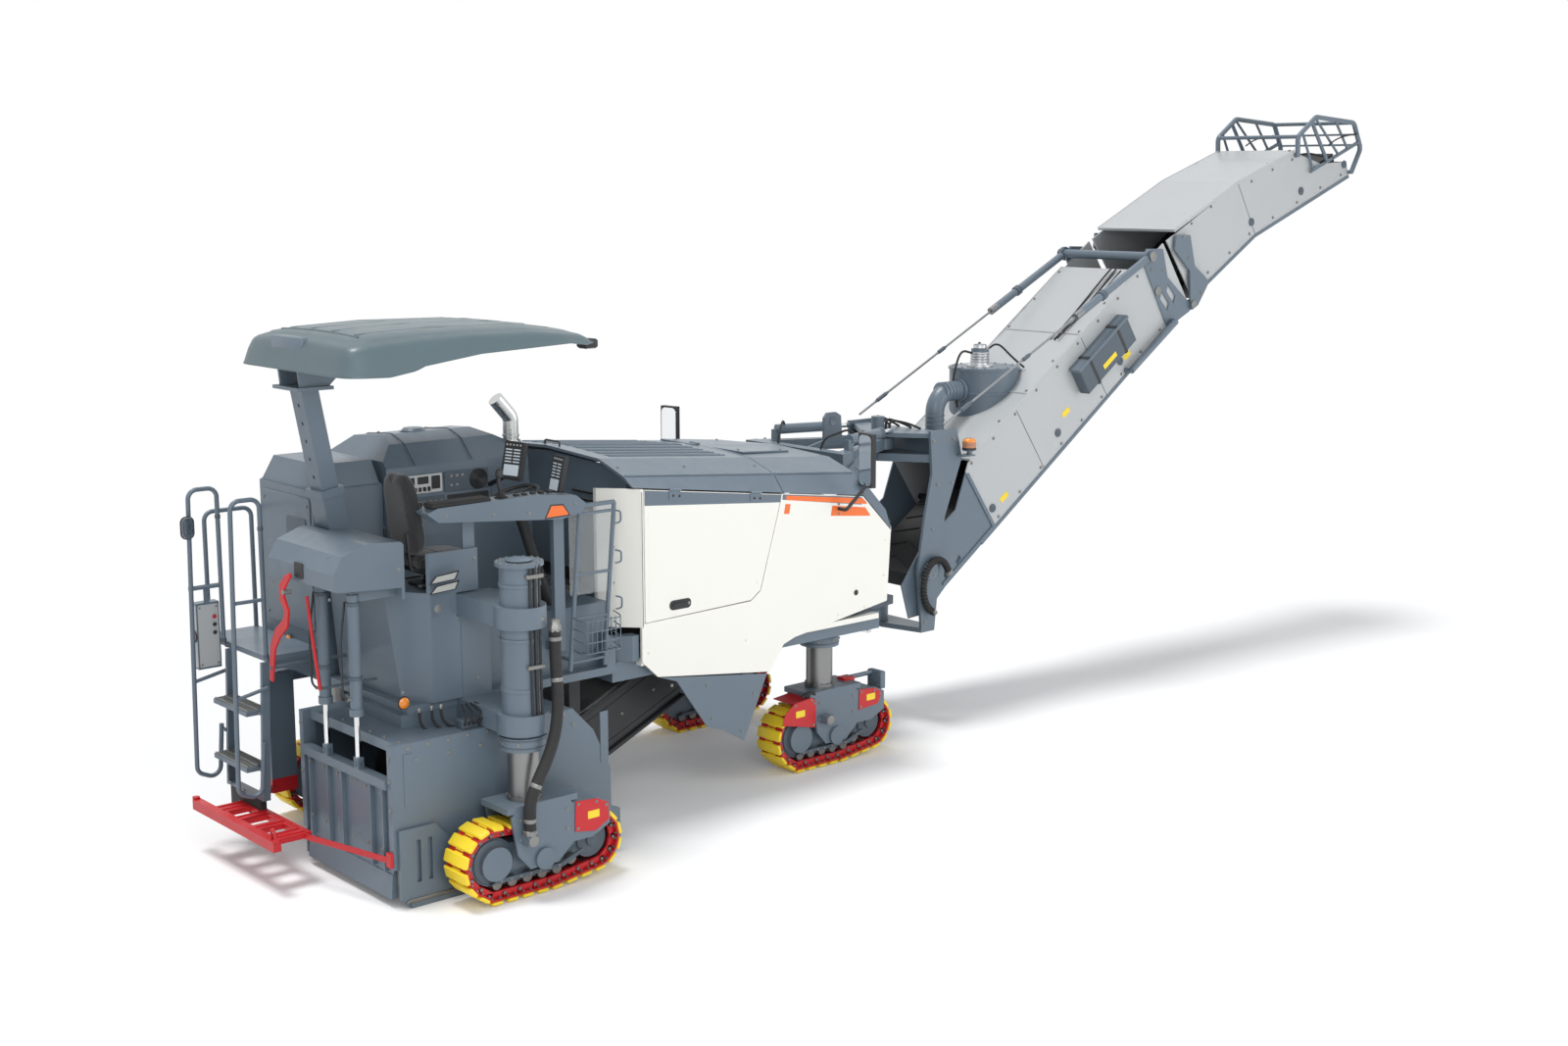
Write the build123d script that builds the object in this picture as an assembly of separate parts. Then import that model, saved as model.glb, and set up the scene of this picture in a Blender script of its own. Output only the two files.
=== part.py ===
from build123d import *
import os
from math import atan2, cos, degrees, hypot, pi, radians, sin, tan

# Compact front-loading cold planer on four steerable crawler tracks, in millimetres.
# X runs forward to the discharge conveyor, Y to the left, Z up, with the ground at 0.
# Stations along X are counted from the foot of the rear right track, and Y from the
# middle plane. At the end everything is moved so that the origin is the middle of the
# machine's outer box on the ground.

# ---- plates, clearances -------------------------------------------------------------
FIT = 0.3              # seat between pieces of different bodies
RUN = 8.0              # running clearance of moving panels
PLATE = 12.0           # structural plate
PANEL = 25.0           # body panel with its frame

# ---- tracks and lifting legs --------------------------------------------------------
TRACK_LENGTH = 1330.0
TRACK_WIDTH = 280.0
SPROCKET_R = 270.0     # outside of the shoes round the drive sprocket
IDLER_R = 235.0        # outside of the shoes round the idler
FOOT_LENGTH = 500.0    # between the end rollers on the ground
FOOT_R = 75.0
SHOE_COUNT = 26
SHOE_HEIGHT = 32.0
CHAIN = 62.0           # chain links inside the shoes
YOKE_TOP = 680.0
COLUMN_R = 112.0
TUBE_R = 140.0
TUBE_BOTTOM = 1040.0
LEG_FROM_FOOT = 400.0  # leg axis forward of the rear end roller
LIFT_UP, LIFT_DOWN = 320.0, 250.0

# name, station of the foot, middle of the track, top of the outer tube
LEGS = (
    ("rear_right", 0.0, -1700.0, 2350.0),
    ("rear_left", 0.0, 860.0, 1830.0),
    ("front_right", 3590.0, -800.0, 1830.0),
    ("front_left", 3590.0, 800.0, 1830.0),
)

# ---- body ---------------------------------------------------------------------------
HALF_BODY = 1130.0     # right panel from the middle plane
REAR_X = -150.0
SEAT_DECK_Z = 2080.0
FLOOR_Z = 1780.0
PANEL_REAR_X = 1870.0
HOOD_FRONT_X = 3300.0
NOSE_X = 4500.0
HOOD_DROP = tan(radians(4.9))
CROWN_Z = 2850.0       # crown of the hood at HOOD_REAR_X
HOOD_REAR_X = 1800.0
SHOULDER_Z = 2715.0    # crease at the edge of the hood top
HINGE_Z = 2640.0       # lower edge of the hood at HOOD_REAR_X
CROWN_HALF = 700.0
SHOULDER_HALF = 1010.0
HINGE_DROP = tan(radians(7.4))

# ---- milling unit -------------------------------------------------------------------
DRUM_X, DRUM_Z = 470.0, 525.0
DRUM_R = 490.0         # over the tool tips
DRUM_SHELL_R = 395.0
HOUSING_RIGHT = -1440.0
HOUSING_WIDTH = 1290.0
HOUSING_REAR, HOUSING_FRONT = -430.0, 1330.0
HOUSING_TOP = 1150.0
HOUSING_BOTTOM = 90.0
SCRAPER_LIFT = 220.0
GUIDE_W = 55.0
SIDE_LIFT = 180.0
GEAR_R = 215.0         # drum gearbox on the left wall

# ---- conveyors ----------------------------------------------------------------------
KING_X = 5430.0
KING_LOW, KING_TOP = 1210.0, 2790.0
BOOM_PIVOT_X, BOOM_PIVOT_Z = 5560.0, 1430.0
BOOM_ANGLE = 35.0
BOOM_HALF = 480.0
BOOM_DEPTH = 760.0
BOOM_LENGTH = 4370.0   # pivot to fold joint along the boom
BOOM_UNDER = 330.0     # pivot above the lower edge, square to the boom
TIP_FIRST = 1250.0     # upper section before its kink
TIP_SECOND = 1850.0
TIP_ANGLE_1, TIP_ANGLE_2 = 31.0, 20.0
BELT_W = 600.0

# ---- canopy -------------------------------------------------------------------------
CANOPY_RIGHT, CANOPY_WIDTH = -1250.0, 1620.0
CANOPY_REAR, CANOPY_TIP = -600.0, 1480.0
POST_Y = -330.0
POST_TOP = (-450.0, 3560.0)
POST_FOOT = (-215.0, 2250.0)
POST_W, POST_D = 170.0, 130.0
CANOPY_DROP = 350.0


# ---- small helpers ------------------------------------------------------------------
def block(x0, x1, y0, y1, z0, z1):
    return Pos((x0 + x1) / 2, (y0 + y1) / 2, (z0 + z1) / 2) * Box(x1 - x0, y1 - y0, z1 - z0)


def side_prism(points, y0, y1):
    """A profile given in X and Z, extruded across the machine."""
    face = Plane.XZ * make_face(Polyline(*points, close=True))
    return Pos(0, y1, 0) * extrude(face, amount=y1 - y0)


def cross_prism(points, x0, x1):
    """A profile given in Y and Z, extruded along the machine."""
    face = Plane.YZ * make_face(Polyline(*points, close=True))
    return Pos(x0, 0, 0) * extrude(face, amount=x1 - x0)


def plan_prism(points, z0, z1):
    face = make_face(Polyline(*points, close=True))
    return Pos(0, 0, z0) * extrude(face, amount=z1 - z0)


def rod(start, end, radius):
    """A round bar between two points."""
    a, b = Vector(*start), Vector(*end)
    run = b - a
    plane = Plane(origin=a, z_dir=run.normalized())
    return plane * Pos(0, 0, run.length / 2) * Cylinder(radius, run.length)


def pin_y(x, z, y0, y1, radius):
    return rod((x, y0, z), (x, y1, z), radius)


def swept_tube(points, radius, bend):
    path = FilletPolyline(*points, radius=bend)
    start = Plane(origin=path @ 0, z_dir=path % 0)
    return sweep(start * Circle(radius), path=path)


def cord_tube(points, radius):
    """A free hose through the points, each corner eased as far as its shorter run allows."""
    path = [Vector(*p) for p in points]
    radii = []
    for before, corner, after in zip(path, path[1:], path[2:]):
        into, out = corner - before, after - corner
        turn = into.get_angle(out)
        radii.append(0.45 * min(into.length, out.length) / tan(radians(turn / 2)))
    return swept_tube(points, radius, radii)


def mirrored(solid):
    return mirror(solid, about=Plane.XZ)


def union(*solids):
    return Part() + list(solids)


def fix_angle(length, depth, degrees_up, origin):
    """A point given along and square to a boom, turned up from X about an origin (X, Z)."""
    a = radians(degrees_up)
    x = origin[0] + length * cos(a) - depth * sin(a)
    z = origin[1] + length * sin(a) + depth * cos(a)
    return (x, z)


# ---- crawler tracks -----------------------------------------------------------------
# centre X, centre Z, radius outside the shoes: rear roller, front roller, idler, sprocket
SPROCKET_X = 80.0
IDLER_X = TRACK_LENGTH + SPROCKET_X - SPROCKET_R - IDLER_R
ROUNDS = (
    (60.0, FOOT_R, FOOT_R),
    (60.0 + FOOT_LENGTH, FOOT_R, FOOT_R),
    (IDLER_X, IDLER_R + 45.0, IDLER_R),
    (SPROCKET_X, SPROCKET_R + 28.0, SPROCKET_R),
)


def loop_stations(count):
    """Points and outward directions at equal steps round the taut loop, in X and Z."""
    pieces = []
    turns = []
    for i, (x0, z0, r0) in enumerate(ROUNDS):
        x1, z1, r1 = ROUNDS[(i + 1) % len(ROUNDS)]
        d = hypot(x1 - x0, z1 - z0)
        heading = atan2(z1 - z0, x1 - x0)
        lean = (r0 - r1) / d
        turns.append(heading - pi / 2 + atan2(lean, (1 - lean * lean) ** 0.5))
    for i, (x0, z0, r0) in enumerate(ROUNDS):
        x1, z1, r1 = ROUNDS[(i + 1) % len(ROUNDS)]
        start, out = turns[i - 1], turns[i]
        sweep_angle = (out - start) % (2 * pi)
        pieces.append(("arc", x0, z0, r0, start, sweep_angle, r0 * sweep_angle))
        a = (x0 + r0 * cos(out), z0 + r0 * sin(out))
        b = (x1 + r1 * cos(out), z1 + r1 * sin(out))
        pieces.append(("line", a, b, out, 0, 0, hypot(b[0] - a[0], b[1] - a[1])))
    total = sum(piece[6] for piece in pieces)
    result = []
    for k in range(count):
        s = total * k / count
        for piece in pieces:
            if s <= piece[6]:
                break
            s -= piece[6]
        share = min(s / piece[6], 1.0)
        if piece[0] == "arc":
            angle = piece[4] + piece[5] * share
            point = (piece[1] + piece[3] * cos(angle), piece[2] + piece[3] * sin(angle))
        else:
            angle = piece[3]
            a, b = piece[1], piece[2]
            point = (a[0] + (b[0] - a[0]) * share, a[1] + (b[1] - a[1]) * share)
        result.append((point[0], point[1], cos(angle), sin(angle)))
    return result


def track_loop():
    """One shoe spans three of every four stations, so the outline shows each shoe."""
    stations = loop_stations(SHOE_COUNT * 4)
    outer = []
    for k, (x, z, nx, nz) in enumerate(stations):
        if k % 4 == 0:
            outer.append((x, z))
        elif k % 4 == 3:
            outer.append((x, z))
            outer.append((x - nx * SHOE_HEIGHT, z - nz * SHOE_HEIGHT))
            x2, z2, nx2, nz2 = stations[(k + 1) % len(stations)]
            outer.append((x2 - nx2 * SHOE_HEIGHT, z2 - nz2 * SHOE_HEIGHT))
    inner = [
        (x - nx * (SHOE_HEIGHT + CHAIN), z - nz * (SHOE_HEIGHT + CHAIN))
        for x, z, nx, nz in stations[::4]
    ]
    half = TRACK_WIDTH / 2
    shoes = side_prism(outer, -half, half)
    return shoes - side_prism(inner, -half - 1, half + 1)


def track_frame(outside):
    """Roller frame, yoke, wheels and guards inside and above one loop."""
    half = TRACK_WIDTH / 2
    clear = SHOE_HEIGHT + CHAIN + FIT
    parts = []
    # the two wheels and the row of ground rollers
    wheels = (
        (ROUNDS[3][0], ROUNDS[3][1], SPROCKET_R - clear - 6, 70.0),
        (ROUNDS[2][0], ROUNDS[2][1], IDLER_R - clear - 6, 60.0),
    )
    for x, z, r, w in wheels:
        parts.append(pin_y(x, z, -w, w, r))
    body = side_prism(
        (
            (SPROCKET_X - 60, 230), (SPROCKET_X + 20, 120), (560, 112),
            (IDLER_X + 10, 235), (IDLER_X - 20, 350), (700, 400), (180, 400),
        ),
        -60, 60,
    )
    parts.append(body)
    for side in (-1, 1):
        y = side * (half - 22)
        cheek = side_prism(
            (
                (180, YOKE_TOP - 70), (230, 330), (330, 215), (560, 215),
                (690, 330), (700, YOKE_TOP - 70), (620, YOKE_TOP), (250, YOKE_TOP),
            ),
            min(side * (half + 6), side * (half + 26)), max(side * (half + 6), side * (half + 26)),
        )
        parts.append(cheek)
        parts.append(pin_y(445, 270, min(y, side * (half + 48)), max(y, side * (half + 48)), 78))
    parts.append(pin_y(445, 270, -half, half, 55))
    # motor cover on the outer side
    y0, y1 = sorted((outside * 50, outside * (half - 4)))
    parts.append(pin_y(ROUNDS[3][0], ROUNDS[3][1], y0, y1, 120))
    y0, y1 = sorted((outside * (half + 26), outside * (half + 112)))
    parts.append(block(258, 342, y0, y1, 410, 478))
    top = block(150, 730, -half - 26, half + 26, YOKE_TOP - 45, YOKE_TOP)
    parts.append(top)
    # front guard over the idler
    y0, y1 = sorted((outside * (half + 6), outside * (half + 22)))
    guard = side_prism(
        ((690, 330), (700, YOKE_TOP - 60), (900, YOKE_TOP - 70), (1010, 560), (1010, 400), (860, 330)),
        y0, y1,
    )
    parts.append(guard)
    shelf = side_prism(
        (
            (700, YOKE_TOP - 72), (700, YOKE_TOP - 60), (900, YOKE_TOP - 70),
            (1010, 560), (1010, 548), (896, YOKE_TOP - 82),
        ),
        -half - 20, half + 20,
    )
    parts.append(shelf)
    frame = union(*parts)
    return frame


def make_tracks():
    made = {}
    loop = track_loop()
    for name, foot, middle, top in LEGS:
        outside = -1 if middle < 0 else 1
        made[name + "_track"] = Pos(foot, middle, 0) * loop
        made[name + "_track_frame"] = Pos(foot, middle, 0) * track_frame(outside)
        x = foot + LEG_FROM_FOOT
        column = rod((x, middle, YOKE_TOP + FIT), (x, middle, top - 60 - LIFT_UP), COLUMN_R)
        foot_plate = rod((x, middle, YOKE_TOP + FIT), (x, middle, YOKE_TOP + 30), COLUMN_R + 14)
        made[name + "_column"] = union(column, foot_plate)
    return made


def make_leg_tubes():
    tubes = []
    for name, foot, middle, top in LEGS:
        x = foot + LEG_FROM_FOOT
        bore = COLUMN_R + 0.6
        tube = rod((x, middle, TUBE_BOTTOM), (x, middle, top), TUBE_R)
        collar = rod((x, middle, TUBE_BOTTOM), (x, middle, TUBE_BOTTOM + 95), TUBE_R + 26)
        lid = rod((x, middle, top - 25), (x, middle, top), TUBE_R + 28)
        body = union(tube, collar, lid)
        tubes.append(body - rod((x, middle, TUBE_BOTTOM - 1), (x, middle, top - 40), bore))
    return tubes


# ---- milling unit -------------------------------------------------------------------
HOUSING_LEFT = HOUSING_RIGHT + HOUSING_WIDTH
DRUM_MIDDLE = (HOUSING_LEFT + HOUSING_RIGHT) / 2


def make_drum_housing():
    outline = (
        (HOUSING_REAR, HOUSING_BOTTOM), (HOUSING_FRONT, HOUSING_BOTTOM), (HOUSING_FRONT, 640),
        (1180, 960), (1000, HOUSING_TOP), (HOUSING_REAR, HOUSING_TOP),
    )
    wall = 30.0
    solid = side_prism(outline, HOUSING_RIGHT, HOUSING_LEFT)
    room = side_prism(
        (
            (HOUSING_REAR - 1, HOUSING_BOTTOM - 1), (HOUSING_FRONT - wall, HOUSING_BOTTOM - 1),
            (HOUSING_FRONT - wall, 630), (1160, 930), (985, HOUSING_TOP - wall - 40),
            (HOUSING_REAR - 1, HOUSING_TOP - wall - 40),
        ),
        HOUSING_RIGHT + wall, HOUSING_LEFT - wall,
    )
    solid -= room
    # discharge opening towards the primary conveyor
    solid -= block(HOUSING_FRONT - 60, HOUSING_FRONT + 60, HOUSING_LEFT - 820, HOUSING_LEFT - 60, 150, 620)
    # bearing bosses on both walls, clear of the drum's hubs
    right = pin_y(DRUM_X, DRUM_Z, HOUSING_RIGHT, HOUSING_RIGHT + wall + 14, 170)
    left = pin_y(DRUM_X, DRUM_Z, HOUSING_LEFT - wall - 14, HOUSING_LEFT + 190, GEAR_R)
    bore = pin_y(DRUM_X, DRUM_Z, HOUSING_RIGHT - 1, HOUSING_LEFT + 60, 80.6)
    solid = union(solid, right, left)
    # ribs and guide rails on the outer right wall's rear and on the back
    for x in (-395.0, 1240.0):
        solid = union(solid, block(x, x + 70, HOUSING_RIGHT - 4, HOUSING_RIGHT + 4, 700, 1080))
    solid = union(
        solid,
        block(HOUSING_REAR - 60, HOUSING_REAR + 40, HOUSING_RIGHT, HOUSING_RIGHT + GUIDE_W, 280, HOUSING_TOP),
        block(HOUSING_REAR - 60, HOUSING_REAR + 40, HOUSING_LEFT - GUIDE_W, HOUSING_LEFT, 280, HOUSING_TOP),
        block(-200, 900, HOUSING_RIGHT + 350, HOUSING_LEFT - 150, HOUSING_TOP - 20, DECK_BOTTOM),
    )
    return solid - bore


def make_drum():
    """Shell with two spirals of tool holders, wound from both ends to the middle."""
    y0 = HOUSING_RIGHT + 30 + 15
    y1 = HOUSING_LEFT - 30 - 15
    shell = pin_y(DRUM_X, DRUM_Z, y0 + 6, y1 - 6, DRUM_SHELL_R)
    shaft = pin_y(DRUM_X, DRUM_Z, HOUSING_RIGHT + 2, HOUSING_LEFT + 40, 80)
    holders = []
    rows = 14
    half = (y1 - y0) / 2 - 45
    for flight in range(3):
        for k in range(rows):
            share = (k + 0.5) / rows
            turn = flight * 120 + share * 150
            for side in (-1, 1):
                y = (y0 + y1) / 2 + side * half * (1 - share)
                tooth = Pos(DRUM_R - 62, 0, 0) * Box(124, 46, 60)
                tooth = Rot(0, turn, 0) * tooth
                holders.append(Pos(DRUM_X, y, DRUM_Z) * tooth)
    return union(shell, shaft, *holders)


def make_scraper():
    """Rear moldboard that slides up and down between the housing's guides, with its lift eyes."""
    y0, y1 = HOUSING_RIGHT + GUIDE_W + FIT, HOUSING_LEFT - GUIDE_W - FIT
    x1 = HOUSING_REAR - 6
    blade = block(x1 - 30, x1, y0, y1, 60, 905)
    edge = side_prism(((x1 - 52, 60), (x1 - 29, 60), (x1 - 29, 230), (x1 - 38, 230)), y0, y1)
    ribs = [block(x1 - 62, x1 - 29, y, y + 16, 250, 860) for y in (y0 + 60, -1160, -760, -560, y1 - 90)]
    beam = block(x1 - 75, x1 - 29, y0, y1, 840, 905)
    return [union(blade, edge, beam, *ribs)] + make_scraper_rods()


CYLINDER_Y = (-1000.0, -560.0)
CYLINDER_X = HOUSING_REAR - 58


def make_scraper_rods():
    rods = []
    for y in CYLINDER_Y:
        bar = rod((CYLINDER_X, y, 905), (CYLINDER_X, y, 1640), 20)
        eye = block(CYLINDER_X - 23, CYLINDER_X + 23, y - 30, y + 30, 905, 985)
        rods.append(union(bar, eye))
    return rods


def make_scraper_cylinders():
    tubes = []
    for y in CYLINDER_Y:
        tube = rod((CYLINDER_X, y, 1300), (CYLINDER_X, y, 2130), 42)
        tube -= rod((CYLINDER_X, y, 1290), (CYLINDER_X, y, 2060), 20.5)
        gland = rod((CYLINDER_X, y, 1280), (CYLINDER_X, y, 1330), 50)
        gland -= rod((CYLINDER_X, y, 1270), (CYLINDER_X, y, 1340), 20.5)
        clevis = block(CYLINDER_X - 30, REAR_X - 25, y - 24, y + 24, 2080, 2150)
        tubes.append(union(tube, gland, clevis))
    return tubes


def make_side_plate(side):
    """Edge protector that slides beside the drum housing on a wide skid."""
    if side < 0:
        y1 = HOUSING_RIGHT - 4 - FIT
        y0 = y1 - 24
        middle = 300.0
    else:
        y0 = HOUSING_LEFT + FIT
        y1 = y0 + 24
        middle = DRUM_Z - GEAR_R - SIDE_LIFT - 10
    plate = side_prism(
        (
            (HOUSING_REAR - 30, 70), (HOUSING_REAR + 30, 8), (HOUSING_FRONT - 40, 8),
            (HOUSING_FRONT + 60, 90), (HOUSING_FRONT + 60, 330), (1150, 430), (900, middle), (60, middle),
            (-180, 560), (HOUSING_REAR - 30, 560),
        ),
        y0, y1,
    )
    for x in (-330.0, -240.0):
        plate -= block(x, x + 34, y0 - 1, y1 + 1, 170, 470)
    wide = sorted((y0 if side > 0 else y1, (y1 if side > 0 else y0) + side * 12))
    shoe = block(HOUSING_REAR + 40, HOUSING_FRONT - 60, *wide, 0, 34)
    runners = []
    if side < 0:
        for x, z0, z1 in ((-400.0, 300.0, 505.0), (1240.0, 120.0, 330.0)):
            runners.append(block(x, x + 60, y1 - 1, HOUSING_RIGHT - FIT, z0, z1))
    return union(plate, shoe, *runners)


ARM_RIGHT, ARM_LEFT = (-505.0, -1405.0), (-340.0, 600.0)
PLATFORM_Z = 330.0


def make_rear_platform():
    """Red service platform on two arms, pinned to the housing's guide and to a frame hanger."""
    x0, x1 = -960.0, -640.0
    z0, z1 = PLATFORM_Z, PLATFORM_Z + 40
    y0, y1 = -560.0, 420.0
    deck = block(x0, x1, y0, y1, z0, z1)
    for y in (-420.0, -160.0, 100.0):
        deck -= block(x0 + 70, x1 - 70, y, y + 150, z0 - 1, z1 + 1)
    bar = block(x0 - 30, x0 + 30, y0 - 110, y1 + 190, z0 - 10, z1 + 25)
    arms = []
    for y_deck, (x_end, y_end) in ((y0, ARM_RIGHT), (y1, ARM_LEFT)):
        arms.append(
            plan_prism(
                ((x1 - 60, y_deck - 30), (x1 - 60, y_deck + 30), (x_end, y_end + 25), (x_end, y_end - 25)), z0, z1
            )
        )
    side = sorted((HOUSING_REAR - 60, ARM_RIGHT[0] - 10))
    lug = block(side[0], side[1], ARM_RIGHT[1] - 30, ARM_RIGHT[1] + 30, z0 - 30, z1 + 30)
    hanger = block(ARM_LEFT[0] - 20, REAR_X - 1, 585, 615, z0 - 20, DECK_BOTTOM)
    plate = block(REAR_X - 120, REAR_X + 80, 560, 639, DECK_BOTTOM - 20, DECK_BOTTOM)
    return union(deck, bar, *arms, lug, hanger, plate)


# ---- chassis ------------------------------------------------------------------------
BEAM_TOP, BEAM_BOTTOM = 1300.0, 1150.0
BEAM_INNER, BEAM_OUTER = 645.0, 1040.0
DECK_BOTTOM = 1240.0


def leg_axes():
    return [(name, foot + LEG_FROM_FOOT, middle, top) for name, foot, middle, top in LEGS]


def make_chassis():
    parts = [
        block(REAR_X, 1660, -1100, 1040, DECK_BOTTOM, BEAM_TOP),
        block(1650, 4400, BEAM_INNER, BEAM_OUTER, BEAM_BOTTOM, BEAM_TOP),
        block(1650, 4400, -BEAM_OUTER, -BEAM_INNER, BEAM_BOTTOM, BEAM_TOP),
        block(REAR_X, 1660, 640, 1040, BEAM_BOTTOM, DECK_BOTTOM + 1),
        block(4250, 4460, -BEAM_OUTER, BEAM_OUTER, BEAM_BOTTOM, BEAM_TOP),
    ]
    # brackets that stand on the slewing pin's seat
    for y in (-300.0, 285.0):
        parts.append(
            side_prism(
                ((4250, BEAM_TOP), (4460, BEAM_TOP), (4900, KING_LOW - 80), (4300, KING_LOW - 80), (4250, BEAM_BOTTOM)),
                y, y + 15,
            )
        )
    # swing-out arms that carry the rear right leg
    name, x, y, top = leg_axes()[0]
    for z0, z1 in ((1155.0, 1295.0), (1900.0, 2050.0)):
        parts.append(rod((x, y, z0), (x, y, z1), TUBE_R + 40))
        parts.append(block(x - 150, x + 150, y, -1095, z0, z1))
    parts.append(block(x - 120, x + 120, -1131, -1100, DECK_BOTTOM, 2050))
    # engine cradle
    for x in (2120.0, 3080.0):
        parts.append(block(x, x + 80, -BEAM_OUTER, BEAM_OUTER, ENGINE_Z0 - 70, ENGINE_Z0))
        for side in (-1, 1):
            y0, y1 = sorted((side * BEAM_OUTER, side * (BEAM_OUTER - 60)))
            parts.append(block(x, x + 80, y0, y1, BEAM_TOP - 1, ENGINE_Z0))
    # upright frames in front of and behind the engine
    for side in (-1, 1):
        y0, y1 = sorted((side * 660, side * 925))
        parts.append(block(4330, 4400, y0, y1, BEAM_TOP - 1, 2280))
        y0, y1 = sorted((side * 645, side * 840))
        parts.append(block(1665, 1700, y0, y1, BEAM_TOP - 1, 2420))
    frame = union(*parts)
    for name, x, y, top in leg_axes():
        frame -= rod((x, y, 1000), (x, y, top + 60), TUBE_R + 0.2)
    return frame


def make_pin_seat():
    """Tapering plate below the nose that carries the lower slewing pin."""
    plate = plan_prism(
        (
            (4300, -360), (5300, -158), (5540, -110), (5540, 110), (5300, 158), (4300, 360),
        ),
        KING_LOW - 160, KING_LOW - 80,
    )
    return plate - rod((KING_X, 0, 700), (KING_X, 0, 1200), 60.4)


ENGINE_Z0 = 1720.0


def make_engine():
    """Engine and cooler as one plain block on its cradle."""
    return block(2060, 3220, -470, 470, ENGINE_Z0, 2440)


# ---- operator's station -------------------------------------------------------------
def make_rear_cladding():
    """Tall rear right housing under the seat, chamfered towards the side."""
    body = plan_prism(
        (
            (REAR_X, -40), (REAR_X, -820), (REAR_X + 190, -1130), (430, -1130), (430, -40),
        ),
        BEAM_TOP, SEAT_DECK_Z,
    )
    slope = side_prism(
        ((REAR_X - 1, BEAM_TOP - 1), (REAR_X + 60, BEAM_TOP - 1), (REAR_X - 1, SEAT_DECK_Z + 1)), -1200, 0
    )
    rim = plan_prism(
        (
            (REAR_X + 175, -1105), (REAR_X + 190, -1130), (430, -1130), (430, -1105),
        ),
        SEAT_DECK_Z - 1, 2360,
    )
    x, y = leg_axes()[0][1:3]
    body = union(body - slope, rim)
    body -= block(x - 122, x + 122, -1132, -1099, BEAM_TOP - 70, 2052)
    return body - block(x - 151, x + 151, -1200, -1094, 1890, 2060)


def make_floor():
    tank = block(430, 1640, -1000, -40, BEAM_TOP, FLOOR_Z)
    step = side_prism(((1640, BEAM_TOP), (1640, 1500), (1560, 1560), (1560, BEAM_TOP)), -1100, -1000)
    landing = block(-620, REAR_X - 50, 50, 1040, 1480, 1520)
    wedge = ((REAR_X - 50, 1300), (REAR_X - 50, 1481), (-560, 1481), (-560, 1440))
    bracket = side_prism(wedge, 100, 120)
    bracket2 = side_prism(wedge, 840, 860)
    return [union(tank, step), union(landing, bracket, bracket2)]


def make_rear_hood():
    """Left half of the station: tank and switch cabinet with a humped lid."""
    section = (
        (-40, BEAM_TOP), (-40, 2270), (10, 2790), (160, 2950), (330, 3005), (720, 2970),
        (930, 2800), (1000, 2560), (1000, BEAM_TOP),
    )
    body = cross_prism(section, 380, 1630)
    fall = side_prism(((1300, 3100), (1300, 3010), (1651, 2830), (1651, 3100)), -100, 1100)
    back = side_prism(((379, 3100), (379, 2840), (560, 3010), (560, 3100)), -100, 1100)
    recess = side_prism(((480, 2420), (480, 2740), (1280, 2740), (1280, 2420)), -100, -8)
    body = body - fall - back
    return body - recess - leg_room()


def leg_room():
    """Space in the left housings for the rear left leg's tube."""
    name, x, y, top = leg_axes()[1]
    return rod((x, y, BEAM_TOP - 50), (x, y, top + 3), TUBE_R + 30)


def make_rear_tank():
    """Box behind the hump with a bevelled lid."""
    body = block(REAR_X - 50, 372, 60, 890, BEAM_TOP, 2680)
    lid = loft(
        [
            Pos((REAR_X + 322) / 2, 475, 2688) * Rectangle(522, 830),
            Pos((REAR_X + 322) / 2 + 20, 475, 2860) * Rectangle(430, 700),
        ]
    )
    neck = block(REAR_X - 40, 362, 70, 880, 2679, 2689)
    return union(body, neck, lid) - leg_room()


def make_rear_cowl():
    """Rounded cowl over the tops of the moldboard cylinders, carrying the rear lamps."""
    profile = (
        (REAR_X, 2150), (REAR_X, 2470), (-430, 2490), (-620, 2420), (-690, 2300), (-690, 2190), (-650, 2180),
    )
    cowl = side_prism(profile, -1120, -190)
    cowl = chamfer(cowl.edges().filter_by(Axis.Y).sort_by(Axis.Z)[-2:], 20)
    inside = block(-660, REAR_X - 30, -1090, -220, 2100, 2260)
    back = block(REAR_X - 25, REAR_X, -1120, -190, 2070, 2200)
    foot = block(REAR_X - 20, REAR_X + 30, -800, -190, SEAT_DECK_Z, SEAT_DECK_Z + 25)
    shell = union(cowl - inside, back, foot)
    room = Pos(0, 0, 300) * Box(POST_D + 66, POST_W + 66, 1400)
    return shell - on_post(room)


def post_point(share):
    x = POST_FOOT[0] + (POST_TOP[0] - POST_FOOT[0]) * share
    z = POST_FOOT[1] + (POST_TOP[1] - POST_FOOT[1]) * share
    return x, z


POST_LENGTH = hypot(POST_TOP[0] - POST_FOOT[0], POST_TOP[1] - POST_FOOT[1])
POST_LEAN = degrees(atan2(POST_TOP[0] - POST_FOOT[0], POST_TOP[1] - POST_FOOT[1]))


def on_post(shape):
    """Turns a shape drawn along Z from the foot of the canopy post into its place."""
    return Pos(POST_FOOT[0], POST_Y, POST_FOOT[1]) * (Rot(0, POST_LEAN, 0) * shape)


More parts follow.
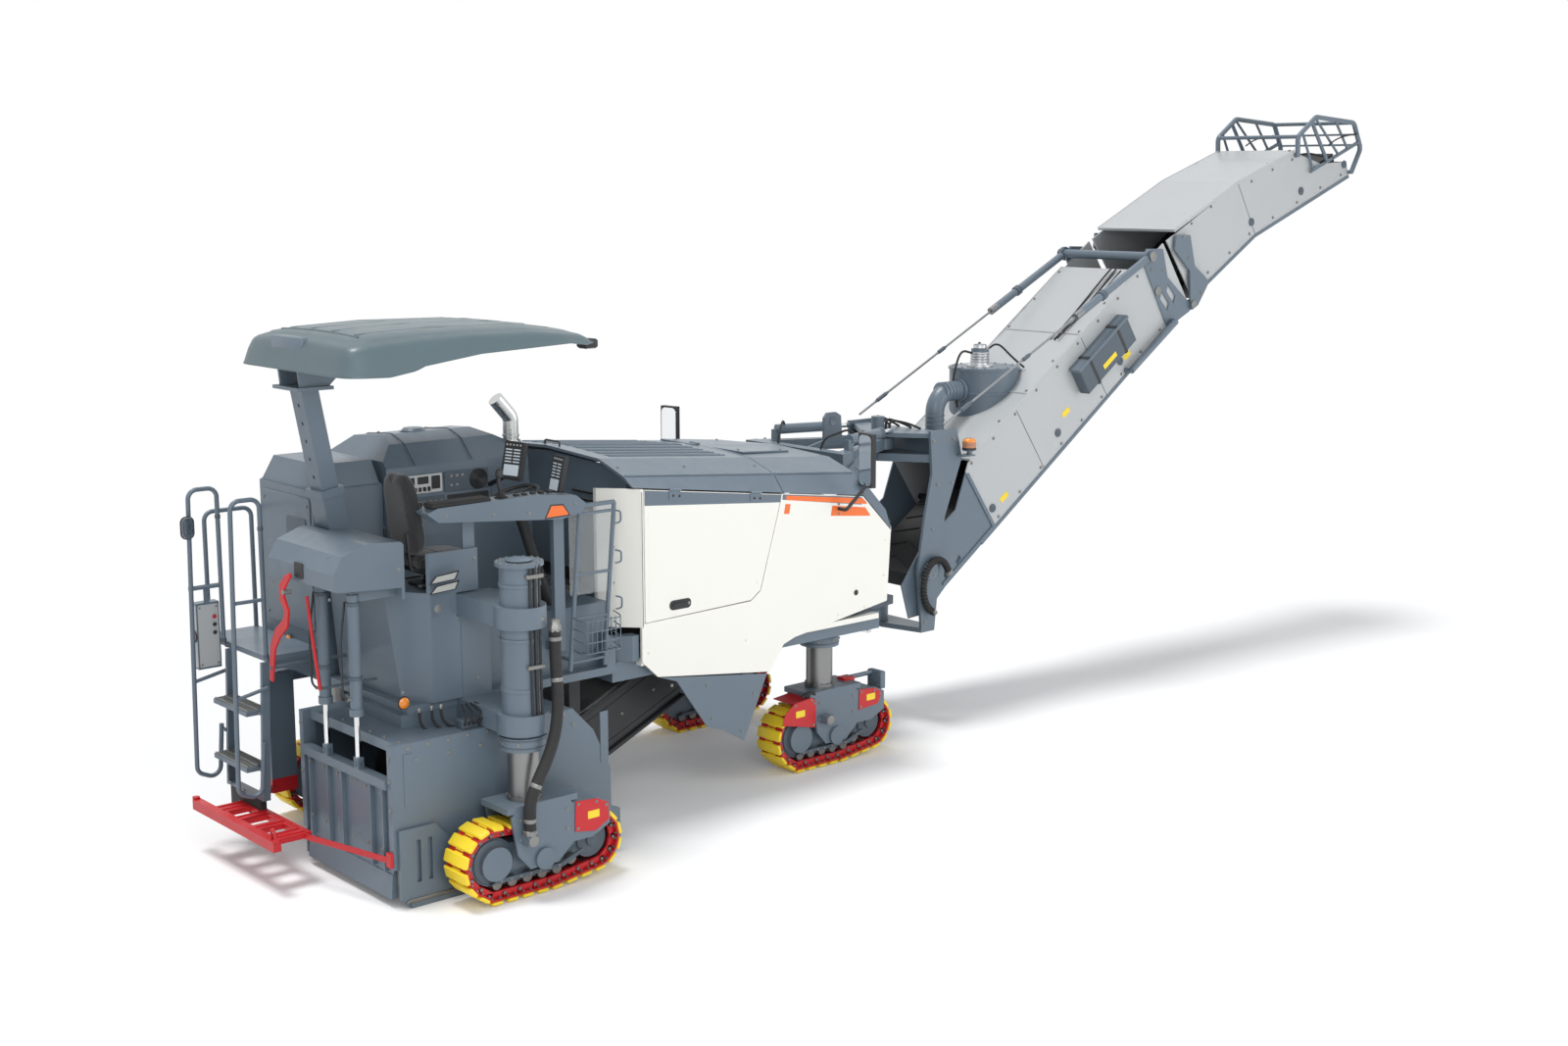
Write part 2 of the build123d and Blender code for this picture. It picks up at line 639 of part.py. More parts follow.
def make_post_lower():
    wall = 14.0
    tube = Pos(0, 0, 170) * Box(POST_D + 2 * wall, POST_W + 2 * wall, 700)
    collar = Pos(0, 0, 500) * Box(POST_D + 4 * wall, POST_W + 4 * wall, 60)
    bore = Pos(0, 0, 300) * Box(POST_D + 1, POST_W + 1, 800)
    post = on_post(union(tube, collar) - bore)
    foot = block(REAR_X + 30.3, 40, POST_Y - 160, POST_Y + 160, SEAT_DECK_Z, SEAT_DECK_Z + 60)
    brace = side_prism(
        ((REAR_X + 60, SEAT_DECK_Z + 50), (30, SEAT_DECK_Z + 50), (-150, 2600)), POST_Y - 10, POST_Y + 10
    )
    room = on_post(bore)
    post -= block(-500, 500, POST_Y - 200, POST_Y + 200, 1700, SEAT_DECK_Z)
    return union(post, foot, brace) - room


def make_post_upper():
    length = POST_LENGTH - 290.0
    bar = Pos(0, 0, 290 + length / 2) * Box(POST_D, POST_W, length)
    for k in range(5):
        z = 620.0 + k * 130.0
        bar -= Pos(0, 0, z) * Rot(0, 90, 0) * Cylinder(14, 400)
    top = on_post(bar)
    wedge = side_prism(
        (
            (POST_TOP[0] - 90, POST_TOP[1] - 70), (POST_TOP[0] + 120, POST_TOP[1] - 70),
            (POST_TOP[0] + 330, CANOPY_LOW_Z + 62), (POST_TOP[0] - 110, CANOPY_LOW_Z + 62),
        ),
        POST_Y - 150, POST_Y + 150,
    )
    wedge -= block(-1500, 500, POST_Y - 130, POST_Y + 130, POST_TOP[1] - 60, CANOPY_LOW_Z + 50)
    flange = block(
        POST_TOP[0] - 130, POST_TOP[0] + 150, POST_Y - 180, POST_Y + 180, POST_TOP[1] - 84, POST_TOP[1] - 60
    )
    bar_cut = top - block(-2000, 500, -900, 900, POST_TOP[1] - 62, 5000)
    return union(bar_cut, flange, wedge)


CANOPY_LOW_Z = 3615.0


def make_canopy():
    """Moulded roof with deep rear and side skirts, open below."""
    left = CANOPY_RIGHT + CANOPY_WIDTH
    profile = (
        (CANOPY_REAR, CANOPY_LOW_Z), (20, CANOPY_LOW_Z - 10), (190, CANOPY_LOW_Z + 100),
        (1180, CANOPY_LOW_Z + 145), (1330, CANOPY_LOW_Z + 120), (CANOPY_TIP, CANOPY_LOW_Z + 150),
        (1330, CANOPY_LOW_Z + 235), (900, CANOPY_LOW_Z + 290), (200, CANOPY_LOW_Z + 300),
        (-530, CANOPY_LOW_Z + 255), (CANOPY_REAR + 20, CANOPY_LOW_Z + 200),
    )
    roof = side_prism(profile, CANOPY_RIGHT, left)
    room = side_prism(
        (
            (CANOPY_REAR + 40, CANOPY_LOW_Z - 20), (1150, CANOPY_LOW_Z - 20), (1150, CANOPY_LOW_Z + 200),
            (880, CANOPY_LOW_Z + 255), (200, CANOPY_LOW_Z + 265), (-520, CANOPY_LOW_Z + 215),
            (CANOPY_REAR + 40, CANOPY_LOW_Z + 160),
        ),
        CANOPY_RIGHT + 40, left - 40,
    )
    bevel = []
    for y, side in ((CANOPY_RIGHT, 1), (left, -1)):
        bevel.append(
            cross_prism(
                (
                    (y - side, CANOPY_LOW_Z + 200), (y - side, CANOPY_LOW_Z + 400),
                    (y + side * 170, CANOPY_LOW_Z + 400), (y + side * 130, CANOPY_LOW_Z + 262),
                ),
                CANOPY_REAR - 50, CANOPY_TIP + 50,
            )
        )
    beam = block(
        POST_TOP[0] - 110, POST_TOP[0] + 330, POST_Y - 220, POST_Y + 220, CANOPY_LOW_Z + 62 + FIT, CANOPY_LOW_Z + 240
    )
    beam = (beam & roof).solid()
    return union(roof - room, beam) - bevel[0] - bevel[1]


def make_seat():
    base = block(90, 400, -1000, -740, SEAT_DECK_Z, 2210)
    cushion = block(0, 490, -1068, -650, 2205, 2330)
    back = side_prism(((-10, 2300), (100, 2320), (0, 2930), (-90, 2920)), -1065, -655)
    cushion = fillet(cushion.edges().filter_by(Axis.Z), 60)
    return union(base, cushion, back)


def make_console():
    """Long armrest console on the right edge with its two posts."""
    profile = (
        (-30, 2660), (60, 2690), (880, 2700), (1210, 2660), (1300, 2590), (1260, 2530), (1080, 2500), (60, 2590),
    )
    arm = side_prism(profile, -1240, -1080)
    front = block(1080, 1170, -1130, -1085, 1500, 2515)
    rear = block(330, 425, -1104, -1085, SEAT_DECK_Z, 2600)
    foot = block(1080, 1170, -1130, -1000, 1500, 1560)
    return union(arm, front, rear, foot)


def make_controls():
    """Steering column, wheel, the two displays and the joystick."""
    column = rod((1240, -820, FLOOR_Z), (960, -820, 2600), 42)
    lean = degrees(atan2(960 - 1240, 2600 - FLOOR_Z))
    rim = Pos(950, -820, 2630) * (Rot(0, lean, 0) * Torus(185, 15))
    spoke = Pos(950, -820, 2630) * (Rot(0, lean, 0) * Box(370, 36, 12))
    spoke2 = Pos(950, -820, 2630) * (Rot(0, lean, 0) * Box(36, 370, 12))
    hub = rod((970, -820, 2570), (948, -820, 2638), 45)
    screens = []
    screens.append(Pos(1190, -470, 2830) * (Rot(0, 12, 12) * Box(40, 200, 290)))
    screens.append(rod((1200, -470, 2750), (1262, -14.4, 2594.7), 18))
    screens.append(Pos(1290, -900, 2760) * (Rot(0, 12, -8) * Box(40, 180, 290)))
    screens.append(rod((1300, -900, 2660), (1230, -1100, 2606), 18))
    column = union(column, rim, spoke, spoke2, hub) - block(1000, 1400, -1000, -600, 1500, FLOOR_Z)
    right = union(*screens[2:]) - block(1000, 1500, -1300, -1080, 2400, 2800)
    return [column, union(*screens[:2]), right]


def make_guard_cage():
    """Tubular cage beside the operator's feet."""
    y = -1150.0
    r = 17.0
    posts = []
    for x0, x1 in ((1190.0, 1300.0), (1500.0, 1610.0)):
        posts.append(rod((x0, y, 1340), (x1, y, 2560), r))
    for z in (1400.0, 1720.0, 2050.0, 2500.0):
        shift = 110 * (z - 1340) / 1220
        posts.append(rod((1190 + shift, y, z), (1500 + shift, y, z), 12))
    top = rod((1300, y, 2560), (1610, y, 2560), r)
    stub = rod((1200, y, 1420), (1200, -1000, 1420), 14)
    stub2 = rod((1505, y, 1420), (1505, -1000, 1420), 14)
    return union(top, *posts, stub, stub2)


LADDER_STEPS = (680.0, 1095.0)


def make_ladder():
    """Two leaning stringers with deep grating steps and a rubber foot."""
    parts = []
    for y in (50.0, 610.0):
        parts.append(side_prism(((-700, 450), (-640, 450), (-600, 1480), (-660, 1480)), y, y + 30))
    for z in LADDER_STEPS:
        shift = 40 * (z - 450) / 1030
        parts.append(block(-810 + shift, -640 + shift, 79, 611, z, z + 34))
    parts.append(block(-700, -640, 79, 611, 452, 480))
    return union(*parts)


def make_handrails():
    """Loops of round tube on both sides of the ladder and beside the landing."""
    rails = []
    for y in (20.0, 700.0):
        path = (
            (-640, y, 1500), (-640, y, 2680), (-860, y, 2680), (-900, y, 560), (-720, y, 480), (-690, y, 900),
        )
        rails.append(swept_tube(path, 17, 70))
        rails.append(rod((-680, y, 860), (-680, 50 if y < 50 else 640, 860), 14))
        rails.append(rod((-890, y, 1250), (-640, y, 1300), 14))
        rails.append(rod((-640, y, 1300), (-640, 50 if y < 50 else 640, 1300), 14))
        rails.append(rod((-870, y, 1950), (-640, y, 1950), 14))
    side = swept_tube(((-600, 1020, 1520), (-600, 1020, 2450), (-220, 1020, 2450), (-220, 1020, 1520)), 17, 70)
    post = union(*rails[:5])
    post2 = union(*rails[5:])
    return [post, post2, side]


def make_control_box():
    """Switch box hung on the left rail, and the ladder mirror above it."""
    box = block(-835, -655, 718, 800, 1330, 1830)
    box -= block(-825, -665, 796, 801, 1360, 1800)
    hooks = block(-885, -640, 717.3, 724, 1935, 1965)
    strap = block(-770, -730, 717.3, 726, 1800, 1965)
    return [union(box, strap, hooks)]


def make_exhaust(rear_hood):
    x, y = 1560.0, 130.0
    stack = swept_tube(((x, y, 2800), (x, y, 3080), (x - 130, y + 10, 3230)), 62, 90)
    collar = rod((x, y, 2862), (x, y, 2900), 78)
    return union(stack, collar) - rear_hood


# ---- engine bay ---------------------------------------------------------------------
def hood_section(x, inset):
    """Cross-section of the hood at a station, as Y and Z from the right edge to the left."""
    run = x - HOOD_REAR_X
    crown = CROWN_Z - run * HOOD_DROP - inset
    shoulder = SHOULDER_Z - run * HOOD_DROP - inset
    edge = HINGE_Z - run * HINGE_DROP
    return (
        (-HALF_BODY + inset, edge), (-SHOULDER_HALF + inset / 2, shoulder), (-CROWN_HALF, crown - 35),
        (0, crown), (CROWN_HALF, crown - 35), (SHOULDER_HALF - inset / 2, shoulder), (HALF_BODY - inset, edge),
    )


def hood_solid(x0, x1, inset, below=0.0):
    sections = []
    for x in (x0, x1):
        points = hood_section(x, inset)
        if below:
            y0, z0 = points[0]
            points = ((y0, z0 - below),) + points + ((-y0, z0 - below),)
        sections.append(Pos(x, 0, 0) * (Plane.YZ * make_face(Polyline(*points, close=True))))
    return loft(sections, ruled=True)


HINGE_R = 10.0
HINGE_UP = 12.0
HOOD_HINGE = (HOOD_FRONT_X - 4, hood_section(HOOD_FRONT_X + 2, 0)[3][1] + HINGE_R + FIT)
SLOT_X0, SLOT_X1 = 1980.0, 3130.0
SLOT_COUNT, SLOT_PITCH, SLOT_W = 9, 140.0, 46.0


def make_engine_hood():
    wall = 22.0
    outer = hood_solid(HOOD_REAR_X, HOOD_FRONT_X - RUN, 0)
    inner = hood_solid(HOOD_REAR_X - 5, HOOD_FRONT_X - RUN + 5, wall, 60.0)
    hood = outer - inner
    for k in range(SLOT_COUNT):
        y = (k - (SLOT_COUNT - 1) / 2) * SLOT_PITCH
        hood -= block(SLOT_X0, SLOT_X1, y - SLOT_W / 2, y + SLOT_W / 2, 2600, 2950)
    x, z = HOOD_HINGE
    knuckle = pin_y(x, z, -60, 60, HINGE_R)
    leaf = block(x - 60, x, -50, 50, z - HINGE_R - 10, z)
    return union(hood, leaf, knuckle)


def make_front_cowl():
    """Fixed roof in front of the hood, falling to the nose."""
    wall = 22.0
    nose = 4180.0
    outer = hood_solid(HOOD_FRONT_X, nose, 0)
    inner = hood_solid(HOOD_FRONT_X - 5, nose + 5, wall, 60.0)
    roof = outer - inner
    bulkhead = hood_solid(HOOD_FRONT_X, HOOD_FRONT_X + 40, wall - 1, 60.0)
    half = HALF_BODY - PANEL - 10
    bulkhead &= block(HOOD_FRONT_X, HOOD_FRONT_X + 40, -half, half, 2000, 3000)
    posts = [
        block(HOOD_FRONT_X, HOOD_FRONT_X + 40, y, y + 120, BEAM_TOP + FIT, 2450) for y in (-BEAM_OUTER, BEAM_OUTER - 120)
    ]
    fairing = []
    for side in (-1, 1):
        y0, y1 = sorted((side * HALF_BODY, side * (HALF_BODY - 200)))
        z = hood_section(nose, 0)[0][1]
        fairing.append(
            side_prism(((nose, z), (nose, z + 120), (NOSE_X - 60, 2180), (NOSE_X, 2010), (4290, 2220)), y0, y1)
        )
    return union(roof, *fairing, bulkhead, *posts)


DOOR = (
    (1905, 1590), (2950, 1620), (3050, 1690), (3235, 2290), (3275, 2436), (1905, 2614),
)


def grown_outline(points, gap):
    """The door's outline grown by the panel gap, about its middle."""
    cx = sum(p[0] for p in points) / len(points)
    cz = sum(p[1] for p in points) / len(points)
    grown = []
    for x, z in points:
        length = hypot(x - cx, z - cz)
        share = (length + gap * 1.4) / length
        grown.append((cx + (x - cx) * share, cz + (z - cz) * share))
    return grown


def hinge_z(x):
    return HINGE_Z - (x - HOOD_REAR_X) * HINGE_DROP - RUN


def make_right_panel():
    outline = (
        (PANEL_REAR_X, 1290), (2020, 1150), (3150, 1003), (3300, 1205), (3420, 1245), (4460, 1400),
        (NOSE_X, 2000), (4285, 2212), (4175, hinge_z(4175)), (PANEL_REAR_X, hinge_z(PANEL_REAR_X)),
    )
    panel = side_prism(outline, -HALF_BODY, -HALF_BODY + PANEL)
    return panel


def make_side_panels():
    right = make_right_panel()
    left = mirrored(right)
    door = side_prism(grown_outline(DOOR, RUN), -HALF_BODY - 1, -HALF_BODY + PANEL + 1)
    sill = block(PANEL_REAR_X + 6, 4390, -HALF_BODY + PANEL, -BEAM_OUTER, 1255, BEAM_TOP)
    diagonal = plan_prism(
        ((1640, -880), (PANEL_REAR_X, -HALF_BODY + 4), (PANEL_REAR_X, -HALF_BODY + 40), (1640, -845)),
        1560, hinge_z(PANEL_REAR_X),
    )
    left_sill = mirrored(sill)
    left_diagonal = mirrored(diagonal)
    return [union(right - door, sill, diagonal), union(left, left_sill, left_diagonal)]


def hatch_hinge(share):
    """A point of the hatch's hinge line, given as a share of its top edge from the rear."""
    (x1, z1), (x0, z0) = DOOR[-2:]
    return x0 + (x1 - x0) * share, -HALF_BODY - HINGE_R - FIT, z0 + (z1 - z0) * share + HINGE_UP


def make_side_door():
    door = side_prism(DOOR, -HALF_BODY, -HALF_BODY + PANEL)
    door -= block(2150, 2330, -HALF_BODY - 1, -HALF_BODY + 8, 1660, 1720)
    hinges = []
    for share in (0.17, 0.76):
        a, b = hatch_hinge(share), hatch_hinge(share + 0.08)
        hinges.append(rod(a, b, HINGE_R))
        for high, low, y in ((0, HINGE_UP + 1, -HALF_BODY - FIT), (HINGE_UP, 80, -HALF_BODY + 1)):
            leaf = ((a[0], a[2] - high), (b[0], b[2] - high), (b[0], b[2] - low), (a[0], a[2] - low))
            hinges.append(side_prism(leaf, -HALF_BODY - 6, y))
    return union(door, *hinges)


def make_skirts():
    outline = (
        (2040, 1140), (2200, 1085), (2500, 665), (2680, 600), (2880, 480), (3120, 990),
    )
    right = side_prism(outline, -HALF_BODY + 1, -HALF_BODY + 1 + PLATE)
    hanger = block(2300, 2900, -HALF_BODY + PLATE, -BEAM_OUTER, 960, 1000)
    hanger = union(hanger, block(2300, 2900, -BEAM_OUTER - 20, -BEAM_OUTER, 960, 1200))
    waist = plan_prism(
        ((1665, -990), (1800, -1100), (1860, -1100), (1860, -BEAM_OUTER + 30), (1665, -BEAM_OUTER + 90)),
        BEAM_TOP, 1500,
    )
    skirt = union(right, hanger)
    return [skirt, mirrored(skirt), waist, mirrored(waist)]


def make_mirrors():
    made = []
    for side in (-1, 1):
        y = side * 1300.0
        glass = Pos(4055, y, 2655) * (Rot(0, 0, side * 10) * Box(46, 190, 440))
        arm = swept_tube(
            ((3900, side * (HALF_BODY + FIT), 2250), (3900, side * 1220, 2250), (4040, y, 2440), (4052, y, 2480)), 15, 30
        )
        made.append(union(glass, arm))
    return made


# ---- front tower and slewing joint --------------------------------------------------
def make_tower():
    """Upper bracket from the chassis to the upper slewing pin, with its lashing lugs."""
    parts = []
    for side in (-1, 1):
        y0, y1 = sorted((side * 640, side * 660))
        parts.append(
            side_prism(((4330, 1600), (4400, 1600), (4640, 2460), (4640, 2600), (4330, 2400)), y0, y1)
        )
        strip = plan_prism(
            ((4450, side * 640), (4450, side * 500), (5400, side * 60), (5400, side * 130)), 2500, 2600
        )
        parts.append(strip)
    parts.append(block(4400, 4520, -641, 641, 2460, 2600))
    parts.append(rod((KING_X, 0, 2500), (KING_X, 0, 2600), 150))
    web = side_prism(((4500, 2570), (5262, 2570), (5262, 2630), (4900, 2660)), -10, 10)
    parts.append(web)
    lug = side_prism(
        ((4760, 2590), (4980, 2590), (4960, 2835), (4900, LUG_Z + 75), (4800, LUG_Z + 75), (4760, 2825)), -14, 14
    )
    lug -= pin_y(4860, LUG_Z, -40, 40, LUG_R)
    parts.append(lug)
    tower = union(*parts)
    return tower - rod((KING_X, 0, 2400), (KING_X, 0, 2900), 60.4)


LUG_R = 30.0
LUG_Z = 2795.0          # a shackle pin passes above the slewing cylinders
SLEW_Z = 2692.0         # slewing cylinders, clear above the swivel's top plate


def make_slew_cylinders():
    made = []
    for side in (-1, 1):
        tube = rod((4620, side * 480, SLEW_Z), (5150, side * 330, SLEW_Z), 45)
        bar = rod((5140, side * 333, SLEW_Z), (5330, side * 279, SLEW_Z), 22)
        clevis = block(4590, 4650, side * 480 - 30, side * 480 + 30, 2600, SLEW_Z)
        made.append(union(tube, bar, clevis))
    return made


def make_swivel():
    """Slewing frame: two pins, a top box and two side arms to the boom's pivot."""
    parts = []
    parts.append(rod((KING_X, 0, SWIVEL_LOW), (KING_X, 0, KING_LOW + 10), 60))
    parts.append(rod((KING_X, 0, 2480), (KING_X, 0, KING_TOP), 60))
    for z0, z1 in ((2620.0, 2660.0), (2400.0, 2470.0)):
        parts.append(
            plan_prism(
                ((KING_X - 100, -110), (5640, -SWIVEL_HALF), (5790, -SWIVEL_HALF), (5790, SWIVEL_HALF),
                 (5640, SWIVEL_HALF), (KING_X - 100, 110)),
                z0, z1,
            )
        )
    parts.append(block(5700, 5790, -SWIVEL_HALF, SWIVEL_HALF, 2400, 2660))
    low = plan_prism(
        (
            (KING_X - 60, -140), (KING_X + 40, -SWIVEL_HALF), (5640, -SWIVEL_HALF), (5640, SWIVEL_HALF),
            (KING_X + 40, SWIVEL_HALF), (KING_X - 60, 140),
        ),
        SWIVEL_LOW, SWIVEL_LOW + 45,
    )
    parts.append(low)
    parts.append(rod((KING_X, 0, SWIVEL_LOW), (KING_X, 0, KING_LOW - 160 - FIT), 110))
    for side in (-1, 1):
        y0, y1 = sorted((side * SWIVEL_HALF, side * (SWIVEL_HALF - 28)))
        parts.append(
            side_prism(
                (
                    (5560, 2690), (5900, 2690), (5970, 2420), (5760, 1900), (5700, 1420), (5640, SWIVEL_LOW),
                    (5480, SWIVEL_LOW), (5420, 1420), (5500, 1900), (5590, 2300),
                ),
                y0, y1,
            )
        )
        y0, y1 = sorted((side * (SWIVEL_HALF + 25), side * (BOOM_HALF + 4)))
        parts.append(pin_y(BOOM_PIVOT_X, BOOM_PIVOT_Z, y0, y1, 70))
    return union(*parts)


SWIVEL_HALF = 545.0
SWIVEL_LOW = 860.0


def make_beacon():
    """Flashing lamp on a shelf outside the right arm."""
    x, y, z = 5985.0, -SWIVEL_HALF - 75.0, 2452.0
    shelf = block(x - 90, x + 40, y - 40, -SWIVEL_HALF, z - 12, z)
    base = rod((x, y, z), (x, y, z + 40), 22)
    lamp = rod((x, y, z + 38), (x, y, z + 150), 62)
    lamp = fillet(lamp.edges().sort_by(Axis.Z)[-1], 40)
    return union(shelf, base, lamp)


# ---- primary conveyor ---------------------------------------------------------------
PRIMARY_ANGLE = 24.0
PRIMARY_Y, PRIMARY_HALF = -180.0, 430.0
PRIMARY_FOOT = (1560.0, 270.0)
PRIMARY_LENGTH = 3750.0
PRIMARY_DEPTH = 480.0


def primary_at(u, v):
    return fix_angle(u, v, PRIMARY_ANGLE, PRIMARY_FOOT)


def make_primary():
    y0, y1 = PRIMARY_Y - PRIMARY_HALF, PRIMARY_Y + PRIMARY_HALF
    walls = ((0, 0), (PRIMARY_LENGTH, 0), (PRIMARY_LENGTH - 160, PRIMARY_DEPTH), (180, PRIMARY_DEPTH))
    outline = [primary_at(*p) for p in walls]
    end, lid = PRIMARY_LENGTH + 60, PRIMARY_DEPTH - 14
    room = [primary_at(*p) for p in ((-60, 14), (end, 14), (end, lid), (-60, lid))]
    box = side_prism(outline, y0, y1) - side_prism(room, y0 + 14, y1 - 14)
    tubes = []
    for v in (30.0, PRIMARY_DEPTH - 30):
        a, b = primary_at(150, v), primary_at(2000, v)
        tubes.append(rod((a[0], y0 - 14, a[1]), (b[0], y0 - 14, b[1]), 20))
    hangers = []
    for y in (y0 - 18, y1):
        hangers.append(block(1540, 1640, y, y + 18, 560, DECK_BOTTOM))
        hangers.append(block(4300, 4400, y, y + 18, BEAM_TOP, 1720))
    return union(box, *tubes, *hangers)


def make_primary_belt():
    y = PRIMARY_Y
    end = PRIMARY_LENGTH + 20
    outline = [primary_at(*p) for p in ((-20, 150), (end, 150), (end, 330), (-20, 330))]
    belt = side_prism(outline, y - 330, y + 330)
    turn = PRIMARY_LENGTH - 20
    inner = [primary_at(*p) for p in ((20, 166), (turn, 166), (turn, 314), (20, 314))]
    belt -= side_prism(inner, y - 331, y + 331)
    ends = []
    for u in (70.0, PRIMARY_LENGTH - 70):
        x, z = primary_at(u, 240)
        ends.append(pin_y(x, z, y - PRIMARY_HALF + 14, y + PRIMARY_HALF - 14, 60))
        ends.append(pin_y(x, z, y - 320, y + 320, 73.9))
    return union(belt, *ends)


def make_scoop():
    """Plain sheet pan below the transfer point, on the nose."""
    pan = side_prism(((4620, 1010), (5165, 840), (5200, 855), (5195, 1050), (4640, 1050)), -180, 180)
    return pan - side_prism(((4690, 1010), (5160, 862), (5175, 1040), (4700, 1040)), -181, 181)


# ---- discharge conveyor -------------------------------------------------------------
def boom_at(u, v):
    return fix_angle(u, v, BOOM_ANGLE, (BOOM_PIVOT_X, BOOM_PIVOT_Z))


SKIN = 14.0


def make_lower_boom():
    """Open trough of two side plates and a floor, with the slotted foot plates."""
    v0, v1 = -BOOM_UNDER, BOOM_DEPTH - BOOM_UNDER
    outline = [
        boom_at(*p)
        for p in (
            (-400, -250), (-200, -370), (120, v0), (BOOM_LENGTH, v0), (BOOM_LENGTH - 10, v1),
            (1000, v1), (620, 170), (120, 190), (-300, 60),
        )
    ]
    sides = side_prism(outline, -BOOM_HALF, BOOM_HALF)
    end = BOOM_LENGTH + 60
    room = [boom_at(*p) for p in ((-900, v0 + 16), (end, v0 + 16), (end, v1 + 90), (-900, v1 + 90))]
    sides -= side_prism(room, -BOOM_HALF + SKIN, BOOM_HALF - SKIN)
    low = [boom_at(*p) for p in ((-900, -900), (110, -900), (110, v0 + 17), (-900, v0 + 17))]
    sides -= side_prism(low, -BOOM_HALF + SKIN, BOOM_HALF - SKIN)
    for k in range(4):
        u = -220.0 + k * 190.0
        slot = [boom_at(*p) for p in ((u, -270), (u + 70, -250), (u + 70, -205), (u, -225))]
        sides -= side_prism(slot, -BOOM_HALF - 1, BOOM_HALF + 1)
    bosses = []
    for side in (-1, 1):
        y0, y1 = sorted((side * BOOM_HALF, side * (BOOM_HALF - 60)))
        bosses.append(pin_y(BOOM_PIVOT_X, BOOM_PIVOT_Z, y0, y1, 95))
    beams = []
    for u in (900.0, 2100.0, 3300.0):
        a = [boom_at(*p) for p in ((u, v0 + 15), (u + 90, v0 + 15), (u + 90, v0 + 70), (u, v0 + 70))]
        beams.append(side_prism(a, -BOOM_HALF + SKIN - 1, BOOM_HALF - SKIN + 1))
    x, z = CROSS_TUBE
    fold = []
    for side in (-1, 1):
        y0, y1 = sorted((side * BOOM_HALF, side * (BOOM_HALF + 20)))
        plate = side_prism(
            [
                boom_at(*p)
                for p in (
                    (BOOM_LENGTH - 420, v0 + 20), (BOOM_LENGTH - 60, v0 - 52), (BOOM_LENGTH + 58, v0 - 52),
                    (BOOM_LENGTH + 58, v0 + 30), (BOOM_LENGTH - 20, v0 + 60),
                    (BOOM_LENGTH - 150, 120), (BOOM_LENGTH - 60, v1 - 30),
                    (BOOM_LENGTH - 260, v1 + 120), (BOOM_LENGTH - 380, v1 + 60),
                )
            ],
            y0, y1,
        )
        for u in (-330.0, -210.0):
            hole = [boom_at(BOOM_LENGTH + u + p[0], p[1]) for p in ((0, -160), (60, -110), (30, 60), (-30, 10))]
            plate -= side_prism(hole, y0 - 1, y1 + 1)
        fold.append(plate)
    tube = pin_y(x, z, -590, 590, 44)
    trough = union(sides, *bosses, *beams, *fold, tube)
    trough -= pin_y(FOLD_HINGE[0], FOLD_HINGE[1], -700, 700, 30.4)
    return trough - pin_y(BOOM_PIVOT_X, BOOM_PIVOT_Z, -BOOM_HALF - 1, BOOM_HALF + 1, 70.4)


CROSS_TUBE = boom_at(BOOM_LENGTH - 320, BOOM_DEPTH - BOOM_UNDER + 70)
FOLD_HINGE = boom_at(BOOM_LENGTH + 14, -BOOM_UNDER - 10)


def make_lower_cover():
    """Light roof over the lower belt, folded down a little at both edges."""
    v1 = BOOM_DEPTH - BOOM_UNDER
    end = BOOM_LENGTH - 480
    outline = [boom_at(*p) for p in ((1010, v1), (end, v1), (end, v1 + 26), (1010, v1 + 26))]
    return side_prism(outline, -BOOM_HALF - 4, BOOM_HALF + 4)


def belt_loop(points_low, points_high, half):
    outline = points_low + points_high[::-1]
    return side_prism(outline, -half, half)


def make_lower_belt():
    v = -BOOM_UNDER
    low = [boom_at(-60, v + 95), boom_at(BOOM_LENGTH - 40, v + 95)]
    high = [boom_at(-60, v + 285), boom_at(BOOM_LENGTH - 40, v + 285)]
    belt = belt_loop(low, high, BELT_W / 2)
    low = [boom_at(-40, v + 111), boom_at(BOOM_LENGTH - 60, v + 111)]
    high = [boom_at(-40, v + 269), boom_at(BOOM_LENGTH - 60, v + 269)]
    belt -= belt_loop(low, high, BELT_W / 2 + 1)
    parts = [belt]
    for u in (40.0, 1000.0, 2100.0, 3200.0, BOOM_LENGTH - 135):
        x, z = boom_at(u, v + 190)
        parts.append(pin_y(x, z, -BOOM_HALF + SKIN, BOOM_HALF - SKIN, 30))
        parts.append(pin_y(x, z, -BELT_W / 2 + 10, BELT_W / 2 - 10, 78.9))
    return union(*parts)


KINK = fix_angle(TIP_FIRST, 0, TIP_ANGLE_1, FOLD_HINGE)
TIP = fix_angle(TIP_SECOND, 0, TIP_ANGLE_2, KINK)


def tip_at(u, v):
    """Along the first straight of the upper section, from the fold hinge."""
    return fix_angle(u, v, TIP_ANGLE_1, FOLD_HINGE)


def head_at(u, v):
    """Along the second straight of the upper section, from its kink."""
    return fix_angle(u, v, TIP_ANGLE_2, KINK)


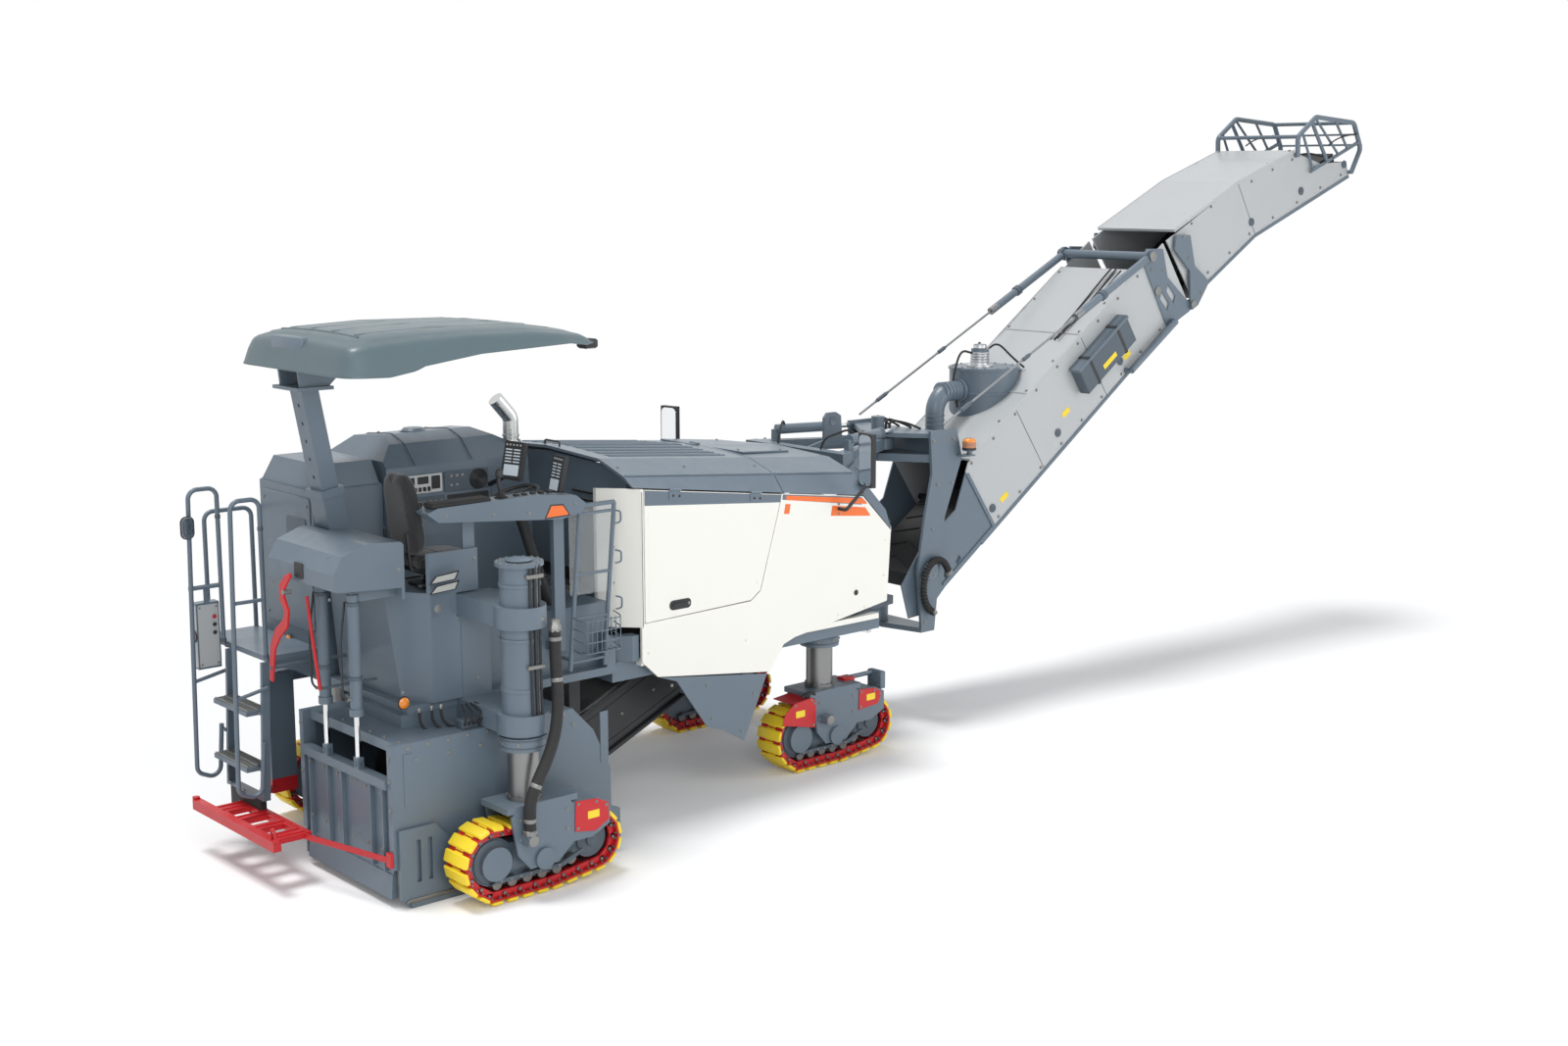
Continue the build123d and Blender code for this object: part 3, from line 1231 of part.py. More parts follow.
def make_upper_boom():
    outline = [
        tip_at(70, 20), head_at(0, 10), head_at(TIP_SECOND - 60, 10), head_at(TIP_SECOND - 60, 190),
        head_at(TIP_SECOND - 520, 330), head_at(900, 610), head_at(-130, 640), tip_at(-20, 760),
    ]
    sides = side_prism(outline, -BOOM_HALF, BOOM_HALF)
    room = [
        tip_at(-300, 26), head_at(0, 26), head_at(TIP_SECOND + 200, 26), head_at(TIP_SECOND + 200, 900),
        head_at(-130, 900), tip_at(-300, 1000),
    ]
    sides -= side_prism(room, -BOOM_HALF + SKIN, BOOM_HALF - SKIN)
    parts = [sides]
    for side in (-1, 1):
        y0, y1 = sorted((side * (BOOM_HALF + 28), side * (BOOM_HALF + 48)))
        plate = side_prism(
            [
                tip_at(*p)
                for p in (
                    (-40, -40), (60, -50), (330, 60), (200, 330), (280, 640), (90, 760), (0, 640), (110, 330), (-10, 90)
                )
            ],
            y0, y1,
        )
        parts.append(plate)
        y0, y1 = sorted((side * (BOOM_HALF - 1), side * (BOOM_HALF + 29)))
        parts.append(pin_y(*tip_at(200, 120), y0, y1, 34))
        parts.append(pin_y(*tip_at(200, 600), y0, y1, 34))
    for u, v in ((300.0, 18.0), (TIP_FIRST - 200, 18.0)):
        a = [tip_at(*p) for p in ((u, v), (u + 90, v), (u + 90, v + 50), (u, v + 50))]
        parts.append(side_prism(a, -BOOM_HALF + 2, BOOM_HALF - 2))
    hinge = pin_y(*FOLD_HINGE, -BOOM_HALF - 49, BOOM_HALF + 49, 30)
    parts.append(hinge)
    return union(*parts)


def make_upper_cover():
    outline = [
        tip_at(120, 775), head_at(-130, 641), head_at(895, 611), head_at(895, 637), head_at(-124, 667), tip_at(124, 801),
    ]
    return side_prism(outline, -BOOM_HALF - 4, BOOM_HALF + 4)


def make_upper_belt():
    low = [tip_at(110, 90), head_at(0, 90), head_at(TIP_SECOND - 20, 90)]
    high = [tip_at(110, 270), head_at(-40, 270), head_at(TIP_SECOND - 20, 270)]
    belt = belt_loop(low, high, BELT_W / 2)
    low = [tip_at(130, 106), head_at(0, 106), head_at(TIP_SECOND - 40, 106)]
    high = [tip_at(130, 254), head_at(-36, 254), head_at(TIP_SECOND - 40, 254)]
    belt -= belt_loop(low, high, BELT_W / 2 + 1)
    parts = [belt]
    for x, z in (tip_at(200, 180), head_at(-20, 180), head_at(900, 180), head_at(TIP_SECOND - 115, 180)):
        parts.append(pin_y(x, z, -BOOM_HALF + SKIN, BOOM_HALF - SKIN, 30))
        parts.append(pin_y(x, z, -BELT_W / 2 + 10, BELT_W / 2 - 10, 73.9))
    return union(*parts)


def make_head_guards():
    """Tube frames round the discharge end with their cross tubes."""
    parts = []
    for side in (-1, 1):
        y = side * (BOOM_HALF + 31)
        route = [head_at(*p) for p in ((900, 560), (960, 760), (1330, 850), (1990, 560), (2040, 250), (1800, 60))]
        parts.append(swept_tube([(x, y, z) for x, z in route], 26, 80))
        for x, z in (head_at(905, 575), head_at(1795, 70)):
            y0, y1 = sorted((side * BOOM_HALF, y))
            parts.append(pin_y(x, z, y0, y1, 22))
        a, b = head_at(1240, 835), head_at(1400, 330)
        parts.append(rod((a[0], y, a[1]), (b[0], y, b[1]), 20))
        c, d = head_at(2030, 330), head_at(1500, 330)
        parts.append(rod((c[0], y, c[1]), (d[0], y, d[1]), 20))
    for u, v in ((962, 760), (1985, 560)):
        x, z = head_at(u, v)
        parts.append(pin_y(x, z, -BOOM_HALF - 31, BOOM_HALF + 31, 20))
    return union(*parts)


def make_fan():
    """Dust extraction fan on the lower cover, with its outlet and motor."""
    v1 = BOOM_DEPTH - BOOM_UNDER + 26
    x, z = boom_at(FAN_U, v1)
    drum = rod((x, 60, z - 300), (x, 60, z + 230), 330)
    outlet = side_prism(
        ((x - 60, z + 200), (x - 60, z - 100), boom_at(FAN_U, v1 - 60), boom_at(FAN_U + 420, v1), (x + 300, z + 200)),
        -180, 300,
    )
    below = [boom_at(*p) for p in ((-500, -900), (5000, -900), (5000, v1), (-500, v1))]
    motor = rod((x - 60, 60, z + 229), (x - 60, 60, z + 400), 85)
    cap = rod((x - 60, 60, z + 400), (x - 60, 60, z + 440), 60)
    return union(drum, outlet, motor, cap) - side_prism(below, -700, 700)


FAN_U = 1950.0
FAN_X, FAN_Z = boom_at(FAN_U, BOOM_DEPTH - BOOM_UNDER + 26)
DUCT_X = 6230.0


def make_duct():
    """Rigid elbow from the fan's inlet down to the cover over the boom's foot."""
    y = 60.0
    run = ((FAN_X - 329, y, FAN_Z + 20), (DUCT_X, y, FAN_Z + 20), (DUCT_X, y, FAN_Z - 600))
    elbow = swept_tube(run, DUCT_R, 190)
    flange = rod((FAN_X - 335, y, FAN_Z + 20), (FAN_X - 365, y, FAN_Z + 20), DUCT_R + 22)
    v1 = BOOM_DEPTH - BOOM_UNDER + 26
    foot = rod((DUCT_X, y, FAN_Z - 600), (DUCT_X, y, FAN_Z - 340), DUCT_R + 22)
    below = [boom_at(*p) for p in ((-500, -900), (5000, -900), (5000, v1), (-500, v1))]
    fan = rod((FAN_X, y, FAN_Z - 300), (FAN_X, y, FAN_Z + 230), 330 + FIT)
    return union(elbow, flange, foot) - side_prism(below, -700, 700) - fan


DUCT_R = 88.0


def make_stays():
    """Two lifting cylinders with wire stays, from the cross tube down to the slewing frame."""
    made = []
    for side in (-1, 1):
        y = side * (BOOM_HALF + 66)
        top = (CROSS_TUBE[0], y, CROSS_TUBE[1])
        low = (STAY_FOOT[0], y, STAY_FOOT[1])
        run = [low[i] - top[i] for i in range(3)]
        mid = tuple(top[i] + run[i] * 0.38 for i in range(3))
        near = tuple(top[i] + run[i] * 0.016 for i in range(3))
        cylinder = rod(near, mid, 38)
        wire = rod(near, low, 11)
        eye = pin_y(top[0], top[2], y - 16, y + 16, 70)
        eye -= pin_y(top[0], top[2], y - 17, y + 17, 44.3)
        gap = pin_y(top[0], top[2], y - 60, y + 60, 44.3)
        made.append(union(cylinder - gap, wire - gap, eye))
    return made


STAY_FOOT = (5720.0, 2735.0)


def make_fold_cylinders():
    made = []
    for side in (-1, 1):
        y = side * (BOOM_HALF + 70)
        a = boom_at(BOOM_LENGTH - 1150, -BOOM_UNDER + 60)
        b = boom_at(BOOM_LENGTH - 330, -BOOM_UNDER + 40)
        tube = rod((a[0], y, a[1]), (b[0], y, b[1]), 34)
        mount = pin_y(a[0], a[1], min(side * BOOM_HALF, y + side * 20), max(side * BOOM_HALF, y + side * 20), 26)
        end = pin_y(b[0], b[1], min(side * (BOOM_HALF + 20), y), max(side * (BOOM_HALF + 20), y), 22)
        made.append(union(tube, mount, end))
    return made


# The hose rises from the track's motor beside the leg and travels up and down with it.
COLUMN_HOSE = (
    (566.0, -1868.0, 1875.0), (566.0, -1868.0, 1650.0), (556.0, -1915.0, 1380.0), (500.0, -1928.0, 1080.0),
    (300.0, -1925.0, 760.0), (300.0, -1912.0, 600.0), (300.0, -1912.0, 478.3),
)


# ---- assembly -----------------------------------------------------------------------
def build_all():
    rear_hood = make_rear_hood()
    made = {
        "slewing_pin_seat": make_pin_seat(),
        "chassis_frame": make_chassis(),
        "engine_block": make_engine(),
        "leg_tubes": make_leg_tubes(),
        "rear_housing": make_rear_cladding(),
        "operator_floor": make_floor(),
        "rear_hood": rear_hood,
        "rear_tank": make_rear_tank(),
        "rear_cowl": make_rear_cowl(),
        "canopy_post_lower": make_post_lower(),
        "canopy_post_upper": make_post_upper(),
        "canopy_roof": make_canopy(),
        "operator_seat": make_seat(),
        "armrest_console": make_console(),
        "driver_controls": make_controls(),
        "guard_cage": make_guard_cage(),
        "ladder": make_ladder(),
        "handrails": make_handrails() + make_control_box(),
        "exhaust_stack": make_exhaust(rear_hood),
        "engine_hood": make_engine_hood(),
        "front_cowl": make_front_cowl(),
        "side_panels": make_side_panels(),
        "side_skirts": make_skirts(),
        "side_door": make_side_door(),
        "mirrors": make_mirrors(),
        "front_tower": [make_tower()] + make_slew_cylinders(),
        "transfer_pan": make_scoop(),
        "primary_conveyor": make_primary(),
        "primary_belt": make_primary_belt(),
        "drum_housing": make_drum_housing(),
        "milling_drum": make_drum(),
        "scraper_gate": make_scraper(),
        "scraper_cylinders": make_scraper_cylinders(),
        "side_plate_right": make_side_plate(-1),
        "side_plate_left": make_side_plate(1),
        "rear_platform": make_rear_platform(),
        "conveyor_swivel": union(make_swivel(), make_beacon()),
        "lower_boom": union(make_lower_boom(), make_lower_cover()),
        "lower_belt": make_lower_belt(),
        "extraction_fan": make_fan(),
        "extraction_duct": make_duct(),
        "boom_cylinders": make_stays() + make_fold_cylinders(),
        "upper_boom": union(make_upper_boom(), make_upper_cover()),
        "upper_belt": make_upper_belt(),
        "head_guards": make_head_guards(),
        "column_hose": cord_tube(COLUMN_HOSE, 42),
    }
    made.update(make_tracks())
    return made


def outer_box(made):
    """Lowest and highest X, Y and Z of all pieces but the free hose."""
    solids = []
    for name, shape in made.items():
        if name != "column_hose":
            solids.extend(shape if isinstance(shape, list) else [shape])
    boxes = [solid.bounding_box() for solid in solids]
    low = [min(getattr(b.min, k) for b in boxes) for k in "XYZ"]
    high = [max(getattr(b.max, k) for b in boxes) for k in "XYZ"]
    return low, high


def origin_of(made):
    """The middle of the outer box, on the ground."""
    low, high = outer_box(made)
    return (low[0] + high[0]) / 2, (low[1] + high[1]) / 2, low[2]


def main():
    made = build_all()
    x, y, z = origin_of(made)
    move = Pos(-x, -y, -z)
    os.makedirs("parts", exist_ok=True)
    for name, shape in made.items():
        solids = shape if isinstance(shape, list) else [shape]
        moved = [move * solid for solid in solids]
        node = moved[0] if len(moved) == 1 else Compound(children=moved)
        export_step(node, "parts/" + name + ".step")


if __name__ == "__main__":
    main()
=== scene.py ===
"""Finish and fittings of a compact front-loading cold planer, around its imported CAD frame.

Lengths are metres. Stations are counted as the frame's maker counts them: X forward from the
foot of the rear right track, Y to the left from the machine's middle plane, Z up from the
ground. put() moves a finished piece from there to the frame's own origin.
"""
import math

import bpy
import numpy as np
from bpy.props import FloatProperty, FloatVectorProperty, IntProperty, PointerProperty
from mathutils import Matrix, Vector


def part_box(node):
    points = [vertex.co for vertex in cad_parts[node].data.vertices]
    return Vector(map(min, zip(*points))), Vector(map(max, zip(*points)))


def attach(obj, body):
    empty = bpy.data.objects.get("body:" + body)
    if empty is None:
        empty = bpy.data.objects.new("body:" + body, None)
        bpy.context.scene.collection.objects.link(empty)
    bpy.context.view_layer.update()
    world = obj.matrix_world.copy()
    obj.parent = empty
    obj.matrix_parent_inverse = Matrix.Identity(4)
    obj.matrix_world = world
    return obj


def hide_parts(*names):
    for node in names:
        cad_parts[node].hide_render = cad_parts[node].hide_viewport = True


bl_info = {
    "name": "Cold planer finish",
    "version": (1, 0, 0),
    "blender": (4, 5, 0),
    "location": "View3D > Sidebar > Planer",
    "description": "Builds the finish, fittings and studio of a cold planer round its CAD frame",
    "category": "Object",
}

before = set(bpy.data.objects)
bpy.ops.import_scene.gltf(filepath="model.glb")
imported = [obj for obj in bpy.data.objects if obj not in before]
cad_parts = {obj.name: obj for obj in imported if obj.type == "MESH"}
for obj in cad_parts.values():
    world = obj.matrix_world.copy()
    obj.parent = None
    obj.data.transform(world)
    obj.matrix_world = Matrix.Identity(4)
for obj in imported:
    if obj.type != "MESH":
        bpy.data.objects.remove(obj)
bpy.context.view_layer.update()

# ---- stations, from the frame ---------------------------------------------------------
TRACK_BEHIND_FOOT = 0.190       # the rear right track's rear end behind its foot
TRACK_OUTSIDE = 1.840           # its outer face from the middle plane
TRACK_LOW = np.array(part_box("rear_right_track")[0])
SHIFT = np.array((TRACK_LOW[0] + TRACK_BEHIND_FOOT, TRACK_LOW[1] + TRACK_OUTSIDE, 0.0))

LEGS = {
    "rear_right": (0.0, -1.70, 2.35),
    "rear_left": (0.0, 0.86, 1.83),
    "front_right": (3.59, -0.80, 1.83),
    "front_left": (3.59, 0.80, 1.83),
}
LEG_FROM_FOOT = 0.40
TRACK_HALF = 0.14
# wheels that the chain goes round: X from the foot, Z, radius outside the shoes
ROUNDS = np.array((
    (0.060, 0.075, 0.075), (0.560, 0.075, 0.075), (0.905, 0.280, 0.235), (0.080, 0.298, 0.270)))
SHOE_COUNT = 26
SHOE_HEIGHT = 0.032

HALF_BODY = 1.13
SEAT_MIDDLE = -0.859
DRUM_X, DRUM_Z = 0.470, 0.525
DRUM_RIGHT, DRUM_LEFT = -1.385, -0.205
BOOM_PIVOT = (5.560, 1.430)
BOOM_ANGLE, TIP_ANGLE, HEAD_ANGLE = 35.0, 31.0, 20.0
BOOM_HALF, BOOM_LENGTH = 0.48, 4.37
BOOM_LOW = -0.33
LIP_INSIDE, LIP_OUTSIDE = 0.4835, 0.492     # edge strips on the covers of both booms
TIP_LENGTH = 1.25
PRIMARY_FOOT, PRIMARY_ANGLE = (1.560, 0.270), 24.0
PRIMARY_RIGHT, PRIMARY_LEFT = -0.61, 0.25


def along(length, depth, angle, origin):
    """A point at a length along and a depth square to a line raised by the angle from X."""
    a = math.radians(angle)
    return (
        origin[0] + length * math.cos(a) - depth * math.sin(a),
        origin[1] + length * math.sin(a) + depth * math.cos(a),
    )


def boom(u, v):
    return along(u, v, BOOM_ANGLE, BOOM_PIVOT)


FOLD_HINGE = boom(BOOM_LENGTH + 0.014, BOOM_LOW - 0.010)


def tip(u, v):
    return along(u, v, TIP_ANGLE, FOLD_HINGE)


KINK = tip(TIP_LENGTH, 0.0)


def head(u, v):
    return along(u, v, HEAD_ANGLE, KINK)


def primary(u, v):
    return along(u, v, PRIMARY_ANGLE, PRIMARY_FOOT)


def square_to(angle):
    """The direction square to a line raised by the angle from X."""
    return -math.sin(math.radians(angle)), 0, math.cos(math.radians(angle))


def spot(line, u, v, y):
    """The point (u, v) of a conveyor's line, at the station y."""
    x, z = line(u, v)
    return x, y, z


def oblong(line, u0, u1, v0, v1):
    """Corners of a rectangle between two lengths and two depths of a conveyor's line."""
    return [line(u0, v0), line(u1, v0), line(u1, v1), line(u0, v1)]


def circle(centre, radius, count, level=True):
    """Points at equal angles about the centre, on a level circle or on one square to Y."""
    a = np.linspace(0, 2 * math.pi, count, endpoint=False)
    c, s, none = radius * np.cos(a), radius * np.sin(a), 0 * a
    return np.array(centre) + np.stack((c, s, none) if level else (c, none, s), axis=1)


# ---- shapes worked out as arrays ------------------------------------------------------
def basis(direction):
    """Three unit vectors square to each other, the first along the direction."""
    d = np.array(direction, float)
    d /= np.linalg.norm(d)
    helper = np.array((0.0, 0.0, 1.0)) if abs(d[2]) < 0.9 else np.array((1.0, 0.0, 0.0))
    u = np.cross(helper, d)
    u /= np.linalg.norm(u)
    return d, u, np.cross(d, u)


def grid_faces(rows, columns, closed):
    """Quads between neighbouring rows and columns, the columns joined to a ring if closed."""
    i = np.arange(rows - 1)[:, None]
    j = np.arange(columns if closed else columns - 1)[None, :]
    k = (j + 1) % columns
    quads = np.stack(
        (i * columns + j, i * columns + k, (i + 1) * columns + k, (i + 1) * columns + j), axis=-1)
    return quads.reshape(-1, 4).tolist()


def rings(points):
    """Skin over rings: points[i, j] is point j of ring i, and both ends are closed by a face."""
    rows, columns = points.shape[:2]
    faces = grid_faces(rows, columns, True)
    faces.append(list(range(columns))[::-1])
    faces.append(list(range((rows - 1) * columns, rows * columns)))
    return outward(points.reshape(-1, 3), faces)


def outward(points, faces):
    """Turns every face round if the enclosed volume, summed over corner fans, is negative."""
    volume = 0.0
    for size in {len(face) for face in faces}:
        block = np.array([face for face in faces if len(face) == size])
        a = points[block[:, 0]]
        for k in range(1, size - 1):
            volume += np.einsum("ij,ij->i", a, np.cross(points[block[:, k]], points[block[:, k + 1]])).sum()
    if volume < 0:
        faces = [face[::-1] for face in faces]
    return points, faces


def turned(profile, start, direction, sides=24):
    """A profile of (radius, height) turned about a line: start + h d + r (cos t u + sin t v)."""
    r, h = np.array(profile, float).T
    d, u, v = basis(direction)
    t = np.linspace(0, 2 * math.pi, sides, endpoint=False)
    circle = np.cos(t)[:, None] * u + np.sin(t)[:, None] * v
    return rings(np.array(start) + h[:, None, None] * d + r[:, None, None] * circle[None])


def collar(inner, outer, height, ease, start, direction, sides=24):
    """A band turned about a line, its two outer edges eased."""
    return turned(
        ((inner, 0), (outer, ease), (outer, height - ease), (inner, height)), start, direction, sides)


def bar(start, end, radius, sides=16):
    """A round bar between two points, its end edges drawn in by a small ease."""
    a, b = np.array(start, float), np.array(end, float)
    length = float(np.linalg.norm(b - a))
    e = min(radius * 0.12, length * 0.2)
    profile = ((radius - e, 0), (radius, e), (radius, length - e), (radius - e, length))
    return turned(profile, a, b - a, sides)


def eased(points, reach=0.06, steps=6):
    """A path whose corners are parabolas: q(t) = (1-t)^2 a + 2t(1-t) c + t^2 b, t from 0 to 1."""
    p = np.array(points, float)
    t = np.linspace(0, 1, steps)[:, None]
    parts = [p[:1]]
    for before, corner, after in zip(p, p[1:], p[2:]):
        into, out = before - corner, after - corner
        a = corner + into * min(0.5, reach / np.linalg.norm(into))
        b = corner + out * min(0.5, reach / np.linalg.norm(out))
        parts.append((1 - t) ** 2 * a + 2 * t * (1 - t) * corner + t ** 2 * b)
    parts.append(p[-1:])
    return np.concatenate(parts)


def tube(path, radius, sides=12):
    """A circle carried along a path: c(s) + r(s) (cos t n(s) + sin t b(s)), with b from a fixed side."""
    c = np.array(path, float)
    tangent = np.gradient(c, axis=0)
    tangent /= np.linalg.norm(tangent, axis=1)[:, None]
    spread = np.ptp(c, axis=0)
    flat = np.zeros(3)
    flat[int(np.argmin(spread))] = 1.0
    n = np.cross(tangent, flat)
    n /= np.linalg.norm(n, axis=1)[:, None]
    b = np.cross(tangent, n)
    t = np.linspace(0, 2 * math.pi, sides, endpoint=False)
    r = np.broadcast_to(np.asarray(radius, float), (len(c),))[:, None, None]
    circle = np.cos(t)[None, :, None] * n[:, None] + np.sin(t)[None, :, None] * b[:, None]
    return rings(c[:, None] + r * circle)


def drawn_in(outline, distance):
    """The outline moved inwards by a distance, each corner along its mitre."""
    p = np.array(outline, float)
    x, y = p.T
    area = np.sum(x * np.roll(y, -1) - np.roll(x, -1) * y)
    side = 1.0 if area > 0 else -1.0
    edge = np.roll(p, -1, axis=0) - p
    edge /= np.linalg.norm(edge, axis=1)[:, None]
    normal = side * np.stack((-edge[:, 1], edge[:, 0]), axis=1)
    before = np.roll(normal, 1, axis=0)
    mitre = normal + before
    mitre /= np.maximum(1.0 + np.einsum("ij,ij->i", normal, before), 0.35)[:, None]
    return p + mitre * distance


def slab(outline, low, high, plane, chamfer=0.003):
    """An outline carried through four stations square to its plane, drawn in at both ends."""
    full = np.array(outline, float)
    small = drawn_in(full, chamfer)
    axis = {"side": 1, "plan": 2, "cross": 0}[plane]
    others = [k for k in range(3) if k != axis]
    stations = []
    for flat, height in ((small, low), (full, low + chamfer), (full, high - chamfer), (small, high)):
        ring = np.empty((len(full), 3))
        ring[:, others[0]] = flat[:, 0]
        ring[:, others[1]] = flat[:, 1]
        ring[:, axis] = height
        stations.append(ring)
    return rings(np.array(stations))


def upright(outline, one_side, other_side, chamfer=0.002):
    """An outline in X and Z carried across between two stations in Y, in either order."""
    return slab(outline, *sorted((one_side, other_side)), "side", chamfer)


def rounded(x0, x1, y0, y1, radius, steps=4):
    """A rectangle whose corners are quarter circles."""
    t = np.linspace(0, math.pi / 2, steps)
    corners = (
        (x1 - radius, y1 - radius, 0), (x0 + radius, y1 - radius, 1), (x0 + radius, y0 + radius, 2),
        (x1 - radius, y0 + radius, 3))
    parts = []
    for cx, cy, quarter in corners:
        a = t + quarter * math.pi / 2
        parts.append(np.stack((cx + radius * np.cos(a), cy + radius * np.sin(a)), axis=1))
    return np.concatenate(parts)


def brick(x0, x1, y0, y1, z0, z1, chamfer=0.004):
    """A box with all its edges eased: a rounded plan carried upwards and drawn in at the ends."""
    radius = min(chamfer * 1.5, (x1 - x0) * 0.4, (y1 - y0) * 0.4)
    ease = min(chamfer, (z1 - z0) * 0.4, radius * 0.9)
    return slab(rounded(x0, x1, y0, y1, radius, 3), z0, z1, "plan", ease)


def spun(part, axis, degrees, about):
    """A part turned about a line along an axis through a point, by Rodrigues' formula."""
    points, faces = part
    k = np.array(axis, float)
    k /= np.linalg.norm(k)
    a = math.radians(degrees)
    q = points - np.array(about)
    q = q * math.cos(a) + np.cross(k, q) * math.sin(a) + np.outer(q @ k, k) * (1 - math.cos(a))
    return q + np.array(about), faces


def copies(part, offsets):
    """The part repeated at each offset."""
    points, faces = part
    moved = points[None] + np.array(offsets, float).reshape(-1, 1, 3)
    count = len(points)
    every = [[i + k * count for i in face] for k in range(len(moved)) for face in faces]
    return moved.reshape(-1, 3), every


def mirrored(part):
    """The same part on the other side of the middle plane."""
    points, faces = part
    return points * np.array((1, -1, 1)), [face[::-1] for face in faces]


def bolts(places, direction, radius=0.011):
    """Hexagon heads on washers, standing on the places along the direction."""
    r = radius
    washer = turned(((r * 1.45, 0), (r * 1.45, r * 0.22), (r * 1.3, r * 0.3)), (0, 0, 0), direction, 12)
    cap = turned(((r, r * 0.25), (r, r * 0.95), (r * 0.82, r * 1.1)), (0, 0, 0), direction, 6)
    return [copies(washer, places), copies(cap, places)]


def row(start, end, count):
    """Points at equal steps from start to end."""
    return np.linspace(start, end, count)


# ---- finishes --------------------------------------------------------------------------
MATERIALS = {}


def feed(tree, node, inputs):
    """Gives a node's inputs their values, or a link where the value is another node's output."""
    for name, value in inputs.items():
        if isinstance(value, bpy.types.NodeSocket):
            tree.links.new(value, node.inputs[name])
        else:
            node.inputs[name].default_value = value


def wired(tree, kind, output, inputs, **settings):
    """Adds a node with its settings and inputs, and returns the named output."""
    node = tree.nodes.new("ShaderNode" + kind)
    for name, value in settings.items():
        setattr(node, name, value)
    feed(tree, node, inputs)
    return node.outputs[output]


def maths(tree, operation, one, other):
    """Two signals or values put through a Math node, or the second alone if there is no first."""
    return other if one is None else wired(tree, "Math", "Value", {0: one, 1: other}, operation=operation)


def mixed(tree, factor, low, high):
    """Two colours or signals mixed by a factor."""
    return wired(tree, "Mix", "Result", {"Factor": factor, "A": low, "B": high}, data_type="RGBA")


def raised(tree, height, strength, distance):
    """A height turned into a bent normal, which goes into the shader."""
    relief = wired(tree, "Bump", "Normal", {"Strength": strength, "Distance": distance, "Height": height})
    feed(tree, tree.nodes["Principled BSDF"], {"Normal": relief})


def finish(name, colour, roughness, metallic=0.0, mottle=0.10, grain=220.0, bump=0.03, coat=0.0, dust=0.0,
           stretch=(1, 1, 1)):
    """A surface with slow changes of tone, fine grain in its gloss and relief, and a little dust on top."""
    if name in MATERIALS:
        return MATERIALS[name]
    material = bpy.data.materials.new(name)
    material.use_nodes = True
    tree = material.node_tree
    place = wired(tree, "TexCoord", "Object", {})
    mapping = wired(tree, "Mapping", "Vector", {"Scale": stretch, "Vector": place})

    def noise(scale, detail):
        return wired(tree, "TexNoise", "Fac", {"Scale": scale, "Detail": detail, "Vector": mapping})

    slow, fine = noise(1.7, 4.0), noise(grain, 2.0)
    dark = (*[c * (1 - mottle) for c in colour], 1)
    pale = (*[min(1.0, c * (1 + mottle)) for c in colour], 1)
    tone = mixed(tree, slow, dark, pale)
    if dust:
        facing = wired(tree, "NewGeometry", "Normal", {})
        upward = wired(tree, "SeparateXYZ", "Z", {"Vector": facing})
        patchy = maths(tree, "MULTIPLY", upward, noise(9.0, 6.0))
        cover = {"From Min": 0.30, "From Max": 0.75, "To Max": dust, "Value": patchy}
        tone = mixed(tree, wired(tree, "MapRange", "Result", cover), tone, (0.42, 0.40, 0.37, 1))
    spread = {
        "To Min": max(0.02, roughness - 0.07), "To Max": min(1.0, roughness + 0.09), "Value": noise(6.0, 5.0)}
    gloss = wired(tree, "MapRange", "Result", spread)
    feed(tree, tree.nodes["Principled BSDF"], {
        "Base Color": tone, "Metallic": metallic, "Roughness": gloss, "Coat Weight": coat,
        "Coat Roughness": 0.12,
    })
    raised(tree, fine, min(1.0, bump * 6), bump * 0.02)
    MATERIALS[name] = material
    return material


def zoned(name, base, zones, colour, metallic=0.0):
    """The base finish with another tone where every one of the zones holds: a zone is a direction
    and a least value of the point's reach along it, the Y part taken without its sign."""
    material = MATERIALS[base].copy()
    material.name = name
    tree = material.node_tree
    place = wired(tree, "TexCoord", "Object", {})
    centred = wired(tree, "VectorMath", "Vector", {0: place, 1: SHIFT.tolist()}, operation="SUBTRACT")
    split = wired(tree, "SeparateXYZ", "X", {"Vector": centred}).node.outputs
    size = wired(tree, "Math", "Value", {0: split["Y"]}, operation="ABSOLUTE")
    folded = wired(tree, "CombineXYZ", "Vector", {"X": split["X"], "Y": size, "Z": split["Z"]})
    total = None
    for group in zones:
        inside = None
        for direction, least in group:
            reach = wired(tree, "VectorMath", "Value", {0: folded, 1: direction}, operation="DOT_PRODUCT")
            inside = maths(tree, "MULTIPLY", inside, maths(tree, "GREATER_THAN", reach, least))
        total = maths(tree, "MAXIMUM", total, inside)
    shader = tree.nodes["Principled BSDF"]
    plain, dull = shader.inputs["Base Color"].links[0].from_socket, shader.inputs["Metallic"].default_value
    feed(tree, shader, {"Base Color": mixed(tree, total, plain, (*colour, 1))})
    if metallic != dull:
        metal = wired(tree, "MapRange", "Result", {"To Min": dull, "To Max": metallic, "Value": total})
        feed(tree, shader, {"Metallic": metal})
    MATERIALS[name] = material


def woven(name, colour, pitch=0.004):
    """Cloth: two crossed bands of threads raise the surface and lighten its tops."""
    tree = finish(name, colour, 0.85, mottle=0.15, grain=400.0).node_tree
    place = wired(tree, "TexCoord", "Object", {})
    threads = {"Scale": 1.0 / pitch / 3.1, "Vector": place}
    bands = [wired(tree, "TexWave", "Fac", threads, bands_direction=way) for way in ("X", "Z")]
    raised(tree, maths(tree, "MULTIPLY", *bands), 0.35, 0.001)
    feed(tree, tree.nodes["Principled BSDF"], {"Sheen Weight": 0.4})


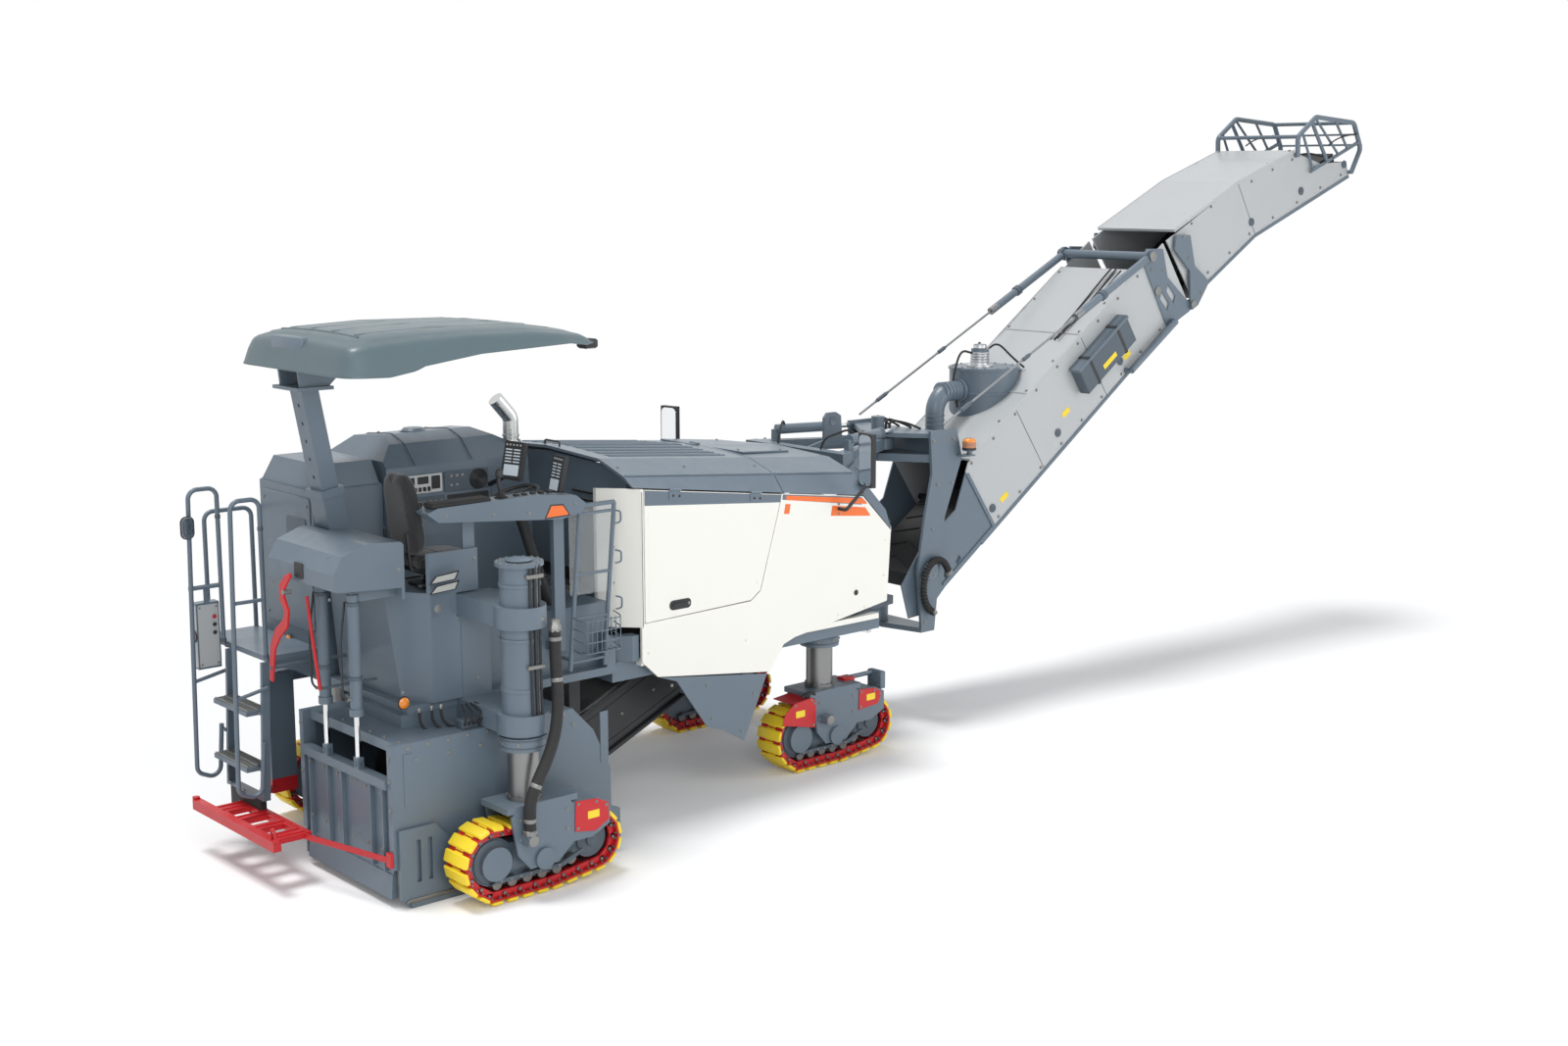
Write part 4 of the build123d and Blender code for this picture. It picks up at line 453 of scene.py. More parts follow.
def clear(name, colour):
    """Clear plastic with faint scuffs."""
    tree = finish(name, colour, 0.04, mottle=0.04, bump=0.006).node_tree
    feed(tree, tree.nodes["Principled BSDF"], {"Transmission Weight": 0.9, "IOR": 1.3})


def lit_field(name):
    """Plain bright field of a display."""
    tree = finish(name, (0.50, 0.56, 0.60), 0.15, mottle=0.05, bump=0.002).node_tree
    glow = {"Emission Color": (0.50, 0.58, 0.64, 1), "Emission Strength": 0.35}
    feed(tree, tree.nodes["Principled BSDF"], glow)


def paint_set(colours):
    """Every finish of the machine, by name."""
    grey, white, light = tuple(colours.grey), tuple(colours.white), tuple(colours.light)
    # name, colour, roughness, metallic, mottle, grain, bump, coat, dust, stretch
    for values in (
        ("grey paint", grey, 0.42, 0, 0.07, 260, 0.02, 0.15, 0.10),
        ("dark grey paint", tuple(c * 0.62 for c in grey), 0.48, 0, 0.08, 260, 0.02, 0, 0.10),
        ("canopy plastic", tuple(colours.canopy), 0.42, 0, 0.05, 500, 0.03, 0.1, 0.05),
        ("white paint", white, 0.30, 0, 0.015, 240, 0.012, 0.35),
        ("light paint", light, 0.40, 0, 0.04, 240, 0.015, 0.2),
        ("red paint", tuple(colours.red), 0.42, 0, 0.10, 260, 0.02, 0.05, 0.03),
        ("orange", tuple(colours.orange), 0.40, 0, 0.03, 240, 0.01, 0.3),
        ("yellow pad", tuple(colours.yellow), 0.50, 0, 0.10, 90, 0.06),
        ("yellow plate", tuple(colours.yellow), 0.35, 0, 0.02, 240, 0.008),
        ("black paint", (0.018, 0.019, 0.021), 0.42, 0, 0.2, 240, 0.02, 0, 0.06),
        ("black plastic", (0.020, 0.021, 0.023), 0.55, 0, 0.2, 700, 0.05),
        ("rubber", (0.016, 0.016, 0.017), 0.72, 0, 0.25, 160, 0.06),
        ("hose wrap", (0.014, 0.014, 0.015), 0.66, 0, 0.2, 420, 0.12, 0, 0, (1, 1, 3)),
        ("bare steel", (0.25, 0.25, 0.25), 0.38, 1.0, 0.14, 150),
        ("stainless", (0.60, 0.61, 0.61), 0.24, 1.0, 0.05, 60, 0.02, 0, 0, (1, 12, 1)),
        ("chrome", (0.78, 0.79, 0.80), 0.10, 1.0, 0.02, 300, 0.003),
        ("worn steel", (0.20, 0.19, 0.18), 0.45, 0.9, 0.3, 70, 0.12),
        ("aluminium", (0.62, 0.63, 0.64), 0.34, 0.9, 0.06, 120, 0.02),
        ("carbide", (0.30, 0.29, 0.28), 0.30, 1.0, 0.1, 200),
        ("engine", (0.05, 0.052, 0.055), 0.6, 0, 0.25, 40, 0.2),
        ("zinc", (0.24, 0.24, 0.23), 0.42, 0.6, 0.08, 200, 0.02),
        ("mirror glass", (0.86, 0.88, 0.90), 0.06, 1.0, 0.01, 220, 0.001),
        ("panel plastic", (0.56, 0.57, 0.57), 0.45, 0, 0.03, 600, 0.02),
        ("amber lens", tuple(colours.amber), 0.18, 0, 0.08, 90, 0.05, 0.5),
        ("red lens", (0.45, 0.02, 0.02), 0.15, 0, 0.08, 90, 0.05, 0.5),
        ("lamp glass", (0.44, 0.45, 0.42), 0.10, 0, 0.05, 60, 0.10, 0.5),
    ):
        finish(*values)
    clear("clear sheet", (0.90, 0.93, 0.94))
    woven("seat cloth", (0.010, 0.0105, 0.012))
    finish("seat vinyl", (0.010, 0.010, 0.011), 0.5, mottle=0.15, grain=500, bump=0.12)
    lit_field("screen")
    a = math.radians(BOOM_ANGLE)
    u, v = (math.cos(a), 0, math.sin(a)), (-math.sin(a), 0, math.cos(a))
    base = np.array((BOOM_PIVOT[0], 0, BOOM_PIVOT[1]))
    u0, v0 = float(base @ np.array(u)), float(base @ np.array(v))
    back = tuple(-c for c in u)
    zoned("lower boom paint", "light paint", (
        (((0, 1, 0), 0.4865),),
        ((back, -(u0 + 0.92)), ((0, 1, 0), 0.0)),
        ((u, u0 + 3.93), (v, v0 + 0.436)),
    ), grey)
    zoned("upper boom paint", "light paint", ((((0, 1, 0), 0.4865),),), grey)
    zoned("platform paint", "red paint", ((((0, 0, 1), 0.42),),), grey)
    cut = (((0, 1, 0), 1.1312),), (((0, 0, -1), -1.20), ((1, 0, 0), 4.20))
    zoned("panel paint", "white paint", cut, grey)
    zoned("stay paint", "grey paint", (((u, u0 + 0.6), (back, -(u0 + 2.95)), ((0, 1, 0), 0.50)),),
          (0.20, 0.21, 0.22), metallic=0.6)


# ---- putting pieces together -----------------------------------------------------------
class Parts(list):
    """The shapes of one piece, each with the name of its finish."""

    def add(self, surface, *shapes):
        self.extend((shape, surface) for shape in shapes)

    def bolt(self, places, direction, radius=0.011):
        self.add("zinc", bolts(places, direction, radius))


def put(name, body, parts, sharp=38.0):
    """One object from parts, a list of (points and faces, finish name), riding on a body."""
    points, faces, which, names = [], [], [], []
    count = 0
    for part, material in parts:
        for xyz, polygons in (part if isinstance(part, list) else [part]):
            if material not in names:
                names.append(material)
            points.append(xyz)
            faces.extend([[i + count for i in face] for face in polygons])
            which.extend([names.index(material)] * len(polygons))
            count += len(xyz)
    mesh = bpy.data.meshes.new(name)
    mesh.from_pydata((np.concatenate(points) + SHIFT).tolist(), [], faces)
    mesh.validate()
    for material in names:
        mesh.materials.append(MATERIALS[material])
    if len(mesh.polygons) == len(which):
        mesh.polygons.foreach_set("material_index", which)
    mesh.shade_smooth()
    mesh.set_sharp_from_angle(angle=math.radians(sharp))
    mesh.update()
    piece = bpy.data.objects.new(name, mesh)
    bpy.context.scene.collection.objects.link(piece)
    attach(piece, body)
    return piece


NODE_FINISH = {
    "grey paint": (
        "chassis_frame", "leg_tubes", "rear_housing", "operator_floor", "rear_hood", "rear_tank", "rear_cowl",
        "canopy_post_lower", "canopy_post_upper", "armrest_console", "guard_cage", "ladder", "handrails",
        "engine_hood", "front_cowl", "side_skirts", "front_tower", "drum_housing", "scraper_gate",
        "scraper_cylinders", "side_plate_right", "side_plate_left", "conveyor_swivel", "extraction_fan",
        "head_guards", "extraction_duct", "slewing_pin_seat", "rear_right_track_frame",
        "rear_left_track_frame", "front_right_track_frame", "front_left_track_frame",
    ),
    "bare steel": ("rear_right_column", "rear_left_column", "front_right_column", "front_left_column"),
    "panel paint": ("side_panels", "side_door"),
    "lower boom paint": ("lower_boom",),
    "upper boom paint": ("upper_boom",),
    "stay paint": ("boom_cylinders",),
    "platform paint": ("rear_platform",),
    "black plastic": ("driver_controls", "mirrors"),
    "black paint": ("primary_conveyor", "milling_drum"),
    "rubber": ("lower_belt", "upper_belt", "primary_belt"),
    "stainless": ("transfer_pan", "exhaust_stack"),
    "engine": ("engine_block",),
}


# ---- sizes and colours a user may change -----------------------------------------------
def colour_property(label, text, default):
    return FloatVectorProperty(
        name=label, description=text, default=default, subtype="COLOR", min=0.0, max=1.0)


class PlanerColours(bpy.types.PropertyGroup):
    grey: colour_property("Body grey", "Blue-grey of the frame and hood", (0.118, 0.158, 0.198))
    canopy: colour_property("Canopy", "Moulded canopy", (0.085, 0.128, 0.145))
    white: colour_property("White", "Side panels", (0.86, 0.85, 0.79))
    light: colour_property("Light grey", "Conveyor covers", (0.46, 0.48, 0.49))
    red: colour_property("Red", "Platform, levers and track guards", (0.53, 0.009, 0.014))
    yellow: colour_property("Yellow", "Track pads and blank plates", (0.90, 0.66, 0.025))
    orange: colour_property("Orange", "Stripes and reflector", (0.86, 0.16, 0.02))
    amber: colour_property("Amber", "Marker and beacon lenses", (0.85, 0.26, 0.02))


class PlanerSizes(bpy.types.PropertyGroup):
    bolt: FloatProperty(
        name="Bolt", description="Radius of a cover bolt's head", default=0.011, unit="LENGTH")
    pad: FloatProperty(
        name="Pad", description="Length of a track pad along the chain", default=0.088, unit="LENGTH")
    ribs: IntProperty(name="Ribs", description="Raised ribs along the canopy's top", default=4, min=0, max=12)
    skin: FloatProperty(
        name="Canopy wall", description="Wall of the moulded canopy", default=0.016, unit="LENGTH")
    cleat: FloatProperty(
        name="Cleat", description="Height of the belt's cleats", default=0.022, unit="LENGTH")


def colours():
    return bpy.context.scene.planer_colours


def sizes():
    return bpy.context.scene.planer_sizes


# ---- crawler tracks ---------------------------------------------------------------------
def chain_stations(count):
    """Points, headings and outward directions at equal steps round the taut chain.

    Each round i leaves its circle at the angle t_i = heading - 90 + asin((r_i - r_j) / d), so the
    chain is arcs p = c + r (cos t, sin t) joined by the straight tangents between them.
    """
    centres, radii = ROUNDS[:, :2], ROUNDS[:, 2]
    ahead = np.roll(centres, -1, axis=0) - centres
    distance = np.linalg.norm(ahead, axis=1)
    lean = np.arcsin((radii - np.roll(radii, -1)) / distance)
    leaving = np.arctan2(ahead[:, 1], ahead[:, 0]) - math.pi / 2 + lean
    line = []
    for k in range(len(ROUNDS)):
        start = leaving[k - 1]
        t = start + np.linspace(0, 1, 60) * ((leaving[k] - start) % (2 * math.pi))
        x = centres[k, 0] + radii[k] * np.cos(t)
        z = centres[k, 1] + radii[k] * np.sin(t)
        line.append(np.stack((x, z, t), axis=1))
    line = np.concatenate(line + [line[0][:1] + (0, 0, 2 * math.pi)])
    line[:, 2] = np.unwrap(line[:, 2])
    run = np.concatenate(([0.0], np.cumsum(np.linalg.norm(np.diff(line[:, :2], axis=0), axis=1))))
    at = (np.arange(count) + 0.5) / count * run[-1]
    return tuple(np.interp(at, run, line[:, k]) for k in range(3))


def round_chain(part, count):
    """A link drawn with X along the chain and Z outwards, set at every station of the chain."""
    points, faces = part
    x, z, angle = chain_stations(count)
    out = np.stack((np.cos(angle), np.zeros(count), np.sin(angle)), axis=1)
    on = np.stack((-np.sin(angle), np.zeros(count), np.cos(angle)), axis=1)
    base = np.stack((x, np.zeros(count), z), axis=1)
    moved = base[:, None] + points[None, :, :1] * on[:, None] + points[None, :, 2:] * out[:, None]
    moved[:, :, 1] = points[None, :, 1]
    size = len(points)
    every = [[i + k * size for i in face] for k in range(count) for face in faces]
    return outward(moved.reshape(-1, 3), every)


def moved(parts, offset):
    """Every part of a list of (part, finish) pairs shifted by an offset."""
    shifted = []
    for part, material in parts:
        many = part if isinstance(part, list) else [part]
        shifted.append(([(points + np.array(offset), faces) for points, faces in many], material))
    return shifted


# Each build function makes what the docstring of the operator below it says.
def build_tracks():
    half, pad = TRACK_HALF - 0.001, sizes().pad / 2
    low, top = -SHOE_HEIGHT, -0.004
    section = (
        (-half, low), (half, low), (half, low + 0.020), (half - 0.016, top), (-half + 0.016, top),
        (-half, low + 0.020))
    tread = slab(section, -pad, pad, "cross", 0.008)
    groove = [
        slab(
            ((-0.05, low), (0.05, low), (0.04, low + 0.012), (-0.04, low + 0.012)), side * pad - 0.008,
            side * pad + 0.008, "cross", 0.003)
        for side in (-1, 1)
    ]
    plate = brick(-pad - 0.012, pad + 0.012, -half + 0.006, half - 0.006, low - 0.014, low - 0.001, 0.003)
    link = (
        (-0.066, low - 0.058), (0.058, low - 0.058), (0.066, low - 0.036), (0.052, low - 0.014),
        (-0.052, low - 0.014), (-0.066, low - 0.036),
    )
    links = [upright(link, y - 0.014, y + 0.014, 0.003) for y in (-0.082, 0.082)]
    pin = bar((-0.052, -0.11, low - 0.040), (-0.052, 0.11, low - 0.040), 0.013, 10)
    heads = bolts([(x, y, low - 0.016) for x in (-0.03, 0.03) for y in (-0.112, 0.112)], (0, 0, -1), 0.009)
    rounds = Parts()
    for surface, shapes in (
        ("yellow pad", [tread, *groove]), ("red paint", [plate, *links]), ("worn steel", [pin, *heads]),
    ):
        rounds.add(surface, *(round_chain(shape, SHOE_COUNT) for shape in shapes))
    for leg, (foot, middle, _) in LEGS.items():
        piece = put(leg + "_pads", leg + "_crawler", moved(rounds, (foot, middle, 0)))
        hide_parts(leg + "_track")


class PLANER_OT_tracks(bpy.types.Operator):
    """Polyurethane pads, shoe plates and chain links round every crawler"""
    bl_idname = "planer.tracks"
    bl_label = "Crawler tracks"

    def execute(self, context):
        build_tracks()
        return {"FINISHED"}


def build_track_frames():
    for leg, (foot, middle, _) in LEGS.items():
        side = -1 if middle < 0 else 1
        face = side * (TRACK_HALF + 0.026)
        out = (0, side, 0)
        parts = Parts()
        parts.bolt(circle((0.445, face + side * 0.0002, 0.270), 0.058, 8, False), out, 0.008)
        parts.add("dark grey paint", turned(
            ((0.048, 0), (0.052, 0.004), (0.030, 0.010), (0.012, 0.012)), (0.445, face, 0.27), out, 24))
        for x in np.linspace(0.10, 0.72, 6):
            low = 0.118 if x < 0.6 else 0.16
            for y in (-0.075, 0.075):
                parts.add("worn steel", turned(
                    (
                        (0.020, -0.022), (0.038, -0.020), (0.044, -0.006), (0.044, 0.006), (0.038, 0.020),
                        (0.020, 0.022)),
                    (x, y, low + 0.02), (0, 1, 0), 18))
        rail = (
            (0.03, 0.150), (0.10, 0.180), (0.62, 0.180), (0.80, 0.245), (0.82, 0.225), (0.64, 0.150),
            (0.08, 0.150))
        for y in (-1, 1):
            parts.add("dark grey paint", upright(rail, y * 0.096, y * 0.118, 0.003))
        parts.bolt([(x, side * 0.118, 0.164) for x in np.linspace(0.12, 0.60, 7)], out, 0.007)
        sprocket = turned(
            ((0.05, 0), (0.155, 0.004), (0.160, 0.010), (0.150, 0.018), (0.060, 0.020)),
            (0.08, side * 0.075, 0.298), out, 30)
        parts.add("dark grey paint", sprocket)
        parts.bolt(circle((0.08, side * 0.0952, 0.298), 0.09, 12, False), out, 0.008)
        parts.add("dark grey paint", turned(
            ((0.03, 0), (0.115, 0.003), (0.120, 0.012), (0.05, 0.016), (0.045, 0.030), (0.020, 0.032)),
            (0.905, side * 0.062, 0.28), out, 28))
        guards = [(
            (0.705, 0.40), (0.712, 0.618), (0.895, 0.604), (0.995, 0.556), (0.995, 0.43), (0.88, 0.37))]
        if leg.startswith("front"):
            guards = [
                ((0.705, 0.44), (0.712, 0.618), (0.895, 0.604), (0.985, 0.55), (0.93, 0.46)),
                (
                    (0.205, 0.38), (0.215, 0.600), (0.170, 0.645), (-0.03, 0.625), (-0.13, 0.55),
                    (-0.16, 0.46),
                    (-0.02, 0.43),
                ),
            ]
            hood = ((-0.030, 0.612), (0.168, 0.632), (0.168, 0.640), (-0.031, 0.620))
            parts.add("red paint", upright(hood, -side * 0.100, face - side * 0.0045, 0.002))
        for outline in guards:
            parts.add("red paint", upright(outline, face - side * 0.0035, face + side * 0.004, 0.002))
            centre = np.mean(np.array(outline), axis=0)
            sign = rounded(centre[0] - 0.050, centre[0] + 0.050, centre[1] - 0.028, centre[1] + 0.028, 0.006)
            parts.add("yellow plate", upright(sign, face + side * 0.0042, face + side * 0.0058, 0.0004))
            heads = [(x, face + side * 0.004, z) for x, z in drawn_in(outline, 0.022)[:4]]
            parts.bolt(heads, out, 0.008)
        parts.bolt(
            [(x, side * (TRACK_HALF + 0.026), z) for x, z in (
                (0.26, 0.58), (0.64, 0.58), (0.26, 0.44), (0.64, 0.44))],
            out, 0.010)
        parts.add("zinc", turned(
            ((0.034, 0), (0.040, 0.002), (0.040, 0.006), (0.030, 0.010), (0.012, 0.010)),
            (0.30, side * (TRACK_HALF + 0.112), 0.444), out, 20))
        ring = circle((LEG_FROM_FOOT, 0, 0.710), 0.119, 12)
        put(leg + "_track_fittings", leg + "_crawler", moved(parts, (foot, middle, 0)))
        put(leg + "_foot_ring", leg + "_leg", moved(
            [(bolts(ring, (0, 0, 1), 0.007), "zinc")], (foot, middle, 0)))


class PLANER_OT_track_frames(bpy.types.Operator):
    """Hub bolts, rollers, guards and steering gear on the track frames"""
    bl_idname = "planer.track_frames"
    bl_label = "Track frames"

    def execute(self, context):
        build_track_frames()
        return {"FINISHED"}


def build_legs():
    parts = Parts()
    for foot, middle, top in LEGS.values():
        x = foot + LEG_FROM_FOOT
        parts.bolt(circle((x, middle, top), 0.153, 16), (0, 0, 1), 0.008)
        parts.add("grey paint", turned(
            ((0.02, 0), (0.085, 0.002), (0.095, 0.010), (0.060, 0.024), (0.020, 0.026)), (x, middle, top),
            (0, 0, 1), 32))
        for z in (1.062, 1.113):
            parts.add("dark grey paint", collar(0.165, 0.1685, 0.014, 0.003, (x, middle, z), (0, 0, 1), 40))
        for place in circle((x, middle, 1.095), 0.1665, 8):
            parts.bolt([place], place - (x, middle, 1.095), 0.008)
    x, y = 0.40, -1.70
    for z in (1.45, 1.80, 2.18):
        parts.add("grey paint", collar(0.1405, 0.146, 0.030, 0.003, (x, y, z), (0, 0, 1), 40))
    for k, dx in enumerate((-0.02, 0.02, 0.055)):
        line = eased(
            ((x + dx, y - 0.156, 2.34), (x + dx, y - 0.156, 1.50), (x + dx + 0.01, y - 0.150, 1.22)), 0.05)
        parts.add("black plastic", tube(line, 0.009 + 0.003 * (k == 1), 10))
    for z in (1.62, 1.95, 2.25):
        parts.add("zinc", brick(x - 0.05, x + 0.085, y - 0.172, y - 0.138, z, z + 0.028, 0.004))
    put("leg_tube_fittings", "chassis", parts)


class PLANER_OT_legs(bpy.types.Operator):
    """Bolted collars and lids on the leg tubes, with hydraulic lines and hose clamps"""
    bl_idname = "planer.legs"
    bl_label = "Leg tubes"

    def execute(self, context):
        build_legs()
        return {"FINISHED"}


# ---- body panels ------------------------------------------------------------------------
HOOD_REAR = 1.80
HOOD_DROP, EDGE_DROP = math.tan(math.radians(4.9)), math.tan(math.radians(7.4))


def hood_top(x, y):
    """Height of the hood: the crown falls to both sides in two straight slopes and along X."""
    fall = (x - HOOD_REAR) * HOOD_DROP
    return float(np.interp(abs(y), (0.0, 0.70, 1.01), (2.85, 2.815, 2.715))) - fall


def hood_edge(x):
    return 2.64 - (x - HOOD_REAR) * EDGE_DROP


def build_side_panels():
    face = -HALF_BODY
    thin = (face - 0.0018, face + 0.001)
    stripes = [
        ((3.325, 2.420), (4.170, 2.308), (4.222, 2.262), (4.205, 2.256), (3.325, 2.383)),
        ((3.318, 2.352), (3.372, 2.345), (3.357, 2.266), (3.302, 2.274)),
        ((3.827, 2.283), (4.200, 2.228), (4.262, 2.150), (3.811, 2.200)),
    ]
    parts = Parts((upright(outline, *thin, 0.0004), "orange") for outline in stripes)
    seam = ((1.885, 1.56), (1.885, 2.60), (1.878, 2.60), (1.878, 1.56))
    parts.add("dark grey paint", upright(seam, *thin, 0.0004))
    heads = [(x, face, z) for x, z in (
        (1.93, 1.35), (2.9, 1.30), (3.9, 1.36), (4.42, 1.62), (4.44, 1.92), (4.2, 1.38))]
    parts.add("white paint", bolts(heads, (0, -1, 0), 0.009))
    lock = turned(
        ((0.020, 0), (0.024, 0.003), (0.020, 0.006), (0.006, 0.006)), (4.10, face, 1.52), (0, -1, 0), 20)
    parts.add("black plastic", lock)
    # grey band in front of the hatch, under the cowl
    band = ((3.29, hood_edge(3.29) - 0.014), (3.285, 2.39), (4.16, 2.255), (4.16, hood_edge(4.16) - 0.014))
    parts.add("grey paint", upright(band, face - 0.0012, face + 0.001, 0.0004))
    both = parts + [(mirrored_list(part), material) for part, material in parts]
    put("side_panel_trim", "chassis", both)

    hatch = Parts()
    band = ((1.908, 2.608), (1.908, 2.492), (3.262, 2.372), (3.272, 2.432))
    hatch.add("grey paint", upright(band, face - 0.0014, face + 0.001, 0.0004))
    pocket = rounded(2.135, 2.345, 1.652, 1.728, 0.034, 6)
    hatch.add("black plastic", upright(pocket, face - 0.006, face + 0.001, 0.003))
    pull = rounded(2.165, 2.300, 1.676, 1.704, 0.012, 5)
    hatch.add("black plastic", upright(pull, face - 0.016, face - 0.005, 0.004))
    hatch.add("zinc", turned(
        ((0.010, 0), (0.013, 0.002), (0.006, 0.004)), (2.322, face - 0.006, 1.690), (0, -1, 0), 16))
    rim = rounded(1.945, 1.965, 1.66, 2.44, 0.008, 3)
    hatch.add("white paint", upright(rim, face - 0.0014, face + 0.001, 0.0004))
    for share in (0.185, 0.775):
        x = 1.905 + 1.37 * share
        z = 2.614 - 0.178 * share
        hatch.add("black plastic", bolts(
            [(x + 0.02, face - 0.006, z - 0.04), (x + 0.08, face - 0.006, z - 0.048)], (0, -1, 0), 0.007))
    put("hatch_trim", "hatch", hatch)

    skirt = Parts()
    for side in (-1, 1):
        heads = [(x, side * HALF_BODY, z) for x, z in (
            (2.15, 1.06), (2.55, 0.72), (2.85, 0.56), (2.98, 0.85), (2.5, 1.0))]
        skirt.bolt(heads, (0, side, 0), 0.009)
    put("skirt_bolts", "chassis", skirt)


class PLANER_OT_side_panels(bpy.types.Operator):
    """Stripes, latches, edge bands and bolts of the white side panels and their hatch"""
    bl_idname = "planer.side_panels"
    bl_label = "Side panels"

    def execute(self, context):
        build_side_panels()
        return {"FINISHED"}


def mirrored_list(part):
    """The part, or each part of a list, on the other side of the middle plane."""
    if isinstance(part, list):
        return [mirrored(single) for single in part]
    return mirrored(part)


def build_hood():
    parts = Parts()
    for k in range(9):
        y = (k - 4) * 0.140
        for x in row(2.00, 3.11, 24):
            z = hood_top(x, y) - 0.020
            blade = brick(x - 0.003, x + 0.021, y - 0.0225, y + 0.0225, z - 0.008, z - 0.002, 0.001)
            parts.add("black paint", spun(blade, (0, 1, 0), 24, (x, y, z)))
        lip = [(x, y + side * 0.030, hood_top(x, y) + 0.001) for x in (1.975, 3.135) for side in (-1, 1)]
        for a, b in ((lip[0], lip[2]), (lip[1], lip[3])):
            parts.add("grey paint", bar(a, b, 0.006, 8))
    for side in (-1, 1):
        bead = [(x, side * 1.012, hood_top(x, 1.01) + 0.002) for x in (1.815, 3.28)]
        parts.add("grey paint", bar(bead[0], bead[1], 0.007, 8))
        parts.bolt(
            [(x, side * 0.86, hood_top(x, 0.86)) for x in (1.86, 2.5, 3.22)], (0, side * 0.25, 1), 0.009)
    grip = eased(((1.86, -0.10, 2.842), (1.86, -0.10, 2.878), (1.86, 0.10, 2.878), (1.86, 0.10, 2.842)), 0.02)
    parts.add("black plastic", tube(grip, 0.008, 10))
    put("hood_louvres", "hood", parts)

    cowl = Parts()
    cover = ((3.36, -0.55), (3.36, 0.55), (3.95, 0.45), (3.95, -0.45))
    lid = slab(cover, -0.001, 0.016, "plan", 0.004)
    points, faces = lid
    lid = (
        points + np.stack(
            (0 * points[:, 0], 0 * points[:, 0], np.array([hood_top(x, 0.45) for x in points[:, 0]])), axis=1,
        ),
        faces)
    cowl.add("grey paint", lid)
    heads = [(x, y, hood_top(x, 0.45) + 0.016) for x in (3.42, 3.88) for y in (-0.42, 0.42)]
    cowl.bolt(heads, (0, 0, 1), 0.009)
    for side in (-1, 1):
        bead = [(x, side * 1.012, hood_top(x, 1.01) + 0.002) for x in (3.31, 4.16)]
        cowl.add("grey paint", bar(bead[0], bead[1], 0.007, 8))
        bezel = ((4.28, 2.20), (4.505, 2.085), (4.505, 1.86), (4.35, 1.95))
        cowl.add("black plastic", upright(bezel, side * 1.128, side * 1.040, 0.010))
        cowl.add("lamp glass", turned(
            ((0.010, 0), (0.055, 0.002), (0.058, 0.012), (0.050, 0.018), (0.020, 0.021)),
            (4.490, side * 1.075, 2.01), (1, 0, 0), 24))
    y = np.linspace(-0.985, 0.985, 25)
    top = [(k, hood_top(1.84, k) - 0.042) for k in y]
    wall = slab([(-0.985, 1.90), *top, (0.985, 1.90)], 1.838, 1.850, "cross", 0.002)
    cowl.add("grey paint", wall)
    for z in row(2.10, 2.52, 8):
        slat = brick(1.828, 1.842, -0.95, -0.30, z, z + 0.018, 0.003)
        cowl.add("black paint", slat)
    put("cowl_fittings", "chassis", cowl)


class PLANER_OT_hood(bpy.types.Operator):
    """Louvre blades, dark grille and edge beads of the engine hood and the front cowl"""
    bl_idname = "planer.hood"
    bl_label = "Engine hood"

    def execute(self, context):
        build_hood()
        return {"FINISHED"}


def build_hump():
    parts = Parts()
    parts.add(
        "grey paint",
        turned(
            ((0.02, 0), (0.085, 0.002), (0.092, 0.016), (0.075, 0.034), (0.020, 0.040)), (0.86, 0.42, 2.992),
            (0, 0, 1), 32),
        brick(0.78, 0.94, 0.345, 0.495, 2.985, 3.003, 0.005),
    )
    for x in (0.62, 1.12):
        seam = eased(
            (
                (x, 0.0, 2.80), (x, 0.155, 2.957), (x, 0.33, 3.011), (x, 0.72, 2.976), (x, 0.935, 2.803),
                (x, 1.003, 2.56)),
            0.05)
        parts.add("dark grey paint", tube(seam, 0.004, 6))
    for x, y, z in ((0.66, 0.60, 2.986), (1.08, 0.60, 2.986)):
        parts.bolt([(x, y, z)], (0, 0.1, 1), 0.010)
    # doors on the left face
    for x0, x1 in ((0.42, 0.96), (1.00, 1.58)):
        door = rounded(x0, x1, 1.42, 2.46, 0.03)
        parts.add("grey paint", upright(door, 1.000, 1.012, 0.004))
        parts.add("black plastic", upright(
            rounded(x1 - 0.10, x1 - 0.04, 1.90, 1.98, 0.01), 1.012, 1.022, 0.003))
        parts.bolt([(x0 + 0.04, 1.012, z) for z in (1.52, 2.36)], (0, 1, 0), 0.009)
    tank = rounded(-0.16, 0.26, 1.60, 2.62, 0.03)
    parts.add("grey paint", upright(tank, 0.890, 0.899, 0.004))
    back = rounded(0.10, 0.85, 1.62, 2.62, 0.03)
    parts.add("grey paint", slab(back, -0.209, -0.200, "cross", 0.004))
    parts.add("dark grey paint", slab(rounded(0.16, 0.46, 2.10, 2.46, 0.02), -0.216, -0.208, "cross", 0.003))
    parts.bolt([(-0.209, y, z) for y in (0.14, 0.81) for z in (1.68, 2.56)], (-1, 0, 0), 0.009)
    parts.add("black plastic", turned(
        ((0.03, 0), (0.060, 0.004), (0.062, 0.030), (0.052, 0.040), (0.020, 0.042)), (0.10, 0.62, 2.858),
        (0, 0, 1), 28))
    elbow = collar(0.0625, 0.068, 0.025, 0.003, (1.56, 0.13, 2.925), (0, 0, 1), 36)
    parts.add("stainless", elbow)
    parts.bolt(
        [(1.56 + 0.07 * math.cos(a), 0.13 + 0.07 * math.sin(a), 2.900) for a in (0.4, 2.0, 3.6, 5.2)],
        (0, 0, 1), 0.007)
    put("housing_fittings", "chassis", parts)


class PLANER_OT_hump(bpy.types.Operator):
    """Vent cap, lids and seams on the left housings and the tank"""
    bl_idname = "planer.hump"
    bl_label = "Left housings"

    def execute(self, context):
        build_hump()
        return {"FINISHED"}


